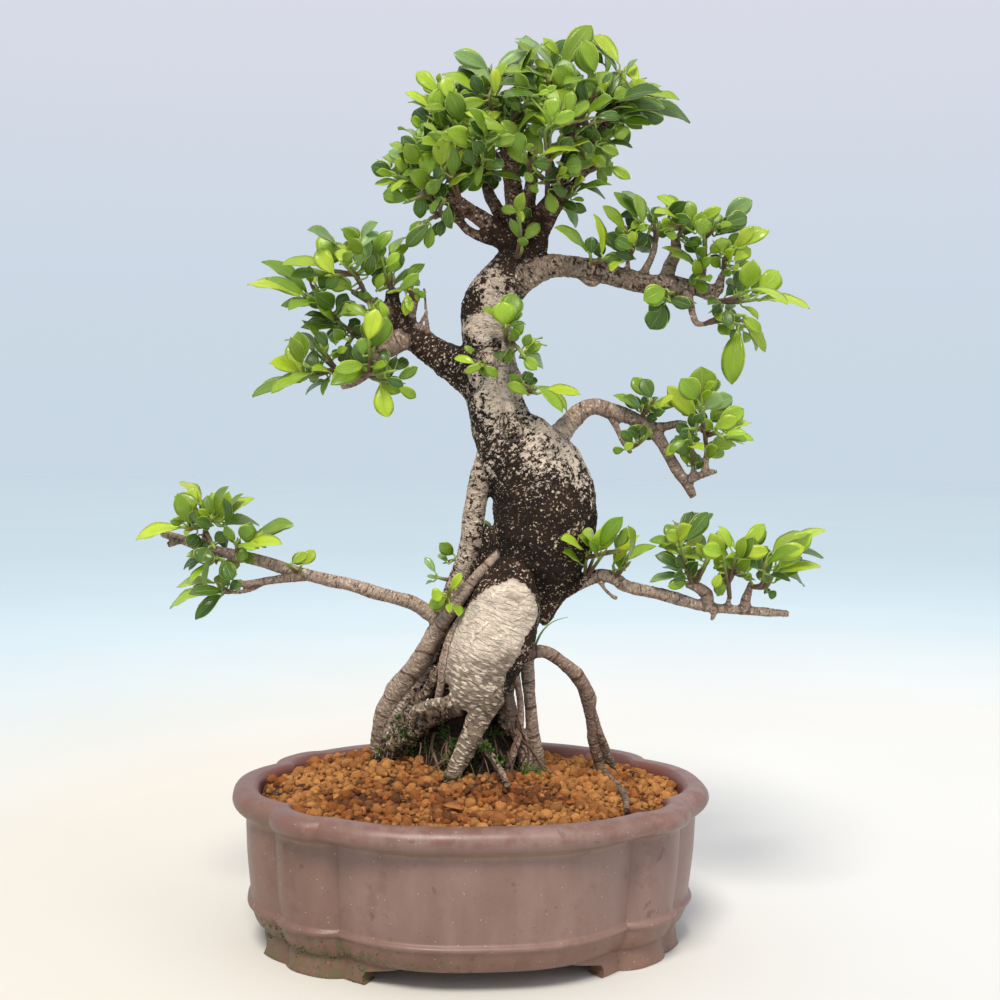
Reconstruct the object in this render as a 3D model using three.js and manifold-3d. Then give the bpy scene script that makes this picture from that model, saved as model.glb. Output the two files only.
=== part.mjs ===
// A ficus bonsai on raised roots, planted in an unglazed lobed oval pot.
// Millimetres, +Z up. The origin is under the middle of the whole object, where its feet stand.
import * as THREE from 'three';
import { mergeVertices } from 'three/addons/utils/BufferGeometryUtils.js';
import Module from 'manifold-3d';

const wasm = await Module();
wasm.setup();

// Pot: half sizes at each height, from the underside over the lip and down inside to the floor.
// The last value says how far the creases between the lobes are softened, from 0 to 1.
const POT_LENGTH = 360;
const POT_DEPTH = 288;
const POT_HEIGHT = 118;
const FOOT_HEIGHT = 14.5;
const FLOOR_TOP = 24;
const HALF_X = POT_LENGTH / 2;
const HALF_Y = POT_DEPTH / 2;
const POT_LEVELS = [
  [FOOT_HEIGHT, HALF_X - 26, HALF_Y - 22, 0],
  [30, HALF_X - 14.5, HALF_Y - 12.5, 0],
  [33.5, HALF_X - 11.5, HALF_Y - 9.5, 0],
  [37, HALF_X - 14.5, HALF_Y - 12.5, 0],
  [70, HALF_X - 11, HALF_Y - 10.5, 0],
  [99, HALF_X - 10, HALF_Y - 10, 0],
  [102, HALF_X - 4, HALF_Y - 3, 0.6],
  [109, HALF_X, HALF_Y, 1],
  [115.5, HALF_X - 2.5, HALF_Y - 2.5, 1],
  [POT_HEIGHT, HALF_X - 10, HALF_Y - 10, 1],
  [116.5, HALF_X - 18.5, HALF_Y - 19.5, 1],
  [100, HALF_X - 22, HALF_Y - 23.5, 0.6],
  [30, HALF_X - 27, HALF_Y - 27, 0.6],
  [FLOOR_TOP, HALF_X - 32, HALF_Y - 32, 0.6],
];

// Where the creases between the lobes lie, as shares of the half sizes: sharp, then softened.
const FRONT_CREASE = [[0.612, 0.705], [0.656, 0.764]];
const END_CREASE = [[0.867, 0.455], [0.839, 0.472]];
const CORNER_BULGE = 0.055;
const LOBE_FULLNESS = 2.8;
const LOBE_SIDES = { front: 6, corner: 3, end: 5 };

// Feet: one under each corner, with a bracket that sweeps up to the pot's underside.
// Each level: height, half sizes of the outline, where the foot ends along the front and the end.
const FOOT_LEVELS = [
  [0, 160, 124, 85, 35],
  [9, 157.5, 123, 84, 34],
  [11.5, 156.5, 122.5, 70, 26],
  [16.5, 155.5, 122, 56, 16],
];
const FOOT_THICKNESS = 15;

const DRAIN_RADIUS = 12;
const DRAIN_X = 72;
const SCREEN_RADIUS = 18;
const SCREEN_THICKNESS = 2;

// Soil: a column that fills the pot, with a mounded top of coarse granules shown as relief.
const FIT_GAP = 0.35;
const SOIL_BOTTOM = FLOOR_TOP + SCREEN_THICKNESS + 2 * FIT_GAP;
const SOIL_EDGE_HEIGHT = 110;
const GRANULE_PITCH = 21;
const GRANULE_RELIEF = 3;
// Mounds: height, centre x, centre y, spread along x, spread along y.
const MOUNDS = [
  [15, -18, 22, 85, 62],
  [9, -78, 42, 34, 34],
];

// The tree is given as it looks in a front elevation through the pot's middle, taken from the eye.
// The pot is turned a little against that view, and the tree stands behind the pot's middle.
const EYE = { x: 17, y: -1127, z: 396 };
const POT_TURN = THREE.MathUtils.degToRad(7);
const TREE_BACK = 25;

// Blades: proportions of a leaf, and how far it keeps clear of the others.
const BLADE_WIDTH = 0.42;
const BLADE_ARCH = 0.09;
const BLADE_FOLD = 0.18;
// The keel below a blade, as [share of the length, depth]; a small blade has one such section.
const KEEL = [[0.36, 1.8], [0.74, 1.5]];
const SMALL_KEEL = [[0.45, 1.7]];
const SMALL_BLADE = 24;
const STALK_RADIUS = 0.9;
const STALK_LENGTH = 4.5;
const JOINT_LENGTH = 2.2;
const JOINT_SPACE = 0.5;
const JOINT_REACH = 4;
const SIDES = [0, 1, 2];
const STEM_RADIUS = 1.9;
const STEM_TIP_RADIUS = 1.5;
const LEAF_CLEARANCE = 3.2;
const WOOD_CLEARANCE = 1.5;
const PROBE_STEP = 5;
const SWING = 7;
const SWINGS = [0, 1, -1, 2, -2, 3, -3];
const BACK_EVERY = 6;
const BACK_DEPTH = 16;
const SEED = 20417;
// Slivers finer than this, left where one solid is cut by another, are smoothed away.
const CLEAN_TOLERANCE = 0.012;

// Wood: the centre line of each limb, as [x, z, depth, radius] of the front elevation.
const LIMBS = {
  trunk: { sides: 9, step: 16, line: [
    [30, 250, 6, 14], [42, 266, 4, 22], [46, 285, 2, 34], [50, 304, 0, 39], [52, 322, 0, 40],
    [48, 340, 0, 39], [40, 355, 0, 37], [29, 370, 0, 32], [18, 387, 0, 24], [13, 403, 0, 21.5],
    [10, 420, 0, 21], [7, 440, 0, 20], [5, 460, 0, 18.5], [8, 478, 0, 21], [15, 492, 0, 19],
    [20, 503, 0, 14], [24, 515, 0, 10.5], [26, 528, 0, 8],
  ] },
  root_core: { sides: 7, step: 36, line: [
    [0, 96, 8, 44], [0, 122, 8, 43], [-2, 145, 8, 36], [-4, 166, 8, 25], [2, 190, 8, 18],
    [12, 220, 6, 18], [24, 246, 4, 20], [36, 270, 4, 22],
  ] },
  flank: { sides: 6, step: 25, line: [
    [18, 308, 2, 13], [10, 292, 2, 14], [2, 276, 2, 13.5], [-6, 260, 2, 12], [-13, 244, 2, 10.5],
    [-19, 228, 4, 9], [-26, 208, 6, 8],
  ] },
  core_left: { sides: 6, step: 40, line: [
    [-34, 98, 10, 27], [-34, 122, 10, 25], [-30, 146, 10, 20], [-24, 170, 10, 14], [-18, 196, 8, 9.5],
  ] },
  pale_root: { sides: 9, step: 23, line: [
    [36, 288, -12, 12], [29, 273, -20, 18], [25, 259, -24, 25], [21, 243, -26, 29], [15, 228, -28, 30],
    [8, 212, -28, 28], [3, 197, -28, 25], [-1, 185, -28, 20], [-5, 176, -26, 13],
  ] },
  pale_leg: { sides: 6, step: 27, line: [
    [18, 212, -30, 11], [14, 192, -35, 13], [9, 177, -37, 12], [5, 166, -37, 10], [0, 156, -38, 8.5],
    [-5, 145, -38, 8], [-10, 134, -39, 7], [-15, 122, -40, 6.3], [-20, 104, -41, 6],
  ] },
  finger_root: { sides: 4, step: 14, line: [
    [-8, 181, -32, 8], [-20, 177, -35, 4.6], [-30, 176, -35, 4], [-38, 173, -33, 3.8],
    [-44, 170, -30, 3.5], [-47, 165, -26, 3],
  ] },
  low_left_root: { sides: 6, step: 29, line: [
    [-10, 176, -18, 9], [-24, 171, -17, 8.5], [-36, 165, -15, 8.5], [-46, 156, -12, 8.5],
    [-56, 147, -8, 8.5], [-66, 135, -4, 8.5], [-78, 116, 0, 8],
  ] },
  left_column: { sides: 6, step: 31, line: [
    [10, 372, -4, 9], [3, 345, -6, 9.5], [-1, 328, -8, 8.5], [-3, 312, -8, 8], [-5, 298, -8, 8],
    [-9, 284, -8, 7.5], [-14, 270, -8, 6.8], [-19, 257, -8, 6.5], [-24, 243, -6, 7], [-31, 226, -2, 8],
    [-37, 208, 4, 9], [-44, 192, 8, 9], [-52, 176, 12, 9.5], [-58, 158, 14, 10], [-62, 140, 16, 10.5],
    [-64, 112, 18, 11],
  ] },
  slant_root: { sides: 6, step: 29, line: [
    [18, 291, -14, 3.6], [8, 281, -18, 4.2], [0, 272, -18, 4.6], [-8, 261, -18, 5.2],
    [-15, 251, -17, 5.6], [-22, 241, -14, 6.2], [-29, 230, -10, 7], [-36, 218, -6, 8],
    [-43, 206, -2, 8.6], [-51, 195, 4, 9], [-58, 186, 8, 9], [-64, 175, 12, 9], [-68, 163, 16, 9],
    [-70, 150, 20, 9.3], [-71, 137, 22, 9.6], [-73, 112, 24, 10],
  ] },
  brown_root: { sides: 4, step: 29, line: [
    [-8, 246, -28, 3], [-16, 232, -31, 3], [-21, 220, -31, 3], [-24, 205, -30, 3], [-25, 192, -28, 3],
    [-27, 180, -24, 3], [-29, 168, -18, 3.4],
  ] },
  green_root: { sides: 4, step: 32, line: [
    [-26, 204, -10, 5], [-34, 188, -8, 4.4], [-42, 178, -6, 4.2], [-50, 168, -2, 4.2],
    [-58, 156, 4, 4.6], [-64, 142, 8, 5],
  ] },
  right_column: { sides: 5, step: 40, line: [
    [42, 250, -4, 7], [39, 232, -8, 5.2], [40, 214, -8, 5], [41, 195, -8, 4.9], [43, 175, -6, 4.6],
    [45, 158, -4, 4.6], [48, 140, -2, 5], [51, 114, 0, 5.5],
  ] },
  thin_root_a: { sides: 4, step: 36, line: [
    [28, 216, -20, 3.4], [32, 196, -20, 2.6], [35, 180, -19, 2.6], [36, 165, -18, 2.7],
    [34, 150, -19, 2.9], [30, 137, -21, 3.1], [25, 116, -24, 3.2],
  ] },
  thin_root_b: { sides: 4, step: 40, line: [
    [22, 200, -14, 4], [27, 180, -12, 4.2], [30, 165, -10, 5], [35, 150, -8, 6], [38, 136, -8, 6.4],
    [41, 112, -8, 6.8],
  ] },
  front_root: { sides: 4, step: 25, line: [
    [-1, 154, -37, 3.2], [13, 138, -38, 2.8], [18, 130, -44, 2.6], [23, 122, -52, 2.6],
    [27, 112, -58, 2.6],
  ] },
  arch_root: { sides: 5, step: 20, line: [
    [32, 224, -8, 7], [42, 217, -10, 4.8], [52, 217, -10, 4.6], [61, 213, -8, 5], [69, 207, -4, 5],
    [77, 200, 0, 5.3], [83, 191, 6, 5.4], [87, 182, 10, 6.3], [88, 172, 14, 4.7], [90, 162, 18, 4.3],
    [91, 150, 24, 4.1], [94, 139, 30, 4.1], [97, 130, 34, 4.1], [102, 122, 12, 3.6], [109, 116, -12, 3],
    [114, 111, -34, 2.8], [117, 104, -62, 2.6], [118, 96, -90, 2.5],
  ] },
  arch_leg: { sides: 4, step: 32, line: [
    [89, 174, 13, 3.6], [95, 158, 20, 2.9], [99, 148, 26, 3], [103, 138, 32, 3.1], [107, 128, 36, 3.2],
    [110, 115, 38, 3.3],
  ] },
  root_stubs: { sides: 4, step: 22, line: [
    [52, 268, -4, 7], [54, 252, -4, 4.5], [53, 238, -4, 2.2],
  ] },
  left_low_branch: { sides: 5, step: 31, line: [
    [-24, 232, -4, 7], [-30, 241, -6, 6.4], [-37, 246, -8, 5.8], [-46, 252, -10, 5.6],
    [-60, 256, -12, 5.2], [-77, 260, -12, 4.9], [-96, 266, -12, 4.7], [-113, 269, -11, 4.7],
    [-128, 272, -10, 4.6], [-145, 277, -8, 4.3], [-162, 282, -8, 4.2], [-180, 286, -8, 4.1],
    [-196, 289, -8, 4.1], [-210, 293, -8, 3.9], [-224, 298, -8, 3.4], [-238, 302, -8, 2.6],
  ] },
  left_low_fork: { sides: 4, step: 29, line: [
    [-128, 271, -10, 3.8], [-145, 269, -14, 3], [-158, 267, -16, 2.8], [-170, 265, -18, 2.6],
    [-180, 265, -18, 2.3],
  ] },
  left_low_twig: { sides: 4, step: 22, line: [
    [-160, 266, -16, 2], [-170, 260, -17, 1.6], [-180, 258, -18, 1.5], [-188, 258, -18, 1.4],
  ] },
  right_low_branch: { sides: 5, step: 31, line: [
    [46, 244, -4, 10], [56, 254, -6, 7.5], [64, 262, -7, 6], [74, 268, -8, 5.6], [84, 273, -9, 5.3],
    [94, 276, -10, 5.2], [104, 274, -10, 5.1], [114, 268, -10, 4.7], [127, 265, -10, 4.6],
    [141, 262, -10, 4.5], [156, 258, -10, 4.2], [170, 254, -10, 4], [185, 252, -10, 3.6],
    [203, 251, -10, 3.4], [221, 250, -10, 3.1], [237, 249, -10, 2.6],
  ] },
  right_low_stub: { sides: 4, step: 14, line: [
    [203, 250, -10, 4.2], [204, 258, -11, 3.8], [206, 266, -12, 3], [208, 273, -12, 1.9],
  ] },
  right_low_burl: { sides: 4, step: 14, line: [
    [175, 252, -10, 4], [175, 261, -12, 4.6], [171, 266, -14, 4.4], [164, 269, -15, 3.4],
    [158, 270, -15, 2.2],
  ] },
  right_low_drop: { sides: 4, step: 14, line: [
    [180, 252, -12, 3], [180, 246, -13, 2], [178, 243, -13, 1.5],
  ] },
  right_mid_branch: { sides: 6, step: 22, line: [
    [40, 358, -2, 16], [52, 370, -4, 13], [60, 380, -5, 9.2], [68, 390, -6, 7.2], [77, 399, -7, 6.7],
    [87, 403, -8, 6.2], [98, 400, -8, 5.8], [111, 396, -8, 5.6], [122, 391, -8, 5.6],
    [131, 386, -8, 5.6], [138, 376, -8, 4.4], [145, 364, -8, 4.2], [152, 353, -8, 4.1],
    [158, 345, -8, 3.6], [163, 336, -8, 2.9],
  ] },
  right_mid_fork: { sides: 4, step: 22, line: [
    [129, 387, -8, 4.4], [141, 389, -10, 3], [150, 391, -11, 2.8], [157, 391, -12, 2.4],
  ] },
  right_mid_drop: { sides: 4, step: 23, line: [
    [98, 399, -8, 4], [104, 387, -9, 2.2], [109, 377, -9, 2], [115, 368, -9, 1.6],
  ] },
  right_mid_rise: { sides: 4, step: 22, line: [
    [156, 347, -8, 3.4], [164, 351, -9, 2.6], [172, 354, -10, 2.4], [180, 356, -11, 1.7],
  ] },
  right_mid_up: { sides: 4, step: 22, line: [
    [171, 353, -10, 2.6], [171, 361, -10, 2.4], [172, 370, -10, 2.1], [171, 378, -10, 1.7],
  ] },
  right_up_branch: { sides: 6, step: 25, line: [
    [14, 488, 0, 16], [26, 496, -1, 14.5], [38, 502, -2, 11], [50, 506, -2, 8.6], [63, 507, -3, 8],
    [78, 505, -4, 8], [93, 502, -4, 8.3], [108, 498, -4, 8.2], [125, 495, -4, 8.2], [140, 494, -4, 7.4],
    [155, 493, -4, 6.4], [168, 491, -5, 5.3], [179, 490, -5, 4.4],
  ] },
  right_up_riser: { sides: 5, step: 22, line: [
    [137, 496, -2, 6], [141, 508, 0, 5], [145, 519, 1, 4.2], [144, 530, 2, 2.8],
  ] },
  right_up_left: { sides: 4, step: 25, line: [
    [119, 498, -5, 4], [125, 510, -8, 2.7], [129, 521, -9, 2.3], [130, 530, -10, 1.8],
  ] },
  right_up_end: { sides: 4, step: 18, line: [
    [177, 490, -5, 4], [179, 499, -6, 2.8], [182, 507, -7, 1.9],
  ] },
  right_up_spike: { sides: 4, step: 22, line: [
    [163, 492, -6, 4], [166, 503, -8, 2.2], [167, 513, -9, 1.6],
  ] },
  right_up_drop: { sides: 4, step: 14, line: [
    [153, 490, -6, 4.4], [157, 480, -10, 2.8], [159, 472, -11, 2.4], [162, 466, -12, 2.2],
    [170, 466, -12, 1.7],
  ] },
  right_up_low: { sides: 4, step: 22, line: [
    [163, 490, -5, 4.2], [171, 485, -8, 2.4], [180, 482, -9, 1.8],
  ] },
  right_up_hook: { sides: 4, step: 9, line: [
    [75, 500, -5, 3.4], [81, 494, -8, 1.9], [86, 494, -8, 1.7], [88, 498, -6, 2],
  ] },
  left_up_branch: { sides: 6, step: 22, line: [
    [6, 420, 0, 20], [-5, 426, -1, 18], [-17, 431, -2, 14.5], [-28, 438, -3, 12.5],
    [-42, 447, -3, 10.6], [-54, 457, -3, 9.4], [-61, 467, -3, 8], [-65, 477, -3, 6.4],
    [-66, 487, -3, 4.6],
  ] },
  left_up_fork: { sides: 4, step: 20, line: [
    [-53, 460, -3, 5.4], [-51, 471, -4, 3.4], [-48, 482, -4, 2.6],
  ] },
  left_up_low: { sides: 5, step: 23, line: [
    [-52, 452, -4, 8], [-66, 446, -7, 8.6], [-77, 439, -8, 8.2], [-84, 429, -9, 6.2],
    [-92, 420, -9, 4.6], [-104, 415, -9, 3.6],
  ] },
  left_up_out: { sides: 4, step: 23, line: [
    [-60, 466, -4, 6], [-72, 474, -7, 3.6], [-85, 480, -9, 2.8], [-97, 486, -10, 1.9],
  ] },
  left_up_reach: { sides: 4, step: 25, line: [
    [-72, 444, -7, 5], [-84, 448, -9, 2.4], [-96, 455, -9, 2], [-107, 464, -10, 1.6],
  ] },
  left_up_tip: { sides: 4, step: 23, line: [
    [-84, 430, -9, 4], [-97, 428, -11, 2], [-109, 427, -13, 1.6],
  ] },
  left_up_knob: { sides: 4, step: 12, line: [
    [-44, 452, -6, 5], [-46, 460, -8, 3.4],
  ] },
  dry_twig: { sides: 3, step: 40, line: [
    [-38, 448, -7, 2.4], [-40, 466, -8, 1.3], [-42, 489, -8, 1],
  ] },
  front_shoot: { sides: 4, step: 25, line: [
    [27, 380, -26, 7], [24, 393, -27, 4.6], [21, 408, -26, 4], [18, 424, -24, 3.8], [19, 438, -23, 3.4],
    [19, 453, -22, 2.5],
  ] },
  front_knob: { sides: 4, step: 12, line: [
    [18, 438, -20, 5], [8, 436, -23, 5], [-1, 438, -23, 4.6],
  ] },
  front_side: { sides: 4, step: 18, line: [
    [22, 434, -16, 4], [30, 424, -22, 2.5], [37, 414, -25, 2.6], [39, 411, -25, 3],
  ] },
  crown_low_left: { sides: 4, step: 22, line: [
    [22, 520, 0, 6], [11, 524, -3, 4.2], [0, 527, -6, 3.7], [-10, 532, -8, 3.3], [-18, 540, -9, 3.1],
    [-26, 547, -10, 2.6],
  ] },
  crown_low_twig: { sides: 4, step: 14, line: [
    [-24, 546, -10, 2.4], [-31, 543, -11, 1.7], [-36, 540, -12, 1.3],
  ] },
  crown_left: { sides: 5, step: 23, line: [
    [22, 523, -2, 7.4], [9, 534, -7, 6.4], [-5, 544, -11, 6], [-18, 552, -13, 5.5],
    [-29, 556, -14, 4.9], [-38, 558, -15, 3.4],
  ] },
  crown_left_up: { sides: 4, step: 25, line: [
    [21, 532, 0, 5.6], [12, 547, 4, 4.7], [5, 559, 7, 4.2], [2, 571, 8, 3.4], [-2, 583, 8, 2.2],
  ] },
  crown_mid: { sides: 6, step: 25, line: [
    [26, 524, 0, 8.6], [26, 545, -2, 7.6], [23, 565, -4, 7], [20, 581, -4, 6.2], [17, 595, -5, 4.8],
    [14, 606, -5, 2.8],
  ] },
  crown_mid_b: { sides: 5, step: 25, line: [
    [28, 524, 2, 7], [33, 545, 8, 6.2], [36, 562, 12, 5.2], [37, 577, 14, 3.8], [35, 592, 14, 2.4],
  ] },
  crown_right: { sides: 5, step: 25, line: [
    [30, 526, 2, 7], [41, 543, 0, 5.4], [50, 556, -2, 4.8], [58, 571, -4, 4.2], [62, 587, -5, 3.3],
    [62, 602, -6, 2.2],
  ] },
  crown_far: { sides: 5, step: 23, line: [
    [32, 514, 0, 7.4], [42, 524, -4, 4.8], [49, 537, -5, 4.4], [55, 549, -5, 4.2], [62, 560, -6, 4],
    [70, 569, -6, 3.4], [78, 577, -6, 2.3], [89, 581, -7, 1.6],
  ] },
  crown_far_up: { sides: 4, step: 27, line: [
    [69, 568, -6, 3], [76, 582, -4, 2.6], [82, 597, -3, 2.7], [89, 610, -3, 2.8], [97, 618, -3, 2.3],
  ] },
  crown_front: { sides: 4, step: 25, line: [
    [28, 548, -6, 5], [34, 562, -16, 3.2], [37, 575, -22, 2.2],
  ] },
  crown_back: { sides: 4, step: 25, line: [
    [27, 530, 4, 6], [26, 548, 20, 4.6], [22, 566, 34, 3.6], [16, 584, 42, 2.4],
  ] },
  crown_back_right: { sides: 4, step: 25, line: [
    [34, 536, 6, 5.4], [48, 552, 20, 4.2], [62, 570, 32, 3.2], [72, 588, 38, 2.2],
  ] },
};

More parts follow.
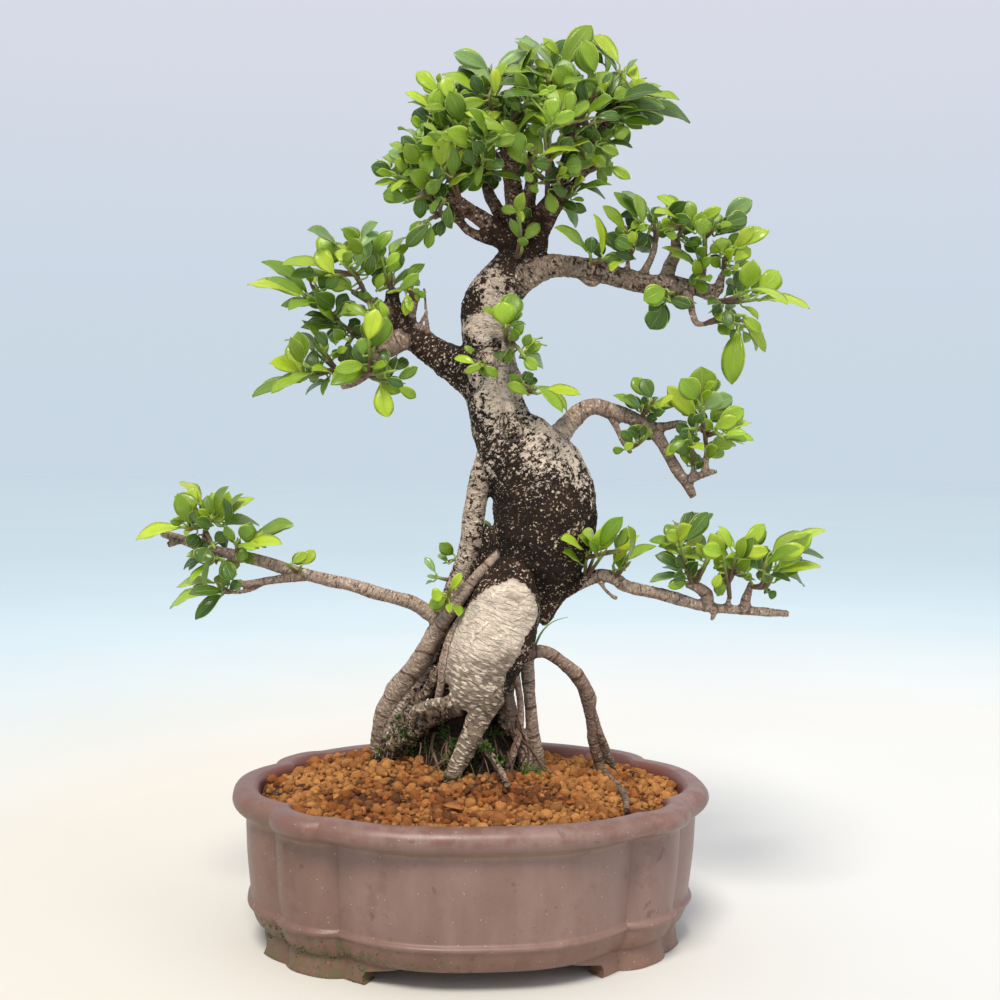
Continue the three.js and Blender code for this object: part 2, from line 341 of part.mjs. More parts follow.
// Leafy shoots: green stems as [x, z, depth], and leaves as
// [blade base x, base z, tip x, tip z, width as seen from the front].
const SPRAYS = {
  crown_outer_left: {
    stems: [
      [[-36, 558, -15], [-50, 566, -19], [-63, 572, -20]],
      [[-50, 566, -19], [-55, 584, -18]],
      [[-36, 558, -15], [-44, 557, -24], [-54, 553, -25]],
      [[-37, 558, -15], [-42, 567, -30]],
    ],
    leaves: [
      [-66, 573, -83, 578, 12], [-53, 571, -65, 584, 9], [-56, 583, -70, 589, 8],
      [-60, 567, -80, 565, 6], [-60, 587, -67, 596, 8], [-45, 562, -71, 563, 8],
      [-55, 553, -74, 558, 12], [-45, 560, -46, 540, 10], [-43, 569, -38, 594, 15],
      [-36, 561, -27, 584, 11],
    ],
  },
  crown_low_hang: {
    stems: [
      [[-31, 543, -11], [-37, 541, -18], [-42, 537, -24]],
    ],
    leaves: [
      [-39, 537, -56, 519, 11], [-38, 535, -40, 518, 8], [-29, 540, -31, 527, 7],
    ],
  },
  crown_left_front: {
    stems: [
      [[-16, 552, -13], [-27, 574, -32], [-38, 598, -38]],
      [[-27, 574, -32], [-24, 597, -42]],
    ],
    leaves: [
      [-48, 591, -61, 600, 9], [-46, 591, -40, 613, 9], [-24, 600, -43, 600, 9],
    ],
  },
  crown_heart: {
    stems: [
      [[0, 576, 8], [-3, 577, -20], [-6, 577, -34]],
    ],
    leaves: [
      [-13, 586, -37, 594, 13], [-7, 579, -12, 592, 11], [-8, 575, -25, 564, 6], [-3, 575, 30, 569, 7],
      [-3, 578, 15, 580, 6], [-6, 570, -20, 562, 11],
    ],
  },
  crown_upper_left: {
    stems: [
      [[-1, 581, 8], [-12, 598, -10], [-26, 606, -24], [-36, 612, -26]],
      [[-26, 606, -24], [-32, 630, -22]],
    ],
    leaves: [
      [-33, 632, -50, 648, 11], [-40, 621, -58, 633, 7], [-37, 614, -33, 636, 13],
      [-38, 610, -51, 620, 13], [-28, 609, -19, 633, 15],
    ],
  },
  crown_top_left: {
    stems: [
      [[15, 602, -5], [7, 618, -16], [1, 632, -20], [4, 648, -12]],
    ],
    leaves: [
      [-3, 632, -31, 647, 10], [-6, 639, -19, 652, 10], [3, 651, -23, 662, 13], [0, 634, -1, 646, 10],
      [4, 636, 17, 656, 8], [9, 649, 31, 664, 10], [-9, 622, -16, 642, 12], [12, 625, -4, 628, 7],
      [10, 641, 33, 662, 10],
    ],
  },
  crown_front_mid: {
    stems: [
      [[18, 592, -7], [18, 597, -34], [10, 599, -44]],
    ],
    leaves: [
      [13, 604, -14, 619, 9], [0, 600, -7, 618, 12], [-1, 597, -27, 608, 8], [4, 592, 11, 607, 8],
      [28, 599, 13, 613, 9],
    ],
  },
  crown_low_mid: {
    stems: [
      [[36, 573, -21], [35, 580, -34]],
      [[35, 580, -34], [44, 583, -38]],
    ],
    leaves: [
      [33, 581, 19, 596, 11], [45, 588, 31, 607, 11], [46, 582, 79, 600, 6],
    ],
  },
  crown_mid_right: {
    stems: [
      [[16, 603, -5], [24, 617, -24], [34, 628, -34], [45, 629, -36]],
    ],
    leaves: [
      [37, 640, 25, 652, 11], [38, 636, 15, 646, 9], [44, 632, 12, 640, 9], [48, 621, 36, 631, 7],
      [29, 651, 47, 672, 6],
    ],
  },
  crown_top: {
    stems: [
      [[62, 600, -6], [58, 625, -16], [56, 648, -14]],
    ],
    leaves: [
      [51, 651, 23, 674, 8], [55, 662, 43, 674, 7], [58, 653, 79, 684, 17], [60, 637, 59, 659, 15],
      [54, 637, 58, 648, 9], [49, 640, 40, 655, 9],
    ],
  },
  crown_top_right: {
    stems: [
      [[62, 596, -6], [75, 620, -14], [78, 644, -14]],
      [[75, 620, -14], [88, 634, -10], [100, 648, -8]],
    ],
    leaves: [
      [77, 648, 73, 671, 17], [100, 650, 75, 670, 7], [99, 657, 81, 677, 12], [70, 628, 95, 650, 14],
      [93, 632, 98, 651, 11],
    ],
  },
  crown_outer_right: {
    stems: [
      [[96, 617, -3], [105, 631, -8], [111, 636, -9]],
      [[96, 617, -3], [99, 613, -12]],
    ],
    leaves: [
      [108, 632, 119, 645, 13], [114, 642, 106, 656, 10], [121, 634, 145, 631, 7],
      [108, 625, 154, 615, 14], [100, 613, 125, 613, 8], [99, 611, 104, 601, 13],
    ],
  },
  crown_front_right: {
    stems: [
      [[48, 553, -2], [50, 582, -30], [51, 606, -44], [61, 611, -42]],
      [[61, 611, -42], [75, 615, -36]],
      [[49, 568, -16], [44, 568, -26]],
    ],
    leaves: [
      [48, 611, 52, 627, 13], [46, 610, 37, 620, 10], [55, 621, 50, 637, 11], [58, 621, 62, 637, 11],
      [62, 613, 78, 629, 9], [76, 617, 95, 631, 9], [45, 569, 57, 578, 11],
    ],
  },
  crown_right_mid: {
    stems: [
      [[76, 576, -6], [80, 588, -14], [83, 596, -16]],
      [[76, 576, -6], [68, 574, -20]],
      [[78, 577, -6], [92, 582, -9]],
    ],
    leaves: [
      [84, 596, 101, 590, 8], [92, 598, 111, 595, 6], [66, 576, 82, 592, 15], [93, 582, 110, 572, 8],
    ],
  },
  crown_right_low: {
    stems: [
      [[60, 557, -6], [66, 559, -14]],
    ],
    leaves: [
      [67, 561, 96, 568, 6], [63, 551, 78, 548, 8], [61, 549, 71, 536, 9],
    ],
  },
  crown_neck: {
    stems: [
      [[26, 512, -10], [30, 517, -18], [30, 522, -20]],
    ],
    leaves: [
      [29, 526, 21, 541, 7], [32, 526, 43, 538, 9],
    ],
  },
  crown_back_left: {
    stems: [
      [[18, 578, 40], [2, 596, 48], [-14, 608, 50], [-30, 606, 44]],
      [[2, 596, 48], [-2, 622, 44]],
    ],
    leaves: [
      [-32, 607, -54, 612, 13], [-28, 603, -48, 590, 13], [-30, 611, -38, 634, 13],
      [-16, 611, -22, 640, 14], [-10, 604, -20, 582, 13], [-2, 600, -14, 624, 14],
      [-4, 623, -20, 646, 13], [0, 625, 8, 648, 13], [4, 612, 20, 630, 14], [2, 594, -8, 568, 13],
      [8, 590, 24, 600, 13],
    ],
  },
  crown_back_mid: {
    stems: [
      [[17, 582, 41], [26, 604, 46], [32, 630, 40], [34, 650, 26]],
    ],
    leaves: [
      [30, 604, 8, 616, 13], [28, 606, 44, 600, 14], [30, 618, 12, 634, 14], [32, 620, 52, 630, 14],
      [33, 632, 18, 652, 13], [34, 640, 50, 656, 13], [34, 650, 30, 676, 13], [24, 596, 30, 572, 13],
    ],
  },
  crown_back_far: {
    stems: [
      [[71, 586, 38], [80, 602, 42], [92, 616, 36], [108, 622, 24]],
      [[80, 602, 42], [72, 628, 36]],
    ],
    leaves: [
      [110, 622, 134, 616, 14], [108, 624, 126, 640, 13], [96, 618, 104, 640, 13],
      [92, 616, 108, 598, 13], [82, 606, 98, 588, 13], [76, 604, 56, 606, 14], [72, 628, 62, 652, 14],
      [73, 629, 90, 650, 13], [74, 616, 54, 624, 13], [76, 592, 60, 576, 13], [78, 594, 96, 574, 12],
    ],
  },
  crown_back_low: {
    stems: [
      [[-34, 558, -14], [-38, 562, 10], [-46, 568, 20]],
      [[-38, 562, 10], [-30, 570, 28]],
    ],
    leaves: [
      [-47, 568, -68, 576, 13], [-44, 570, -56, 592, 12], [-40, 565, -60, 556, 12],
      [-30, 571, -32, 594, 13], [-28, 571, -12, 582, 12], [-32, 568, -20, 556, 11],
    ],
  },
  left_top: {
    stems: [
      [[-84, 480, -9], [-93, 498, -20], [-102, 510, -24]],
      [[-93, 498, -20], [-112, 501, -26]],
      [[-84, 480, -9], [-80, 474, -24]],
    ],
    leaves: [
      [-114, 505, -117, 529, 14], [-92, 503, -87, 527, 15], [-91, 522, -103, 532, 9],
      [-90, 523, -78, 537, 8], [-82, 512, -66, 531, 10], [-115, 503, -149, 505, 9],
      [-98, 489, -114, 492, 12], [-85, 503, -82, 520, 9], [-84, 469, -105, 468, 7],
      [-80, 479, -92, 484, 7],
    ],
  },
  left_reach: {
    stems: [
      [[-106, 464, -10], [-117, 473, -14], [-130, 481, -18]],
      [[-117, 472, -14], [-125, 487, -14]],
    ],
    leaves: [
      [-132, 480, -174, 490, 9], [-121, 475, -149, 474, 8], [-115, 472, -128, 484, 13],
      [-126, 488, -128, 504, 7], [-107, 458, -134, 458, 8], [-104, 459, -112, 448, 10],
      [-106, 470, -100, 484, 10],
    ],
  },
  left_tips: {
    stems: [
      [[-107, 427, -13], [-120, 423, -17], [-131, 421, -18]],
      [[-107, 427, -13], [-120, 437, -14]],
    ],
    leaves: [
      [-133, 424, -142, 447, 12], [-135, 423, -157, 431, 10], [-131, 419, -170, 406, 9],
      [-125, 441, -125, 422, 11], [-114, 435, -120, 449, 10],
    ],
  },
  left_low: {
    stems: [
      [[-88, 425, -9], [-82, 422, -22], [-74, 419, -24], [-64, 418, -22]],
      [[-82, 422, -22], [-80, 440, -30]],
    ],
    leaves: [
      [-86, 428, -111, 416, 14], [-79, 434, -68, 422, 12], [-74, 417, -68, 392, 14],
      [-62, 420, -46, 430, 8], [-62, 416, -47, 407, 8], [-66, 421, -63, 437, 8],
      [-80, 442, -69, 467, 17], [-84, 432, -94, 446, 11],
    ],
  },
  left_inner: {
    stems: [
      [[-94, 454, -9], [-98, 446, -18]],
    ],
    leaves: [
      [-99, 445, -101, 431, 10], [-99, 449, -108, 458, 10],
    ],
  },
  left_crest: {
    stems: [
      [[-66, 484, -3], [-67, 494, -10], [-68, 509, -12]],
    ],
    leaves: [
      [-66, 497, -60, 516, 11], [-67, 511, -55, 527, 8], [-71, 489, -71, 503, 8],
      [-72, 498, -79, 512, 9],
    ],
  },
  left_fork: {
    stems: [
      [[-49, 480, -4], [-52, 489, -9], [-60, 488, -12]],
    ],
    leaves: [
      [-60, 490, -42, 507, 8], [-52, 487, -56, 468, 8],
    ],
  },
  right_fan: {
    stems: [
      [[109, 512, -9], [110, 520, -13], [108, 532, -16]],
    ],
    leaves: [
      [107, 534, 90, 552, 9], [109, 519, 92, 531, 12], [107, 513, 91, 513, 8], [114, 522, 123, 532, 10],
    ],
  },
  right_spire: {
    stems: [
      [[130, 526, -10], [128, 541, -16]],
      [[129, 534, -13], [119, 540, -16]],
    ],
    leaves: [
      [116, 543, 98, 562, 9], [126, 546, 104, 563, 6], [124, 531, 119, 518, 11],
    ],
  },
  right_crest: {
    stems: [
      [[144, 527, 2], [149, 536, -8], [151, 545, -12]],
      [[149, 536, -8], [140, 541, -12]],
    ],
    leaves: [
      [147, 547, 130, 560, 8], [139, 545, 152, 556, 10], [149, 549, 127, 542, 7],
      [157, 541, 153, 557, 10], [151, 531, 156, 546, 14], [152, 528, 161, 519, 11],
    ],
  },
  right_spray: {
    stems: [
      [[167, 509, -9], [167, 520, -13], [167, 535, -16]],
      [[167, 530, -15], [178, 541, -12]],
    ],
    leaves: [
      [161, 541, 178, 552, 9], [181, 545, 201, 558, 14], [168, 535, 173, 549, 14],
      [177, 533, 197, 546, 12], [168, 516, 176, 524, 8], [160, 508, 135, 522, 7],
    ],
  },
  right_cluster: {
    stems: [
      [[181, 504, -7], [183, 514, -13], [191, 521, -15]],
    ],
    leaves: [
      [183, 517, 179, 530, 11], [185, 520, 191, 534, 9], [193, 523, 214, 536, 9],
      [187, 513, 201, 522, 10], [179, 507, 171, 517, 9],
    ],
  },
  right_tip: {
    stems: [
      [[178, 483, -9], [188, 482, -12], [203, 484, -14]],
    ],
    leaves: [
      [194, 486, 197, 504, 11], [208, 489, 222, 506, 16], [207, 484, 246, 479, 8],
      [182, 485, 190, 494, 9],
    ],
  },
  right_hang: {
    stems: [
      [[168, 466, -12], [182, 468, -16], [197, 465, -18]],
    ],
    leaves: [
      [193, 463, 189, 421, 16], [185, 466, 193, 453, 9], [199, 464, 214, 446, 8],
      [175, 469, 178, 480, 8],
    ],
  },
  right_under: {
    stems: [
      [[134, 485, -12], [139, 483, -16]],
    ],
    leaves: [
      [138, 481, 127, 461, 17], [135, 483, 126, 475, 9], [141, 482, 159, 481, 9],
    ],
  },
  right_inner: {
    stems: [
      [[83, 508, -8], [82, 512, -14]],
    ],
    leaves: [
      [82, 513, 82, 529, 10], [79, 518, 55, 536, 9],
    ],
  },
  mid_rise: {
    stems: [
      [[122, 395, -8], [125, 402, -14], [126, 407, -15]],
    ],
    leaves: [
      [126, 409, 115, 425, 11], [120, 400, 101, 412, 6],
    ],
  },
  mid_drop: {
    stems: [
      [[112, 373, -9], [117, 373, -13], [121, 377, -14]],
    ],
    leaves: [
      [116, 377, 107, 385, 8], [113, 372, 101, 370, 6], [122, 378, 123, 389, 7],
    ],
  },
  mid_crest: {
    stems: [
      [[171, 376, -10], [170, 390, -16], [168, 405, -18]],
      [[171, 382, -12], [179, 384, -18], [185, 381, -18]],
      [[170, 388, -15], [163, 386, -20]],
    ],
    leaves: [
      [168, 411, 166, 434, 21], [163, 395, 141, 419, 14], [166, 400, 154, 419, 11],
      [173, 403, 190, 412, 14], [180, 391, 199, 403, 14], [173, 393, 182, 405, 9],
      [162, 387, 159, 399, 8], [162, 384, 148, 391, 9], [174, 375, 192, 377, 9],
      [188, 381, 207, 380, 6],
    ],
  },
  mid_low: {
    stems: [
      [[162, 358, -10], [162, 366, -15], [160, 378, -19]],
    ],
    leaves: [
      [160, 366, 148, 382, 14], [157, 379, 141, 367, 7], [162, 358, 158, 372, 9],
    ],
  },
  low_left_main: {
    stems: [
      [[-205, 301, -11], [-204, 308, -15], [-200, 315, -17]],
      [[-204, 308, -15], [-218, 307, -18]],
      [[-204, 308, -15], [-207, 322, -14]],
      [[-204, 304, -13], [-199, 293, -20]],
    ],
    leaves: [
      [-218, 309, -213, 337, 12], [-208, 325, -223, 341, 6], [-215, 308, -213, 323, 7],
      [-220, 307, -257, 297, 9], [-211, 302, -217, 292, 9], [-203, 310, -212, 320, 8],
      [-197, 315, -196, 334, 11], [-193, 315, -187, 334, 10], [-192, 312, -168, 330, 8],
      [-201, 294, -207, 279, 17],
    ],
  },
  low_left_inner: {
    stems: [
      [[-180, 288, -8], [-179, 294, -14]],
    ],
    leaves: [
      [-181, 293, -189, 308, 7], [-174, 296, -170, 311, 13], [-171, 294, -138, 310, 8],
      [-173, 291, -157, 298, 6], [-175, 289, -168, 280, 8],
    ],
  },
  low_left_hang: {
    stems: [
      [[-196, 287, -8], [-196, 282, -15]],
    ],
    leaves: [
      [-202, 284, -221, 275, 6], [-199, 280, -217, 264, 6], [-192, 281, -184, 268, 12],
    ],
  },
  low_left_twig: {
    stems: [
      [[-186, 258, -18], [-193, 258, -20]],
    ],
    leaves: [
      [-192, 260, -187, 271, 7], [-197, 259, -231, 245, 7], [-191, 256, -212, 237, 9],
      [-186, 260, -176, 265, 7],
    ],
  },
  low_left_single: {
    stems: [
      [[-134, 273, -10], [-133, 276, -15]],
    ],
    leaves: [
      [-133, 277, -122, 291, 9],
    ],
  },
  low_right_sprout: {
    stems: [
      [[82, 272, -9], [83, 289, -17]],
      [[83, 289, -17], [97, 293, -18]],
    ],
    leaves: [
      [85, 293, 105, 315, 14], [98, 296, 100, 313, 9], [80, 295, 64, 303, 6],
    ],
  },
  low_right_shoot: {
    stems: [
      [[104, 273, -10], [104, 280, -16]],
    ],
    leaves: [
      [103, 283, 122, 307, 7], [108, 281, 110, 296, 9],
    ],
  },
  low_right_left: {
    stems: [
      [[164, 269, -15], [158, 282, -20], [152, 298, -23]],
      [[166, 270, -15], [174, 286, -20]],
    ],
    leaves: [
      [151, 302, 142, 315, 10], [153, 303, 157, 317, 8], [156, 303, 174, 325, 13],
      [149, 301, 130, 303, 6], [171, 288, 141, 298, 9], [157, 298, 170, 307, 8],
      [154, 282, 135, 292, 8], [171, 283, 163, 273, 10], [160, 272, 145, 268, 7],
    ],
  },
  low_right_mid: {
    stems: [
      [[192, 260, -11], [191, 272, -16], [190, 286, -19]],
      [[191, 272, -16], [200, 290, -18]],
      [[195, 279, -17], [205, 276, -22]],
    ],
    leaves: [
      [186, 291, 176, 309, 12], [195, 298, 181, 311, 7], [188, 276, 183, 262, 8],
      [200, 296, 217, 317, 12], [203, 290, 210, 306, 8], [205, 286, 220, 300, 8],
      [205, 279, 204, 293, 9],
    ],
  },
  low_right_end: {
    stems: [
      [[207, 269, -12], [219, 269, -16], [225, 280, -18]],
    ],
    leaves: [
      [221, 277, 216, 300, 9], [229, 292, 253, 310, 14], [228, 283, 243, 294, 10],
      [229, 280, 260, 286, 7],
    ],
  },
  trunk_shoot: {
    stems: [
      [[19, 449, -20], [19, 461, -30]],
      [[19, 450, -21], [26, 448, -30], [32, 442, -33]],
    ],
    leaves: [
      [19, 463, 26, 486, 17], [17, 464, 1, 475, 6], [25, 453, 31, 464, 8], [34, 442, 46, 449, 7],
      [34, 439, 48, 432, 9],
    ],
  },
  trunk_blade: {
    stems: [
      [[37, 413, -25], [42, 412, -32]],
    ],
    leaves: [
      [44, 412, 76, 412, 8], [39, 411, 21, 419, 8],
    ],
  },
  trunk_side: {
    stems: [
      [[2, 438, -20], [0, 434, -29]],
    ],
    leaves: [
      [1, 433, 14, 424, 7], [-2, 433, -19, 437, 6],
    ],
  },
  root_sprout: {
    stems: [
      [[-21, 244, -15], [-20, 258, -23]],
    ],
    leaves: [
      [-19, 262, -11, 276, 7], [-22, 257, -35, 249, 11],
    ],
  },
};

// Booleans

function toSolid(geometry) {
  geometry.deleteAttribute('normal');
  geometry.deleteAttribute('uv');
  const merged = mergeVertices(geometry);
  const mesh = new wasm.Mesh({
    numProp: 3,
    vertProperties: new Float32Array(merged.getAttribute('position').array),
    triVerts: new Uint32Array(merged.getIndex().array),
  });
  return new wasm.Manifold(mesh);
}

function toGeometry(solid) {
  const mesh = solid.getMesh();
  const geometry = new THREE.BufferGeometry();
  geometry.setAttribute('position', new THREE.BufferAttribute(mesh.vertProperties, 3));
  geometry.setIndex(new THREE.BufferAttribute(mesh.triVerts, 1));
  return geometry;
}

function joined(solids) {
  return solids.reduce((whole, solid) => whole.add(solid));
}

// The largest body of a solid, without the scraps that a cut leaves.
function largestBody(solid) {
  const bodies = solid.decompose();
  return bodies.reduce((best, body) => (body.volume() > best.volume() ? body : best));
}

function solidFrom(points, faces) {
  const flat = points.flatMap((point) => point.toArray());
  const geometry = new THREE.BufferGeometry();
  geometry.setAttribute('position', new THREE.Float32BufferAttribute(flat, 3));
  geometry.setIndex(faces);
  return toSolid(geometry);
}

// A closed solid through rings of points, each ring with the same number of points.
// The ends are closed with fans, or run out to a point where a ring has only one.
function loft(rings) {
  const points = rings.flat();
  const faces = [];
  const starts = [];
  let at = 0;
  for (const ring of rings) {
    starts.push(at);
    at += ring.length;
  }
  for (let i = 0; i + 1 < rings.length; i += 1) {
    const low = starts[i];
    const high = starts[i + 1];
    const count = rings[i].length;
    const pointed = rings[i + 1].length === 1;
    for (let j = 0; j < count; j += 1) {
      const k = (j + 1) % count;
      if (pointed) {
        faces.push(low + j, low + k, high);
      } else {
        faces.push(low + j, low + k, high + k, low + j, high + k, high + j);
      }
    }
  }
  const closeEnd = (start, count, outward) => {
    for (let j = 1; j + 1 < count; j += 1) {
      if (outward) {
        faces.push(start, start + j, start + j + 1);
      } else {
        faces.push(start, start + j + 1, start + j);
      }
    }
  };
  closeEnd(starts[0], rings[0].length, false);
  closeEnd(starts[rings.length - 1], rings[rings.length - 1].length, true);
  return solidFrom(points, faces);
}

// Pot

function crease(pair, softness, halfX, halfY) {
  const [sharp, soft] = pair;
  return new THREE.Vector2(
    THREE.MathUtils.lerp(sharp[0], soft[0], softness) * halfX,
    THREE.MathUtils.lerp(sharp[1], soft[1], softness) * halfY,
  );
}

// One lobe of the outline, from crease to crease, bulged outwards with full shoulders.
function lobe(from, to, bulge, share) {
  const along = to.clone().sub(from);
  const outward = new THREE.Vector2(along.y, -along.x).normalize();
  const height = bulge * (1 - Math.abs(2 * share - 1) ** LOBE_FULLNESS);
  return from.clone().addScaledVector(along, share).addScaledVector(outward, height);
}

// The lobed outline, anticlockwise from the left crease of the front lobe.
function lobedOutline(halfX, halfY, softness) {
  const a = crease(FRONT_CREASE, softness, halfX, halfY);
  const b = crease(END_CREASE, softness, halfX, halfY);
  const frontBulge = halfY - a.y;
  const endBulge = halfX - b.x;
  const cornerBulge = CORNER_BULGE * halfX;
  const corners = [
    [-a.x, -a.y], [a.x, -a.y], [b.x, -b.y], [b.x, b.y],
    [a.x, a.y], [-a.x, a.y], [-b.x, b.y], [-b.x, -b.y],
  ].map(([x, y]) => new THREE.Vector2(x, y));
  const kinds = ['front', 'corner', 'end', 'corner', 'front', 'corner', 'end', 'corner'];
  const bulges = { front: frontBulge, corner: cornerBulge, end: endBulge };
  return corners.flatMap((corner, i) => {
    const kind = kinds[i];
    const next = corners[(i + 1) % corners.length];
    const count = LOBE_SIDES[kind];
    return Array.from({ length: count }, (_, j) => lobe(corner, next, bulges[kind], j / count));
  });
}

function outlineRing(z, halfX, halfY, softness) {
  return lobedOutline(halfX, halfY, softness).map((p) => new THREE.Vector3(p.x, p.y, z));
}

// One foot, as a curved wall that follows the pot's outline round the front right corner.
function footRing([z, halfX, halfY, endX, endY]) {
  const a = crease(FRONT_CREASE, 0, halfX, halfY);
  const b = crease(END_CREASE, 0, halfX, halfY);
  a.y = -a.y;
  b.y = -b.y;
  const frontShare = (endX + a.x) / (2 * a.x);
  const endShare = (b.y + endY) / (2 * b.y);
  const left = new THREE.Vector2(-a.x, a.y);
  const top = new THREE.Vector2(b.x, -b.y);
  const outer = [
    lobe(left, a, halfY + a.y, frontShare),
    a,
    lobe(a, b, CORNER_BULGE * halfX, 0.5),
    b,
    lobe(b, top, halfX - b.x, endShare),
  ];
  const inner = outer.map((p) => new THREE.Vector2(
    p.x * (halfX - FOOT_THICKNESS) / halfX,
    p.y * (halfY - FOOT_THICKNESS) / halfY,
  ));
  return [...outer, ...inner.reverse()].map((p) => new THREE.Vector3(p.x, p.y, z));
}

function makeFoot(signX, signY) {
  const rings = FOOT_LEVELS.map((level) => {
    const ring = footRing(level).map((p) => new THREE.Vector3(p.x * signX, p.y * signY, p.z));
    return signX * signY > 0 ? ring : ring.reverse();
  });
  return loft(rings);
}

function drainCylinder(radius, bottom, top, x) {
  const height = top - bottom;
  const geometry = new THREE.CylinderGeometry(radius, radius, height, 12);
  geometry.rotateX(Math.PI / 2);
  geometry.translate(x, 0, bottom + height / 2);
  return geometry;
}

function makePot() {
  const shell = loft(POT_LEVELS.map((level) => outlineRing(...level)));
  const feet = [makeFoot(1, 1), makeFoot(-1, 1), makeFoot(1, -1), makeFoot(-1, -1)];
  const drains = [-DRAIN_X, DRAIN_X].map((x) => drainCylinder(DRAIN_RADIUS, 0, FLOOR_TOP + 1, x));
  return joined([shell, ...feet]).subtract(joined(drains.map(toSolid)));
}

function makeScreen(x) {
  const bottom = FLOOR_TOP + FIT_GAP;
  return toSolid(drainCylinder(SCREEN_RADIUS, bottom, bottom + SCREEN_THICKNESS, x));
}

// Random draws, seeded, the same in every run.
function drawsFrom(seed) {
  let state = seed % 2147483647;
  return () => {
    state = (state * 16807) % 2147483647;
    return state / 2147483647;
  };
}

// Soil

function soilHeight(x, y) {
  return MOUNDS.reduce(
    (z, [rise, cx, cy, sx, sy]) => z + rise * Math.exp(-(((x - cx) / sx) ** 2) - ((y - cy) / sy) ** 2),
    SOIL_EDGE_HEIGHT,
  );
}

// A slab over the whole pot with a top of raised and sunk points on a staggered grid.
function granuleSlab() {
  const draw = drawsFrom(SEED);
  const rowPitch = GRANULE_PITCH * Math.sqrt(3) / 2;
  const columns = Math.ceil(POT_LENGTH / GRANULE_PITCH) + 1;
  const rows = Math.ceil(POT_DEPTH / rowPitch) + 1;
  const points = [];
  for (let j = 0; j < rows; j += 1) {
    for (let i = 0; i < columns; i += 1) {
      const x = (i + (j % 2) / 2 - columns / 2) * GRANULE_PITCH;
      const y = (j - (rows - 1) / 2) * rowPitch;
      const relief = GRANULE_RELIEF * (2 * draw() - 1);
      points.push(new THREE.Vector3(x, y, soilHeight(x, y) + relief));
    }
  }
  const faces = [];
  for (let j = 0; j + 1 < rows; j += 1) {
    for (let i = 0; i + 1 < columns; i += 1) {
      const p = j * columns + i;
      const q = p + columns;
      if (j % 2 === 0) {
        faces.push(p, p + 1, q, p + 1, q + 1, q);
      } else {
        faces.push(p, q + 1, q, p, p + 1, q + 1);
      }
    }
  }
  const rim = [];
  for (let i = 0; i < columns; i += 1) rim.push(i);
  for (let j = 1; j < rows; j += 1) rim.push(j * columns + columns - 1);
  for (let i = columns - 2; i >= 0; i -= 1) rim.push((rows - 1) * columns + i);
  for (let j = rows - 2; j > 0; j -= 1) rim.push(j * columns);
  const foot = points.length;
  points.push(new THREE.Vector3(0, 0, 0));
  for (let i = 0; i < rim.length; i += 1) faces.push(rim[(i + 1) % rim.length], rim[i], foot);
  return solidFrom(points, faces);
}

// The inside of the pot, a little smaller.
function soilColumn() {
  const inside = POT_LEVELS.slice(-3).reverse();
  const rings = inside.map(([z, halfX, halfY, softness], i) => outlineRing(
    i === 0 ? SOIL_BOTTOM : z,
    halfX - FIT_GAP,
    halfY - FIT_GAP,
    softness,
  ));
  const top = inside[inside.length - 1];
  rings.push(outlineRing(POT_HEIGHT + 60, top[1] - FIT_GAP, top[2] - FIT_GAP, top[3]));
  return loft(rings);
}

function makeSoil(wideWood) {
  return largestBody(soilColumn().intersect(granuleSlab()).subtract(wideWood));
}

// Wood

// From the front elevation to space, still facing the eye: a point further back is spread from the eye.
function seen(x, z, depth) {
  const y = depth + TREE_BACK;
  const spread = 1 - y / EYE.y;
  return new THREE.Vector3(EYE.x + (x - EYE.x) * spread, y, EYE.z + (z - EYE.z) * spread);
}

// From the view's frame to the pot's.
function turned(point) {
  return point.clone().applyAxisAngle(new THREE.Vector3(0, 0, 1), -POT_TURN);
}

// Points and radii along a limb, evenly spaced.
function limbStations({ step, line }) {
  const centres = line.map(([x, z, depth]) => seen(x, z, depth));
  const radii = line.map((point) => point[3]);
  const curve = new THREE.CatmullRomCurve3(centres);
  const spans = centres.length - 1;
  const count = Math.max(spans > 1 ? 3 : 2, Math.round(curve.getLength() / step) + 1);
  return Array.from({ length: count }, (_, i) => {
    const t = curve.getUtoTmapping(i / (count - 1));
    const span = Math.min(Math.floor(t * spans), spans - 1);
    const radius = THREE.MathUtils.lerp(radii[span], radii[span + 1], t * spans - span);
    return { centre: curve.getPoint(t), heading: curve.getTangent(t), radius };
  });
}

// A tube round a line of stations, its section carried along without twist.
function tube(stations, sides, extra) {
  let across = new THREE.Vector3(0, -1, 0);
  const rings = stations.map(({ centre, heading, radius }) => {
    across = across.addScaledVector(heading, -across.dot(heading)).normalize();
    const up = heading.clone().cross(across);
    const ring = Array.from({ length: sides }, (_, j) => {
      const angle = (2 * Math.PI * j) / sides;
      const point = centre.clone();
      point.addScaledVector(across, Math.cos(angle) * (radius + extra));
      point.addScaledVector(up, Math.sin(angle) * (radius + extra));
      return turned(point);
    });
    across = across.clone();
    return ring;
  });
  return loft(rings);
}

function makeWood(extra) {
  return joined(Object.values(LIMBS).map((limb) => tube(limbStations(limb), limb.sides, extra)));
}

// Leaves

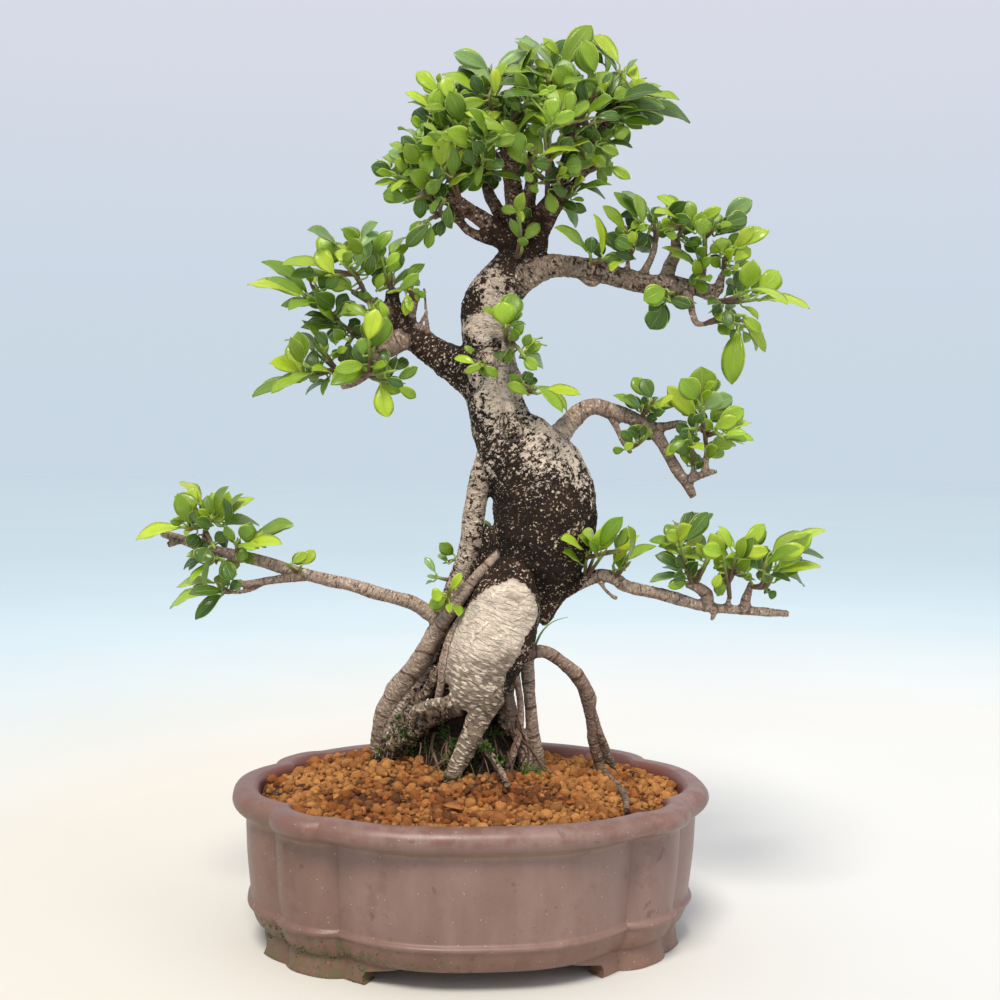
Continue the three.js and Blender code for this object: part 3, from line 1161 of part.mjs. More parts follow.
// The point of a spray's stems that is nearest to a place in the elevation, and which stem it is on.
function nearestOnStems(stems, x, z) {
  let best = null;
  let shortest = Infinity;
  for (const [index, stem] of stems.entries()) {
    for (let i = 0; i + 1 < stem.length; i += 1) {
      const [ax, az, ad] = stem[i];
      const [bx, bz, bd] = stem[i + 1];
      const dx = bx - ax;
      const dz = bz - az;
      const length = dx * dx + dz * dz;
      const raw = length > 0 ? ((x - ax) * dx + (z - az) * dz) / length : 0;
      const t = Math.min(1, Math.max(0, raw));
      const gap = (ax + t * dx - x) ** 2 + (az + t * dz - z) ** 2;
      if (gap < shortest) {
        shortest = gap;
        best = { point: [ax + t * dx, az + t * dz, ad + t * (bd - ad)], index };
      }
    }
  }
  return best;
}

// A leaf in space: where its stalk starts, its blade's base, axis, length, width and facing.
function leafFrame(stems, [baseX, baseZ, tipX, tipZ, seenWidth], baseShift, tipShift) {
  const { point: foot, index: stem } = nearestOnStems(stems, baseX, baseZ);
  const start = seen(...foot);
  const tip = seen(tipX, tipZ, foot[2] + baseShift + tipShift);
  const stalk = seen(baseX, baseZ, foot[2] + baseShift).sub(start);
  const short = STALK_LENGTH - stalk.length();
  if (short > 0) stalk.addScaledVector(tip.clone().sub(start).normalize(), short).setLength(STALK_LENGTH);
  const base = start.clone().add(stalk);
  const axis = tip.clone().sub(base);
  const length = axis.length();
  axis.normalize();
  const width = Math.max(seenWidth, BLADE_WIDTH * length);
  const front = new THREE.Vector3(0, -1, 0);
  front.addScaledVector(axis, -front.dot(axis)).normalize();
  const aside = axis.clone().cross(front);
  if (aside.z < 0) aside.negate();
  const tilt = Math.acos(seenWidth / width);
  const facing = front.multiplyScalar(Math.cos(tilt)).addScaledVector(aside, Math.sin(tilt));
  return { stem, start, base, axis, length, width, facing, side: facing.clone().cross(axis) };
}

// Half the width of a blade along its length: widest before the middle, drawn out to the tip.
function halfWidth(leaf, share) {
  return (leaf.width / 2) * Math.sin(Math.PI * share ** 0.86) ** 0.8;
}

// A point of a blade: share of the length, and how far out to the side, from -1 to 1.
function bladePoint(leaf, share, out) {
  const reach = halfWidth(leaf, share) * out;
  const lift = BLADE_ARCH * leaf.length * 4 * share * (1 - share) + BLADE_FOLD * Math.abs(reach);
  const point = leaf.base.clone();
  point.addScaledVector(leaf.axis, leaf.length * share);
  point.addScaledVector(leaf.side, reach);
  point.addScaledVector(leaf.facing, lift);
  return point;
}

const PROBE_SHARES = [0.12, 0.34, 0.56, 0.78, 0.96];
const PROBE_SIDES = [-0.85, -0.3, 0.3, 0.85];

function probes(leaf) {
  return PROBE_SHARES.flatMap((share) => PROBE_SIDES.map((out) => bladePoint(leaf, share, out)));
}

// How much room a blade has to what is already there; under 0 it is too near.
function roomAround(points, taken) {
  let room = Infinity;
  for (const { point, keep } of taken) {
    for (const probe of points) {
      room = Math.min(room, probe.distanceTo(point) - keep);
    }
  }
  return room;
}

// A leaf swings to and fro in depth until it is clear of those placed before it.
function placeLeaf(stems, row, taken, back = 0) {
  const [baseX, baseZ, tipX, tipZ] = row;
  const draw = drawsFrom(SEED + Math.round(10 * Math.abs(7 * baseX + 13 * baseZ + 29 * tipX + 31 * tipZ)));
  draw();
  const baseShift = 5 * draw() - 3.5 + back / 2;
  const firstSwing = SWING * (2 * draw() - 1);
  let best = null;
  for (const swing of SWINGS) {
    const leaf = leafFrame(stems, row, baseShift, firstSwing + swing * SWING + back);
    const points = probes(leaf);
    const near = taken.filter(({ point }) => point.distanceTo(leaf.base) < leaf.length + 45);
    const room = roomAround(points, near);
    if (best === null || room > best.room) best = { leaf, room, points };
    if (room > 0) break;
  }
  for (const point of best.points) taken.push({ point, keep: LEAF_CLEARANCE });
  return best.leaf;
}

// Points along the middle of the wood, with the distance to keep from each.
function woodProbes() {
  return Object.values(LIMBS).flatMap((limb) => {
    const stations = limbStations(limb);
    return stations.slice(1).flatMap((to, i) => {
      const from = stations[i];
      const count = Math.ceil(from.centre.distanceTo(to.centre) / PROBE_STEP);
      return Array.from({ length: count + 1 }, (_, j) => ({
        point: from.centre.clone().lerp(to.centre, j / count),
        keep: THREE.MathUtils.lerp(from.radius, to.radius, j / count) + WOOD_CLEARANCE,
      }));
    });
  });
}

// All leaves of all sprays: first those that face the eye, then every third one once more behind.
function placeSprays() {
  const taken = woodProbes();
  const sprays = Object.entries(SPRAYS).map(([name, { stems, leaves }]) => ({
    name,
    stems,
    leaves: leaves.map((row) => placeLeaf(stems, row, taken)),
  }));
  for (const spray of sprays.filter(({ name }) => !name.startsWith('crown'))) {
    const rows = SPRAYS[spray.name].leaves.filter((_, i) => i % BACK_EVERY === 2);
    spray.leaves.push(...rows.map((row) => placeLeaf(spray.stems, row, taken, BACK_DEPTH)));
  }
  return sprays;
}

// The rings of a leaf from the foot of its blade on: two edges and a keel below, then the tip.
function leafRings(leaf, extra) {
  const ring = (centre, half, keel) => [
    centre.clone().addScaledVector(leaf.side, half + extra).addScaledVector(leaf.facing, extra),
    centre.clone().addScaledVector(leaf.side, -half - extra).addScaledVector(leaf.facing, extra),
    centre.clone().addScaledVector(leaf.facing, -keel - extra),
  ];
  const keels = leaf.length < SMALL_BLADE ? SMALL_KEEL : KEEL;
  return [
    ring(leaf.base, STALK_RADIUS, STALK_RADIUS),
    ...keels.map(([share, keel]) => ring(bladePoint(leaf, share, 0), halfWidth(leaf, share), keel)),
    [bladePoint(leaf, 1, 0).addScaledVector(leaf.axis, extra)],
  ];
}

// A polyline's length, and the place at a distance along it.
function measured(points) {
  const marks = [0];
  for (let i = 1; i < points.length; i += 1) {
    marks.push(marks[i - 1] + points[i].distanceTo(points[i - 1]));
  }
  const total = marks[marks.length - 1];
  const place = (distance) => {
    let i = 1;
    while (i + 1 < points.length && marks[i] < distance) i += 1;
    const share = (distance - marks[i - 1]) / (marks[i] - marks[i - 1]);
    return points[i - 1].clone().lerp(points[i], share);
  };
  const nearest = (point) => {
    const steps = Array.from({ length: 41 }, (_, i) => (total * i) / 40);
    return steps.reduce((a, b) => (place(b).distanceTo(point) < place(a).distanceTo(point) ? b : a));
  };
  return { marks, total, place, nearest };
}

// How far along a stem it comes out of the wood it springs from.
function outOfWood(line, wood) {
  const steps = Array.from({ length: 30 }, (_, i) => (line.total * i) / 50);
  const free = steps.filter((distance) => {
    const point = line.place(distance);
    return wood.every((probe) => probe.point.distanceTo(point) > probe.keep - 0.5);
  });
  return free.length > 0 ? free[0] : steps[steps.length - 1];
}

// Short joints along a stem, from its tip down, where up to three leaves stand at once.
function jointsAlong(line, leaves, clear) {
  const along = leaves.map((leaf) => ({ leaf, distance: Math.max(clear + 1, line.nearest(leaf.start)) }));
  along.sort((a, b) => b.distance - a.distance);
  const joints = [];
  let free = line.total;
  for (const { leaf, distance } of along) {
    const last = joints[joints.length - 1];
    if (last && last.leaves.length < SIDES.length && distance > last.from - JOINT_REACH) {
      last.leaves.push(leaf);
    } else {
      const to = Math.min(free - JOINT_SPACE, distance + JOINT_LENGTH / 2);
      joints.push({ from: to - JOINT_LENGTH, to, leaves: [leaf] });
      free = to - JOINT_LENGTH;
    }
  }
  joints.reverse();
  const overhang = joints.length > 0 ? Math.max(0, clear - joints[0].from) : 0;
  let floor = 0;
  for (const joint of joints) {
    const lift = Math.max(0, Math.min(overhang, clear + floor - joint.from));
    joint.from += lift;
    joint.to += lift;
    floor = joint.to + JOINT_SPACE - clear;
  }
  return joints;
}

// A stem's points, with one more in the middle of the limb if it doesn't start inside it.
function rooted(points, wood) {
  const outside = (probe) => probe.point.distanceTo(points[0]) - probe.keep + WOOD_CLEARANCE;
  const nearest = wood.reduce((a, b) => (outside(b) < outside(a) ? b : a));
  return outside(nearest) > -1 ? [nearest.point.clone(), ...points] : points;
}

// A stem with its leaves as one skin: each stalk grows out of a facet of a joint, or out of the end.
function shootSolid(stem, leaves, wood, extra, first) {
  const points = stem.map((point) => seen(...point));
  const line = measured(first ? rooted(points, wood) : points);
  const joints = jointsAlong(line, leaves, outOfWood(line, wood));
  const inJoint = (distance) => joints.some(({ from, to }) => distance > from - 1 && distance < to + 1);
  const end = Math.max(line.total, ...joints.map(({ to }) => to + JOINT_SPACE));
  const bends = [...line.marks.slice(0, -1).filter((mark) => mark === 0 || !inJoint(mark)), end];
  const distances = [...bends, ...joints.flatMap(({ from, to }) => [from, to])].sort((a, b) => a - b);
  const vertices = [];
  const faces = [];
  const addRing = (ring) => ring.map((point) => vertices.push(point) - 1);
  let across = new THREE.Vector3(0, -1, 0);
  const stations = distances.map((distance) => {
    const behind = line.place(Math.max(0, distance - 1));
    const heading = line.place(distance + 1).sub(behind).normalize();
    across = across.clone().addScaledVector(heading, -across.dot(heading)).normalize();
    const up = heading.clone().cross(across);
    const radius = THREE.MathUtils.lerp(STEM_RADIUS, STEM_TIP_RADIUS, distance / line.total) + extra;
    const centre = line.place(distance);
    const out = (turns) => across.clone().multiplyScalar(Math.cos(2 * Math.PI * turns))
      .addScaledVector(up, Math.sin(2 * Math.PI * turns));
    const corner = (side) => centre.clone().addScaledVector(out(side / SIDES.length), radius);
    const ring = addRing(SIDES.map(corner));
    const normals = SIDES.map((side) => out((side + 0.5) / SIDES.length));
    return { distance, centre, heading, ring, normals };
  });
  const skin = (low, high) => {
    const gap = (i, j) => vertices[low[i]].distanceTo(vertices[high[j % high.length]]);
    const share = high.length / low.length;
    const spread = (j) => low.reduce((sum, _, i) => sum + gap(i, j + Math.round(i * share)), 0);
    let first = 0;
    for (let j = 1; j < high.length; j += 1) if (spread(j) < spread(first)) first = j;
    const stop = high.length > 1 ? high.length : 0;
    let i = 0;
    let j = 0;
    while (i < low.length || j < stop) {
      const here = [low[i % low.length], high[(first + j) % high.length]];
      if (j === stop || (i + 0.5) / low.length < (j + 0.5) / high.length) {
        i += 1;
        faces.push(here[0], low[i % low.length], here[1]);
      } else {
        j += 1;
        faces.push(here[0], high[(first + j) % high.length], here[1]);
      }
    }
  };
  const grow = (leaf, foot) => {
    let low = foot;
    for (const points3 of leafRings(leaf, extra)) {
      const high = addRing(points3);
      skin(low, high);
      low = high;
    }
  };
  const last = stations[stations.length - 1];
  const away = (leaf, centre) => leaf.base.clone().sub(centre).normalize();
  const tipLeaves = joints.length > 0 ? joints[joints.length - 1].leaves : [];
  const endLeaf = tipLeaves
    .filter((leaf) => away(leaf, last.centre).dot(last.heading) > 0.55)
    .sort((a, b) => away(b, last.centre).dot(last.heading) - away(a, last.centre).dot(last.heading))[0];
  for (let i = 0; i + 1 < stations.length; i += 1) {
    const [low, high] = [stations[i], stations[i + 1]];
    const joint = joints.find(({ from }) => from === low.distance);
    const sideLeaves = joint ? joint.leaves.filter((leaf) => leaf !== endLeaf) : [];
    const taken = new Map();
    for (const leaf of sideLeaves) {
      const sides = SIDES.filter((side) => !taken.has(side));
      const fit = (side) => away(leaf, low.centre).dot(low.normals[side]);
      taken.set(sides.reduce((a, b) => (fit(b) > fit(a) ? b : a)), leaf);
    }
    for (const side of SIDES) {
      const next = (side + 1) % SIDES.length;
      const facet = [low.ring[side], low.ring[next], high.ring[next], high.ring[side]];
      if (taken.has(side)) {
        grow(taken.get(side), facet);
      } else {
        faces.push(facet[0], facet[1], facet[2], facet[0], facet[2], facet[3]);
      }
    }
  }
  const [a, b, c] = stations[0].ring;
  faces.push(a, c, b);
  if (endLeaf) {
    grow(endLeaf, last.ring);
  } else {
    faces.push(...last.ring);
  }
  return solidFrom(vertices.map(turned), faces);
}

function spraySolid(spray, wood, extra) {
  return joined(spray.stems.map((stem, i) => {
    const leaves = spray.leaves.filter((leaf) => leaf.stem === i);
    return shootSolid(stem, leaves, wood, extra, i === 0);
  }));
}

function touching(one, other) {
  const a = one.boundingBox();
  const b = other.boundingBox();
  return [0, 1, 2].every((i) => a.min[i] < b.max[i] && b.min[i] < a.max[i]);
}

// The tree's leafy shoots, each cut clear of the wood and of the shoots before it.
function makeSprays(wideWood) {
  const wood = woodProbes();
  const done = [];
  return placeSprays().map((spray) => {
    let solid = spraySolid(spray, wood, 0).subtract(wideWood);
    for (const other of done.filter((one) => touching(one, solid))) {
      if (solid.intersect(other).volume() > 0) solid = solid.subtract(other);
    }
    solid = largestBody(toSolid(toGeometry(largestBody(solid).simplify(CLEAN_TOLERANCE))));
    done.push(spraySolid(spray, wood, FIT_GAP), solid);
    return [spray.name, solid];
  });
}

// Materials

function finish(color, roughness) {
  return new THREE.MeshStandardMaterial({ color, roughness, metalness: 0 });
}

const STONEWARE = finish(0x7d5f57, 0.55);
const GRANULES = finish(0xb9793c, 0.95);
const BARK = finish(0x9c8b7a, 0.85);
const FOLIAGE = finish(0x5f8f1f, 0.4);
const SCREEN = finish(0x2a2a2a, 0.6);

const bonsai = new THREE.Group();

function add(name, solid, material) {
  const mesh = new THREE.Mesh(toGeometry(solid), material);
  mesh.name = name;
  bonsai.add(mesh);
}

const wood = makeWood(0);
const wideWood = makeWood(FIT_GAP);
add('pot', makePot(), STONEWARE);
add('drain_screen_left', makeScreen(-DRAIN_X), SCREEN);
add('drain_screen_right', makeScreen(DRAIN_X), SCREEN);
add('soil', makeSoil(wideWood), GRANULES);
add('tree', wood, BARK);
makeSprays(wideWood).forEach(([name, solid]) => add(name, solid, FOLIAGE));

// The whole is moved so that the origin lies under the middle of its box.
const middle = new THREE.Box3().setFromObject(bonsai).getCenter(new THREE.Vector3());
bonsai.position.set(-middle.x, -middle.y, 0);

export default bonsai;
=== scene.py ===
"""A ficus bonsai on raised roots, planted in an unglazed lobed oval pot.

Shapes are worked out in millimetres, and MM turns them into metres when a piece is made.
The tree is given as it looks in a front elevation through the pot's middle, taken from the eye.
"""

import math

import bmesh
import bpy
import numpy as np
from mathutils import Matrix, Vector, noise
from mathutils.bvhtree import BVHTree


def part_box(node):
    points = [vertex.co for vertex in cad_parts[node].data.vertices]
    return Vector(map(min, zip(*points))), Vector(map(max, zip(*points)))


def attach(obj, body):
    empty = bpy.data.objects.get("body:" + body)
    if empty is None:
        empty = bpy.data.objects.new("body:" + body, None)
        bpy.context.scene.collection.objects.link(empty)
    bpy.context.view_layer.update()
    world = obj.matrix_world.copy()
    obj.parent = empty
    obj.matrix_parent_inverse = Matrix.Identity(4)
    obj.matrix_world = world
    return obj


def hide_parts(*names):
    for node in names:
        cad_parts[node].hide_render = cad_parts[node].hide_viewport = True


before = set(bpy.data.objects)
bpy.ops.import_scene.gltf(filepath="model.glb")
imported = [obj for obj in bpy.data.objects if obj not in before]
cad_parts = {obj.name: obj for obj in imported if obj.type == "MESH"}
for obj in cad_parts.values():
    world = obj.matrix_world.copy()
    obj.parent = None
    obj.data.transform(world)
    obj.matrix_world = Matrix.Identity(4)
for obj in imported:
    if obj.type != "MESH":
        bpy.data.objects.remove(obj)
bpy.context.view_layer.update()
MM = 0.001
SEED = 20417
DRAW_FACTOR = 16807
DRAW_LIMIT = 2147483647

# The pot's middle in the frame, the eye, the pot's turn in the view from there, and how far the tree
# stands behind the elevation.
POT_LOW, POT_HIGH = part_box("pot")
POT_MIDDLE = np.array([(POT_LOW.x + POT_HIGH.x) / 2, (POT_LOW.y + POT_HIGH.y) / 2, 0]) / MM
EYE = np.array([17.0, -1127.0, 396.0])
POT_TURN = math.radians(7)
TREE_BACK = 25

# The camera, as it stands in that view: its place, lean, tilt and lens.
CAMERA_PLACE = (17.2, -1126.9, 396.3)
CAMERA_PITCH = math.radians(3.3)
CAMERA_ROLL = math.radians(1.0)
CAMERA_LENS = 54

# Pot: half sizes of the outline, and for each level its height, how far it lies inside those
# half sizes along x and y, and how far the creases between the lobes are softened.
POT_HALF_X = (POT_HIGH.x - POT_LOW.x) / 2 / MM
POT_HALF_Y = (POT_HIGH.y - POT_LOW.y) / 2 / MM
POT_LEVELS = [
    (14.5, 26, 22, 0.0), (15.5, 22.5, 19.5, 0.0), (20, 18.5, 16, 0.0), (25.5, 16, 13.6, 0.0),
    (30.5, 14.4, 12.2, 0.0), (31.6, 12.6, 10.6, 0.0), (33, 11.7, 9.7, 0.0), (34.6, 11.9, 9.9, 0.0),
    (36, 13.6, 11.6, 0.0), (38, 14.5, 12.5, 0.0), (52, 12.9, 11.6, 0.0), (70, 11.2, 10.6, 0.0),
    (88, 10.4, 10.2, 0.0), (96.5, 10.2, 10.1, 0.0), (98.6, 8.8, 8.4, 0.1), (100.4, 6.4, 5.8, 0.3),
    (103, 3.2, 2.6, 0.7), (106, 1.0, 0.8, 0.95), (109.5, 0.0, 0.0, 1.0), (113, 0.8, 0.8, 1.0),
    (116, 3.2, 3.2, 1.0), (117.6, 6.8, 6.8, 1.0), (118, 11, 11, 1.0), (117.6, 15.4, 15.8, 1.0),
    (116, 18.4, 19.4, 1.0), (112, 20.4, 21.6, 0.9), (100, 22.4, 23.8, 0.6), (62, 24.6, 25.4, 0.6),
    (30, 27, 27, 0.6), (26, 28.4, 28.4, 0.6), (24, 32, 32, 0.6),
]
# Creases of the front and end lobes as shares of the half sizes, sharp and softened.
FRONT_CREASE = ((0.612, 0.705), (0.656, 0.764))
END_CREASE = ((0.867, 0.455), (0.839, 0.472))
# How far corners bulge, how full every lobe is, its sides, the steps from level to level, the levels past
# the lip's top where the inside begins, and the angle over which an edge stays sharp.
CORNER_BULGE = 0.055
LOBE_FULLNESS = 2.8
LOBE_SIDES = {"front": 44, "corner": 22, "end": 32}
LEVEL_STEPS = 3
INSIDE_AFTER = 4
SHARP_DEGREES = 40
# Heights where the groove under the lip and the one at the waist begin, are full, and end.
LIP_GROOVE = (90, 98, 100, 105)
WAIST_GROOVE = (27, 31, 33, 36)

# Feet: height, half sizes of the outline, and where the foot ends along the front and the end.
FOOT_LEVELS = [
    (0, 160, 124, 83.5, 33.5), (1.2, 160, 124, 85, 35), (5, 158.6, 123.4, 85, 35),
    (8.6, 157.6, 123, 83, 33), (10.4, 157, 122.6, 76, 29), (12, 156.5, 122.4, 69, 25),
    (13.6, 156, 122.2, 62, 20), (16.5, 155.5, 122, 56, 16),
]
FOOT_THICKNESS = 15
DRAIN_RADIUS = 12
DRAIN_X = 72
DRAIN_HEIGHTS = (5, 20, 32)
DRAIN_SIDES = 32

# Soil: how far the granules' outline lies inside the pot's, then in metres the lowest surface that they
# lie on and a height over all of the soil.
GRAIN_EDGE = 24.0
GRAIN_LOWEST = 0.09
OVER_ALL = 0.3

# Leaves: proportions, and how far they keep clear of each other and of the wood.
BLADE_WIDTH = 0.42
BLADE_ARCH = 0.09
BLADE_FOLD = 0.18
STALK_LENGTH = 4.5
LEAF_CLEARANCE = 3.2
WOOD_CLEARANCE = 1.5
# Where wood and blades are probed, the swings in depth that a leaf tries, every how many leaves one has
# another behind it and how far back, and the number and reach of the points taken.
PROBE_STEP = 5
PROBE_SHARES = np.array([0.12, 0.34, 0.56, 0.78, 0.96])
PROBE_SIDES = np.array([-0.85, -0.3, 0.3, 0.85])
SWING = 7
SWINGS = (0, 1, -1, 2, -2, 3, -3)
BACK_EVERY = 6
BACK_DEPTH = 16
CROWD_SIZE = 90000
CROWD_REACH = 45

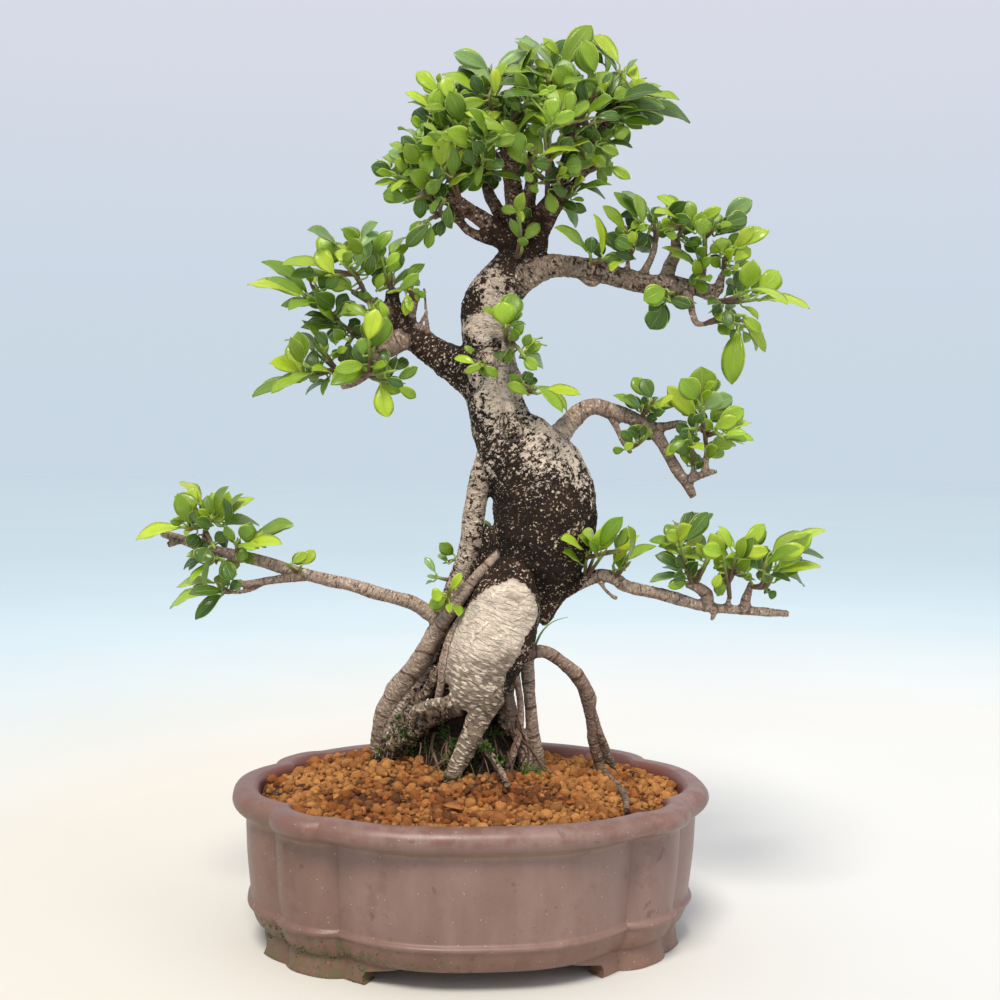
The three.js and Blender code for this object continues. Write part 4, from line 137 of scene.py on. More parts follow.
# Wood: for each limb the spacing of its probes and its centre line, as (x, z, depth, radius).
LIMBS = {
    "trunk": (16, [
        (30, 250, 6, 14), (42, 266, 4, 22), (46, 285, 2, 34), (50, 304, 0, 39), (52, 322, 0, 40),
        (48, 340, 0, 39), (40, 355, 0, 37), (29, 370, 0, 32), (18, 387, 0, 24), (13, 403, 0, 21.5),
        (10, 420, 0, 21), (7, 440, 0, 20), (5, 460, 0, 18.5), (8, 478, 0, 21), (15, 492, 0, 19),
        (20, 503, 0, 14), (24, 515, 0, 10.5), (26, 528, 0, 8),
    ]),
    "root_core": (36, [
        (0, 96, 8, 44), (0, 122, 8, 43), (-2, 145, 8, 36), (-4, 166, 8, 25), (2, 190, 8, 18),
        (12, 220, 6, 18), (24, 246, 4, 20), (36, 270, 4, 22),
    ]),
    "flank": (25, [
        (18, 308, 2, 13), (10, 292, 2, 14), (2, 276, 2, 13.5), (-6, 260, 2, 12), (-13, 244, 2, 10.5),
        (-19, 228, 4, 9), (-26, 208, 6, 8),
    ]),
    "core_left": (40, [
        (-34, 98, 10, 27), (-34, 122, 10, 25), (-30, 146, 10, 20), (-24, 170, 10, 14), (-18, 196, 8, 9.5),
    ]),
    "pale_root": (23, [
        (36, 288, -12, 12), (29, 273, -20, 18), (25, 259, -24, 25), (21, 243, -26, 29), (15, 228, -28, 30),
        (8, 212, -28, 28), (3, 197, -28, 25), (-1, 185, -28, 20), (-5, 176, -26, 13),
    ]),
    "pale_leg": (27, [
        (18, 212, -30, 11), (14, 192, -35, 13), (9, 177, -37, 12), (5, 166, -37, 10), (0, 156, -38, 8.5),
        (-5, 145, -38, 8), (-10, 134, -39, 7), (-15, 122, -40, 6.3), (-20, 104, -41, 6),
    ]),
    "finger_root": (14, [
        (-8, 181, -32, 8), (-20, 177, -35, 4.6), (-30, 176, -35, 4), (-38, 173, -33, 3.8),
        (-44, 170, -30, 3.5), (-47, 165, -26, 3),
    ]),
    "low_left_root": (29, [
        (-10, 176, -18, 9), (-24, 171, -17, 8.5), (-36, 165, -15, 8.5), (-46, 156, -12, 8.5),
        (-56, 147, -8, 8.5), (-66, 135, -4, 8.5), (-78, 116, 0, 8),
    ]),
    "left_column": (31, [
        (10, 372, -4, 9), (3, 345, -6, 9.5), (-1, 328, -8, 8.5), (-3, 312, -8, 8), (-5, 298, -8, 8),
        (-9, 284, -8, 7.5), (-14, 270, -8, 6.8), (-19, 257, -8, 6.5), (-24, 243, -6, 7), (-31, 226, -2, 8),
        (-37, 208, 4, 9), (-44, 192, 8, 9), (-52, 176, 12, 9.5), (-58, 158, 14, 10), (-62, 140, 16, 10.5),
        (-64, 112, 18, 11),
    ]),
    "slant_root": (29, [
        (18, 291, -14, 3.6), (8, 281, -18, 4.2), (0, 272, -18, 4.6), (-8, 261, -18, 5.2),
        (-15, 251, -17, 5.6), (-22, 241, -14, 6.2), (-29, 230, -10, 7), (-36, 218, -6, 8),
        (-43, 206, -2, 8.6), (-51, 195, 4, 9), (-58, 186, 8, 9), (-64, 175, 12, 9), (-68, 163, 16, 9),
        (-70, 150, 20, 9.3), (-71, 137, 22, 9.6), (-73, 112, 24, 10),
    ]),
    "brown_root": (29, [
        (-8, 246, -28, 3), (-16, 232, -31, 3), (-21, 220, -31, 3), (-24, 205, -30, 3), (-25, 192, -28, 3),
        (-27, 180, -24, 3), (-29, 168, -18, 3.4),
    ]),
    "green_root": (32, [
        (-26, 204, -10, 5), (-34, 188, -8, 4.4), (-42, 178, -6, 4.2), (-50, 168, -2, 4.2),
        (-58, 156, 4, 4.6), (-64, 142, 8, 5),
    ]),
    "right_column": (40, [
        (42, 250, -4, 7), (39, 232, -8, 5.2), (40, 214, -8, 5), (41, 195, -8, 4.9), (43, 175, -6, 4.6),
        (45, 158, -4, 4.6), (48, 140, -2, 5), (51, 114, 0, 5.5),
    ]),
    "thin_root_a": (36, [
        (28, 216, -20, 3.4), (32, 196, -20, 2.6), (35, 180, -19, 2.6), (36, 165, -18, 2.7),
        (34, 150, -19, 2.9), (30, 137, -21, 3.1), (25, 116, -24, 3.2),
    ]),
    "thin_root_b": (40, [
        (22, 200, -14, 4), (27, 180, -12, 4.2), (30, 165, -10, 5), (35, 150, -8, 6), (38, 136, -8, 6.4),
        (41, 112, -8, 6.8),
    ]),
    "front_root": (25, [
        (-1, 154, -37, 3.2), (13, 138, -38, 2.8), (18, 130, -44, 2.6), (23, 122, -52, 2.6),
        (27, 112, -58, 2.6),
    ]),
    "arch_root": (20, [
        (32, 224, -8, 7), (42, 217, -10, 4.8), (52, 217, -10, 4.6), (61, 213, -8, 5), (69, 207, -4, 5),
        (77, 200, 0, 5.3), (83, 191, 6, 5.4), (87, 182, 10, 6.3), (88, 172, 14, 4.7), (90, 162, 18, 4.3),
        (91, 150, 24, 4.1), (94, 139, 30, 4.1), (97, 130, 34, 4.1), (102, 122, 12, 3.6), (109, 116, -12, 3),
        (114, 111, -34, 2.8), (117, 104, -62, 2.6), (118, 96, -90, 2.5),
    ]),
    "arch_leg": (32, [
        (89, 174, 13, 3.6), (95, 158, 20, 2.9), (99, 148, 26, 3), (103, 138, 32, 3.1), (107, 128, 36, 3.2),
        (110, 115, 38, 3.3),
    ]),
    "root_stubs": (22, [(52, 268, -4, 7), (54, 252, -4, 4.5), (53, 238, -4, 2.2)]),
    "left_low_branch": (31, [
        (-24, 232, -4, 7), (-30, 241, -6, 6.4), (-37, 246, -8, 5.8), (-46, 252, -10, 5.6),
        (-60, 256, -12, 5.2), (-77, 260, -12, 4.9), (-96, 266, -12, 4.7), (-113, 269, -11, 4.7),
        (-128, 272, -10, 4.6), (-145, 277, -8, 4.3), (-162, 282, -8, 4.2), (-180, 286, -8, 4.1),
        (-196, 289, -8, 4.1), (-210, 293, -8, 3.9), (-224, 298, -8, 3.4), (-238, 302, -8, 2.6),
    ]),
    "left_low_fork": (29, [
        (-128, 271, -10, 3.8), (-145, 269, -14, 3), (-158, 267, -16, 2.8), (-170, 265, -18, 2.6),
        (-180, 265, -18, 2.3),
    ]),
    "left_low_twig": (22, [
        (-160, 266, -16, 2), (-170, 260, -17, 1.6), (-180, 258, -18, 1.5), (-188, 258, -18, 1.4),
    ]),
    "right_low_branch": (31, [
        (46, 244, -4, 10), (56, 254, -6, 7.5), (64, 262, -7, 6), (74, 268, -8, 5.6), (84, 273, -9, 5.3),
        (94, 276, -10, 5.2), (104, 274, -10, 5.1), (114, 268, -10, 4.7), (127, 265, -10, 4.6),
        (141, 262, -10, 4.5), (156, 258, -10, 4.2), (170, 254, -10, 4), (185, 252, -10, 3.6),
        (203, 251, -10, 3.4), (221, 250, -10, 3.1), (237, 249, -10, 2.6),
    ]),
    "right_low_stub": (14, [
        (203, 250, -10, 4.2), (204, 258, -11, 3.8), (206, 266, -12, 3), (208, 273, -12, 1.9),
    ]),
    "right_low_burl": (14, [
        (175, 252, -10, 4), (175, 261, -12, 4.6), (171, 266, -14, 4.4), (164, 269, -15, 3.4),
        (158, 270, -15, 2.2),
    ]),
    "right_low_drop": (14, [(180, 252, -12, 3), (180, 246, -13, 2), (178, 243, -13, 1.5)]),
    "right_mid_branch": (22, [
        (40, 358, -2, 16), (52, 370, -4, 13), (60, 380, -5, 9.2), (68, 390, -6, 7.2), (77, 399, -7, 6.7),
        (87, 403, -8, 6.2), (98, 400, -8, 5.8), (111, 396, -8, 5.6), (122, 391, -8, 5.6),
        (131, 386, -8, 5.6), (138, 376, -8, 4.4), (145, 364, -8, 4.2), (152, 353, -8, 4.1),
        (158, 345, -8, 3.6), (163, 336, -8, 2.9),
    ]),
    "right_mid_fork": (22, [
        (129, 387, -8, 4.4), (141, 389, -10, 3), (150, 391, -11, 2.8), (157, 391, -12, 2.4),
    ]),
    "right_mid_drop": (23, [(98, 399, -8, 4), (104, 387, -9, 2.2), (109, 377, -9, 2), (115, 368, -9, 1.6)]),
    "right_mid_rise": (22, [
        (156, 347, -8, 3.4), (164, 351, -9, 2.6), (172, 354, -10, 2.4), (180, 356, -11, 1.7),
    ]),
    "right_mid_up": (22, [
        (171, 353, -10, 2.6), (171, 361, -10, 2.4), (172, 370, -10, 2.1), (171, 378, -10, 1.7),
    ]),
    "right_up_branch": (25, [
        (14, 488, 0, 16), (26, 496, -1, 14.5), (38, 502, -2, 11), (50, 506, -2, 8.6), (63, 507, -3, 8),
        (78, 505, -4, 8), (93, 502, -4, 8.3), (108, 498, -4, 8.2), (125, 495, -4, 8.2), (140, 494, -4, 7.4),
        (155, 493, -4, 6.4), (168, 491, -5, 5.3), (179, 490, -5, 4.4),
    ]),
    "right_up_riser": (22, [(137, 496, -2, 6), (141, 508, 0, 5), (145, 519, 1, 4.2), (144, 530, 2, 2.8)]),
    "right_up_left": (25, [
        (119, 498, -5, 4), (125, 510, -8, 2.7), (129, 521, -9, 2.3), (130, 530, -10, 1.8),
    ]),
    "right_up_end": (18, [(177, 490, -5, 4), (179, 499, -6, 2.8), (182, 507, -7, 1.9)]),
    "right_up_spike": (22, [(163, 492, -6, 4), (166, 503, -8, 2.2), (167, 513, -9, 1.6)]),
    "right_up_drop": (14, [
        (153, 490, -6, 4.4), (157, 480, -10, 2.8), (159, 472, -11, 2.4), (162, 466, -12, 2.2),
        (170, 466, -12, 1.7),
    ]),
    "right_up_low": (22, [(163, 490, -5, 4.2), (171, 485, -8, 2.4), (180, 482, -9, 1.8)]),
    "right_up_hook": (9, [(75, 500, -5, 3.4), (81, 494, -8, 1.9), (86, 494, -8, 1.7), (88, 498, -6, 2)]),
    "left_up_branch": (22, [
        (6, 420, 0, 20), (-5, 426, -1, 18), (-17, 431, -2, 14.5), (-28, 438, -3, 12.5),
        (-42, 447, -3, 10.6), (-54, 457, -3, 9.4), (-61, 467, -3, 8), (-65, 477, -3, 6.4),
        (-66, 487, -3, 4.6),
    ]),
    "left_up_fork": (20, [(-53, 460, -3, 5.4), (-51, 471, -4, 3.4), (-48, 482, -4, 2.6)]),
    "left_up_low": (23, [
        (-52, 452, -4, 8), (-66, 446, -7, 8.6), (-77, 439, -8, 8.2), (-84, 429, -9, 6.2),
        (-92, 420, -9, 4.6), (-104, 415, -9, 3.6),
    ]),
    "left_up_out": (23, [
        (-60, 466, -4, 6), (-72, 474, -7, 3.6), (-85, 480, -9, 2.8), (-97, 486, -10, 1.9),
    ]),
    "left_up_reach": (25, [
        (-72, 444, -7, 5), (-84, 448, -9, 2.4), (-96, 455, -9, 2), (-107, 464, -10, 1.6),
    ]),
    "left_up_tip": (23, [(-84, 430, -9, 4), (-97, 428, -11, 2), (-109, 427, -13, 1.6)]),
    "left_up_knob": (12, [(-44, 452, -6, 5), (-46, 460, -8, 3.4)]),
    "dry_twig": (40, [(-38, 448, -7, 2.4), (-40, 466, -8, 1.3), (-42, 489, -8, 1)]),
    "front_shoot": (25, [
        (27, 380, -26, 7), (24, 393, -27, 4.6), (21, 408, -26, 4), (18, 424, -24, 3.8), (19, 438, -23, 3.4),
        (19, 453, -22, 2.5),
    ]),
    "front_knob": (12, [(18, 438, -20, 5), (8, 436, -23, 5), (-1, 438, -23, 4.6)]),
    "front_side": (18, [(22, 434, -16, 4), (30, 424, -22, 2.5), (37, 414, -25, 2.6), (39, 411, -25, 3)]),
    "crown_low_left": (22, [
        (22, 520, 0, 6), (11, 524, -3, 4.2), (0, 527, -6, 3.7), (-10, 532, -8, 3.3), (-18, 540, -9, 3.1),
        (-26, 547, -10, 2.6),
    ]),
    "crown_low_twig": (14, [(-24, 546, -10, 2.4), (-31, 543, -11, 1.7), (-36, 540, -12, 1.3)]),
    "crown_left": (23, [
        (22, 523, -2, 7.4), (9, 534, -7, 6.4), (-5, 544, -11, 6), (-18, 552, -13, 5.5),
        (-29, 556, -14, 4.9), (-38, 558, -15, 3.4),
    ]),
    "crown_left_up": (25, [
        (21, 532, 0, 5.6), (12, 547, 4, 4.7), (5, 559, 7, 4.2), (2, 571, 8, 3.4), (-2, 583, 8, 2.2),
    ]),
    "crown_mid": (25, [
        (26, 524, 0, 8.6), (26, 545, -2, 7.6), (23, 565, -4, 7), (20, 581, -4, 6.2), (17, 595, -5, 4.8),
        (14, 606, -5, 2.8),
    ]),
    "crown_mid_b": (25, [
        (28, 524, 2, 7), (33, 545, 8, 6.2), (36, 562, 12, 5.2), (37, 577, 14, 3.8), (35, 592, 14, 2.4),
    ]),
    "crown_right": (25, [
        (30, 526, 2, 7), (41, 543, 0, 5.4), (50, 556, -2, 4.8), (58, 571, -4, 4.2), (62, 587, -5, 3.3),
        (62, 602, -6, 2.2),
    ]),
    "crown_far": (23, [
        (32, 514, 0, 7.4), (42, 524, -4, 4.8), (49, 537, -5, 4.4), (55, 549, -5, 4.2), (62, 560, -6, 4),
        (70, 569, -6, 3.4), (78, 577, -6, 2.3), (89, 581, -7, 1.6),
    ]),
    "crown_far_up": (27, [
        (69, 568, -6, 3), (76, 582, -4, 2.6), (82, 597, -3, 2.7), (89, 610, -3, 2.8), (97, 618, -3, 2.3),
    ]),
    "crown_front": (25, [(28, 548, -6, 5), (34, 562, -16, 3.2), (37, 575, -22, 2.2)]),
    "crown_back": (25, [(27, 530, 4, 6), (26, 548, 20, 4.6), (22, 566, 34, 3.6), (16, 584, 42, 2.4)]),
    "crown_back_right": (25, [
        (34, 536, 6, 5.4), (48, 552, 20, 4.2), (62, 570, 32, 3.2), (72, 588, 38, 2.2),
    ]),
}

# Small roots and twigs that the solids don't have, each a centre line like those above.
TWIGS = {
    "inner_root": [
        (28, 204, -4, 6), (25, 188, -5, 5.5), (23, 172, -6, 5.5), (21, 154, -8, 6), (18, 134, -10, 7),
        (15, 112, -12, 8),
    ],
    "root_stub_b": [(57, 266, -2, 6), (59, 252, -2, 3), (57, 242, -2, 1.8)],
    "left_low_stub": [(-224, 297, -8, 3), (-230, 294, -12, 2.6), (-233, 293, -13, 2)],
    "left_low_spur": [(-204, 292, -8, 3), (-205, 298, -10, 2.4), (-205, 303, -11, 1.8)],
    "right_low_spur": [(190, 251, -10, 2.8), (191, 257, -11, 2), (192, 263, -12, 1.5)],
    "dangling_root": [(93, 273, -12, 2.4), (97, 266, -14, 1.3), (102, 261, -14, 1.2), (107, 258, -14, 1.8)],
    "right_mid_spur": [(159, 348, -8, 3.2), (162, 354, -9, 2.2), (162, 360, -10, 1.7)],
    "right_up_twig": [(104, 499, -6, 4), (109, 505, -8, 2), (109, 514, -9, 1.5)],
    "right_up_under": [(128, 491, -7, 4), (132, 486, -11, 1.8), (136, 484, -12, 1.4)],
    "dry_twig_b": [(-48, 452, -7, 2.4), (-44, 464, -8, 1.2), (-41, 470, -8, 1)],
    "crown_bridge": [(47, 507, -2, 3), (47, 514, -3, 1.8), (47, 530, -5, 3)],
    "pruned_knob": [(-1, 438, -12, 4.8), (-1.9, 438, -19, 4.6), (-1.9, 438, -23, 3.6)],
}

# Leafy shoots: stems as (x, z, depth), leaves as
# (blade base x, base z, tip x, tip z, width as seen from the front, tone). The solids have the stems
# and leaves; the side stems and small leaves are only in the looks.
SPRAYS = {
    "crown_outer_left": {
        "stems": [
            [(-36, 558, -15), (-50, 566, -19), (-63, 572, -20)], [(-50, 566, -19), (-55, 584, -18)],
            [(-36, 558, -15), (-44, 557, -24), (-54, 553, -25)], [(-37, 558, -15), (-42, 567, -30)],
        ],
        "leaves": [
            (-66, 573, -83, 578, 12, "d"), (-53, 571, -65, 584, 9, "y"), (-56, 583, -70, 589, 8, "p"),
            (-60, 567, -80, 565, 6, "y"), (-60, 587, -67, 596, 8, "g"), (-45, 562, -71, 563, 8, "g"),
            (-55, 553, -74, 558, 12, "g"), (-45, 560, -46, 540, 10, "d"), (-43, 569, -38, 594, 15, "y"),
            (-36, 561, -27, 584, 11, "p"),
        ],
        "small": [(-70, 575, -77, 581, 6, "y"), (-64, 571, -79, 574, 6, "g"), (-62, 571, -60, 580, 5, "d")],
    },
    "crown_low_hang": {
        "stems": [[(-31, 543, -11), (-37, 541, -18), (-42, 537, -24)]],
        "leaves": [
            (-39, 537, -56, 519, 11, "d"), (-38, 535, -40, 518, 8, "g"), (-29, 540, -31, 527, 7, "d"),
        ],
        "small": [(-40, 540, -54, 531, 5, "g")],
    },
    "crown_left_front": {
        "stems": [[(-16, 552, -13), (-27, 574, -32), (-38, 598, -38)], [(-27, 574, -32), (-24, 597, -42)]],
        "leaves": [
            (-48, 591, -61, 600, 9, "d"), (-46, 591, -40, 613, 9, "y"), (-24, 600, -43, 600, 9, "g"),
        ],
        "small": [(-50, 600, -63, 606, 4, "g"), (-30, 588, -38, 582, 8, "d"), (-20, 592, -8, 600, 9, "d")],
    },
    "crown_heart": {
        "stems": [[(0, 576, 8), (-3, 577, -20), (-6, 577, -34)]],
        "leaves": [
            (-13, 586, -37, 594, 13, "y"), (-7, 579, -12, 592, 11, "d"), (-8, 575, -25, 564, 6, "y"),
            (-3, 575, 30, 569, 7, "g"), (-3, 578, 15, 580, 6, "g"), (-6, 570, -20, 562, 11, "d"),
        ],
        "small": [(4, 572, 9, 563, 9, "d")],
    },
    "crown_upper_left": {
        "stems": [
            [(-1, 581, 8), (-12, 598, -10), (-26, 606, -24), (-36, 612, -26)],
            [(-26, 606, -24), (-32, 630, -22)],
        ],
        "leaves": [
            (-33, 632, -50, 648, 11, "y"), (-40, 621, -58, 633, 7, "y"), (-37, 614, -33, 636, 13, "y"),
            (-38, 610, -51, 620, 13, "d"), (-28, 609, -19, 633, 15, "y"),
        ],
        "small": [
            (-34, 640, -33, 647, 4, "y"), (-40, 619, -56, 626, 4, "y"), (-28, 631, -20, 640, 8, "g"),
            (-40, 606, -46, 597, 5, "d"),
        ],
    },
    "crown_top_left": {
        "stems": [[(15, 602, -5), (7, 618, -16), (1, 632, -20), (4, 648, -12)]],
        "leaves": [
            (-3, 632, -31, 647, 10, "y"), (-6, 639, -19, 652, 10, "d"), (3, 651, -23, 662, 13, "p"),
            (0, 634, -1, 646, 10, "g"), (4, 636, 17, 656, 8, "y"), (9, 649, 31, 664, 10, "p"),
            (-9, 622, -16, 642, 12, "d"), (12, 625, -4, 628, 7, "g"), (10, 641, 33, 662, 10, "d"),
        ],
        "small": [(-4, 618, -6, 630, 8, "g")],
    },
    "crown_front_mid": {
        "stems": [[(18, 592, -7), (18, 597, -34), (10, 599, -44)]],
        "leaves": [
            (13, 604, -14, 619, 9, "y"), (0, 600, -7, 618, 12, "p"), (-1, 597, -27, 608, 8, "y"),
            (4, 592, 11, 607, 8, "y"), (28, 599, 13, 613, 9, "g"),
        ],
        "small": [(24, 600, 39, 620, 4, "y")],
    },
    "crown_low_mid": {
        "stems": [[(36, 573, -21), (35, 580, -34)], [(35, 580, -34), (44, 583, -38)]],
        "leaves": [(33, 581, 19, 596, 11, "g"), (45, 588, 31, 607, 11, "g"), (46, 582, 79, 600, 6, "y")],
        "small": [(40, 580, 35, 587, 6, "y")],
    },
    "crown_mid_right": {
        "stems": [[(16, 603, -5), (24, 617, -24), (34, 628, -34), (45, 629, -36)]],
        "leaves": [
            (37, 640, 25, 652, 11, "d"), (38, 636, 15, 646, 9, "g"), (44, 632, 12, 640, 9, "d"),
            (48, 621, 36, 631, 7, "g"), (29, 651, 47, 672, 6, "g"),
        ],
        "small": [(20, 612, 28, 622, 10, "d"), (26, 626, 16, 632, 8, "g")],
    },
    "crown_top": {
        "stems": [[(62, 600, -6), (58, 625, -16), (56, 648, -14)]],
        "leaves": [
            (51, 651, 23, 674, 8, "p"), (55, 662, 43, 674, 7, "y"), (58, 653, 79, 684, 17, "g"),
            (60, 637, 59, 659, 15, "p"), (54, 637, 58, 648, 9, "y"), (49, 640, 40, 655, 9, "y"),
        ],
    },
    "crown_top_right": {
        "stems": [
            [(62, 596, -6), (75, 620, -14), (78, 644, -14)],
            [(75, 620, -14), (88, 634, -10), (100, 648, -8)],
        ],
        "leaves": [
            (77, 648, 73, 671, 17, "g"), (100, 650, 75, 670, 7, "p"), (99, 657, 81, 677, 12, "y"),
            (70, 628, 95, 650, 14, "g"), (93, 632, 98, 651, 11, "d"),
        ],
        "small": [(94, 633, 83, 643, 9, "y")],
    },
    "crown_outer_right": {
        "stems": [[(96, 617, -3), (105, 631, -8), (111, 636, -9)], [(96, 617, -3), (99, 613, -12)]],
        "leaves": [
            (108, 632, 119, 645, 13, "y"), (114, 642, 106, 656, 10, "y"), (121, 634, 145, 631, 7, "y"),
            (108, 625, 154, 615, 14, "d"), (100, 613, 125, 613, 8, "g"), (99, 611, 104, 601, 13, "g"),
        ],
        "small": [
            (105, 650, 113, 660, 4, "p"), (112, 623, 133, 618, 5, "y"), (103, 630, 94, 622, 9, "d"),
            (104, 618, 122, 617, 5, "d"), (95, 608, 87, 603, 6, "d"),
        ],
    },
    "crown_front_right": {
        "stems": [
            [(48, 553, -2), (50, 582, -30), (51, 606, -44), (61, 611, -42)],
            [(61, 611, -42), (75, 615, -36)], [(49, 568, -16), (44, 568, -26)],
        ],
        "leaves": [
            (48, 611, 52, 627, 13, "y"), (46, 610, 37, 620, 10, "y"), (55, 621, 50, 637, 11, "g"),
            (58, 621, 62, 637, 11, "g"), (62, 613, 78, 629, 9, "y"), (76, 617, 95, 631, 9, "g"),
            (45, 569, 57, 578, 11, "d"),
        ],
        "small": [(44, 634, 54, 639, 5, "y"), (43, 569, 37, 561, 8, "g"), (58, 590, 66, 602, 10, "d")],
    },
    "crown_right_mid": {
        "stems": [
            [(76, 576, -6), (80, 588, -14), (83, 596, -16)], [(76, 576, -6), (68, 574, -20)],
            [(78, 577, -6), (92, 582, -9)],
        ],
        "leaves": [
            (84, 596, 101, 590, 8, "g"), (92, 598, 111, 595, 6, "d"), (66, 576, 82, 592, 15, "g"),
            (93, 582, 110, 572, 8, "g"),
        ],
        "small": [(84, 586, 92, 588, 5, "y"), (72, 600, 80, 610, 10, "d")],
    },
    "crown_right_low": {
        "stems": [[(60, 557, -6), (66, 559, -14)]],
        "leaves": [(67, 561, 96, 568, 6, "g"), (63, 551, 78, 548, 8, "d"), (61, 549, 71, 536, 9, "g")],
        "small": [(68, 566, 76, 571, 7, "y"), (67, 556, 76, 556, 4, "g")],
    },
    "crown_neck": {
        "stems": [[(26, 512, -10), (30, 517, -18), (30, 522, -20)]],
        "leaves": [(29, 526, 21, 541, 7, "g"), (32, 526, 43, 538, 9, "g")],
        "small": [(30, 519, 31, 528, 8, "g")],
    },
    "crown_back_left": {
        "stems": [
            [(18, 578, 40), (2, 596, 48), (-14, 608, 50), (-30, 606, 44)], [(2, 596, 48), (-2, 622, 44)],
        ],
        "leaves": [
            (-32, 607, -54, 612, 13, "g"), (-28, 603, -48, 590, 13, "d"), (-30, 611, -38, 634, 13, "g"),
            (-16, 611, -22, 640, 14, "y"), (-10, 604, -20, 582, 13, "d"), (-2, 600, -14, 624, 14, "g"),
            (-4, 623, -20, 646, 13, "y"), (0, 625, 8, 648, 13, "g"), (4, 612, 20, 630, 14, "d"),
            (2, 594, -8, 568, 13, "g"), (8, 590, 24, 600, 13, "g"),
        ],
    },
    "crown_back_mid": {
        "stems": [[(17, 582, 41), (26, 604, 46), (32, 630, 40), (34, 650, 26)]],
        "leaves": [
            (30, 604, 8, 616, 13, "g"), (28, 606, 44, 600, 14, "d"), (30, 618, 12, 634, 14, "g"),
            (32, 620, 52, 630, 14, "y"), (33, 632, 18, 652, 13, "g"), (34, 640, 50, 656, 13, "y"),
            (34, 650, 30, 676, 13, "g"), (24, 596, 30, 572, 13, "d"),
        ],
    },
    "crown_back_far": {
        "stems": [
            [(71, 586, 38), (80, 602, 42), (92, 616, 36), (108, 622, 24)], [(80, 602, 42), (72, 628, 36)],
        ],
        "leaves": [
            (110, 622, 134, 616, 14, "d"), (108, 624, 126, 640, 13, "y"), (96, 618, 104, 640, 13, "g"),
            (92, 616, 108, 598, 13, "d"), (82, 606, 98, 588, 13, "g"), (76, 604, 56, 606, 14, "g"),
            (72, 628, 62, 652, 14, "y"), (73, 629, 90, 650, 13, "g"), (74, 616, 54, 624, 13, "d"),
            (76, 592, 60, 576, 13, "d"), (78, 594, 96, 574, 12, "g"),
        ],
    },
    "crown_back_low": {
        "stems": [[(-34, 558, -14), (-38, 562, 10), (-46, 568, 20)], [(-38, 562, 10), (-30, 570, 28)]],
        "leaves": [
            (-47, 568, -68, 576, 13, "g"), (-44, 570, -56, 592, 12, "d"), (-40, 565, -60, 556, 12, "g"),
            (-30, 571, -32, 594, 13, "d"), (-28, 571, -12, 582, 12, "g"), (-32, 568, -20, 556, 11, "d"),
        ],
    },
    "left_top": {
        "stems": [
            [(-84, 480, -9), (-93, 498, -20), (-102, 510, -24)], [(-93, 498, -20), (-112, 501, -26)],
            [(-84, 480, -9), (-80, 474, -24)],
        ],
        "leaves": [
            (-114, 505, -117, 529, 14, "y"), (-92, 503, -87, 527, 15, "p"), (-91, 522, -103, 532, 9, "g"),
            (-90, 523, -78, 537, 8, "p"), (-82, 512, -66, 531, 10, "g"), (-115, 503, -149, 505, 9, "y"),
            (-98, 489, -114, 492, 12, "g"), (-85, 503, -82, 520, 9, "d"), (-84, 469, -105, 468, 7, "y"),
            (-80, 479, -92, 484, 7, "g"),
        ],
        "small": [
            (-107, 518, -129, 531, 7, "p"), (-99, 514, -91, 524, 7, "y"), (-106, 509, -103, 520, 9, "y"),
            (-75, 478, -70, 466, 7, "y"),
        ],
    },
    "left_reach": {
        "stems": [
            [(-106, 464, -10), (-117, 473, -14), (-130, 481, -18)], [(-117, 472, -14), (-125, 487, -14)],
        ],
        "leaves": [
            (-132, 480, -174, 490, 9, "y"), (-121, 475, -149, 474, 8, "y"), (-115, 472, -128, 484, 13, "d"),
            (-126, 488, -128, 504, 7, "g"), (-107, 458, -134, 458, 8, "g"), (-104, 459, -112, 448, 10, "d"),
            (-106, 470, -100, 484, 10, "d"),
        ],
        "small": [
            (-109, 463, -131, 468, 5, "d"), (-121, 488, -114, 500, 10, "g"), (-104, 468, -94, 476, 9, "d"),
        ],
    },
    "left_tips": {
        "stems": [
            [(-107, 427, -13), (-120, 423, -17), (-131, 421, -18)], [(-107, 427, -13), (-120, 437, -14)],
        ],
        "leaves": [
            (-133, 424, -142, 447, 12, "y"), (-135, 423, -157, 431, 10, "y"),
            (-131, 419, -170, 406, 9, "g"), (-125, 441, -125, 422, 11, "d"),
            (-114, 435, -120, 449, 10, "g"),
        ],
        "small": [
            (-122, 440, -146, 449, 5, "y"), (-111, 432, -106, 442, 7, "g"), (-117, 427, -127, 418, 8, "g"),
            (-113, 418, -130, 408, 5, "g"),
        ],
    },
    "left_low": {
        "stems": [
            [(-88, 425, -9), (-82, 422, -22), (-74, 419, -24), (-64, 418, -22)],
            [(-82, 422, -22), (-80, 440, -30)],
        ],
        "leaves": [
            (-86, 428, -111, 416, 14, "g"), (-79, 434, -68, 422, 12, "g"), (-74, 417, -68, 392, 14, "y"),
            (-62, 420, -46, 430, 8, "g"), (-62, 416, -47, 407, 8, "g"), (-66, 421, -63, 437, 8, "d"),
            (-80, 442, -69, 467, 17, "g"), (-84, 432, -94, 446, 11, "d"),
        ],
        "small": [(-75, 421, -66, 426, 7, "g")],
    },
    "left_inner": {
        "stems": [[(-94, 454, -9), (-98, 446, -18)]],
        "leaves": [(-99, 445, -101, 431, 10, "d"), (-99, 449, -108, 458, 10, "d")],
        "small": [(-96, 449, -88, 460, 9, "d")],
    },
    "left_crest": {
        "stems": [[(-66, 484, -3), (-67, 494, -10), (-68, 509, -12)]],
        "leaves": [
            (-66, 497, -60, 516, 11, "d"), (-67, 511, -55, 527, 8, "y"), (-71, 489, -71, 503, 8, "g"),
            (-72, 498, -79, 512, 9, "d"),
        ],
    },
    "left_fork": {
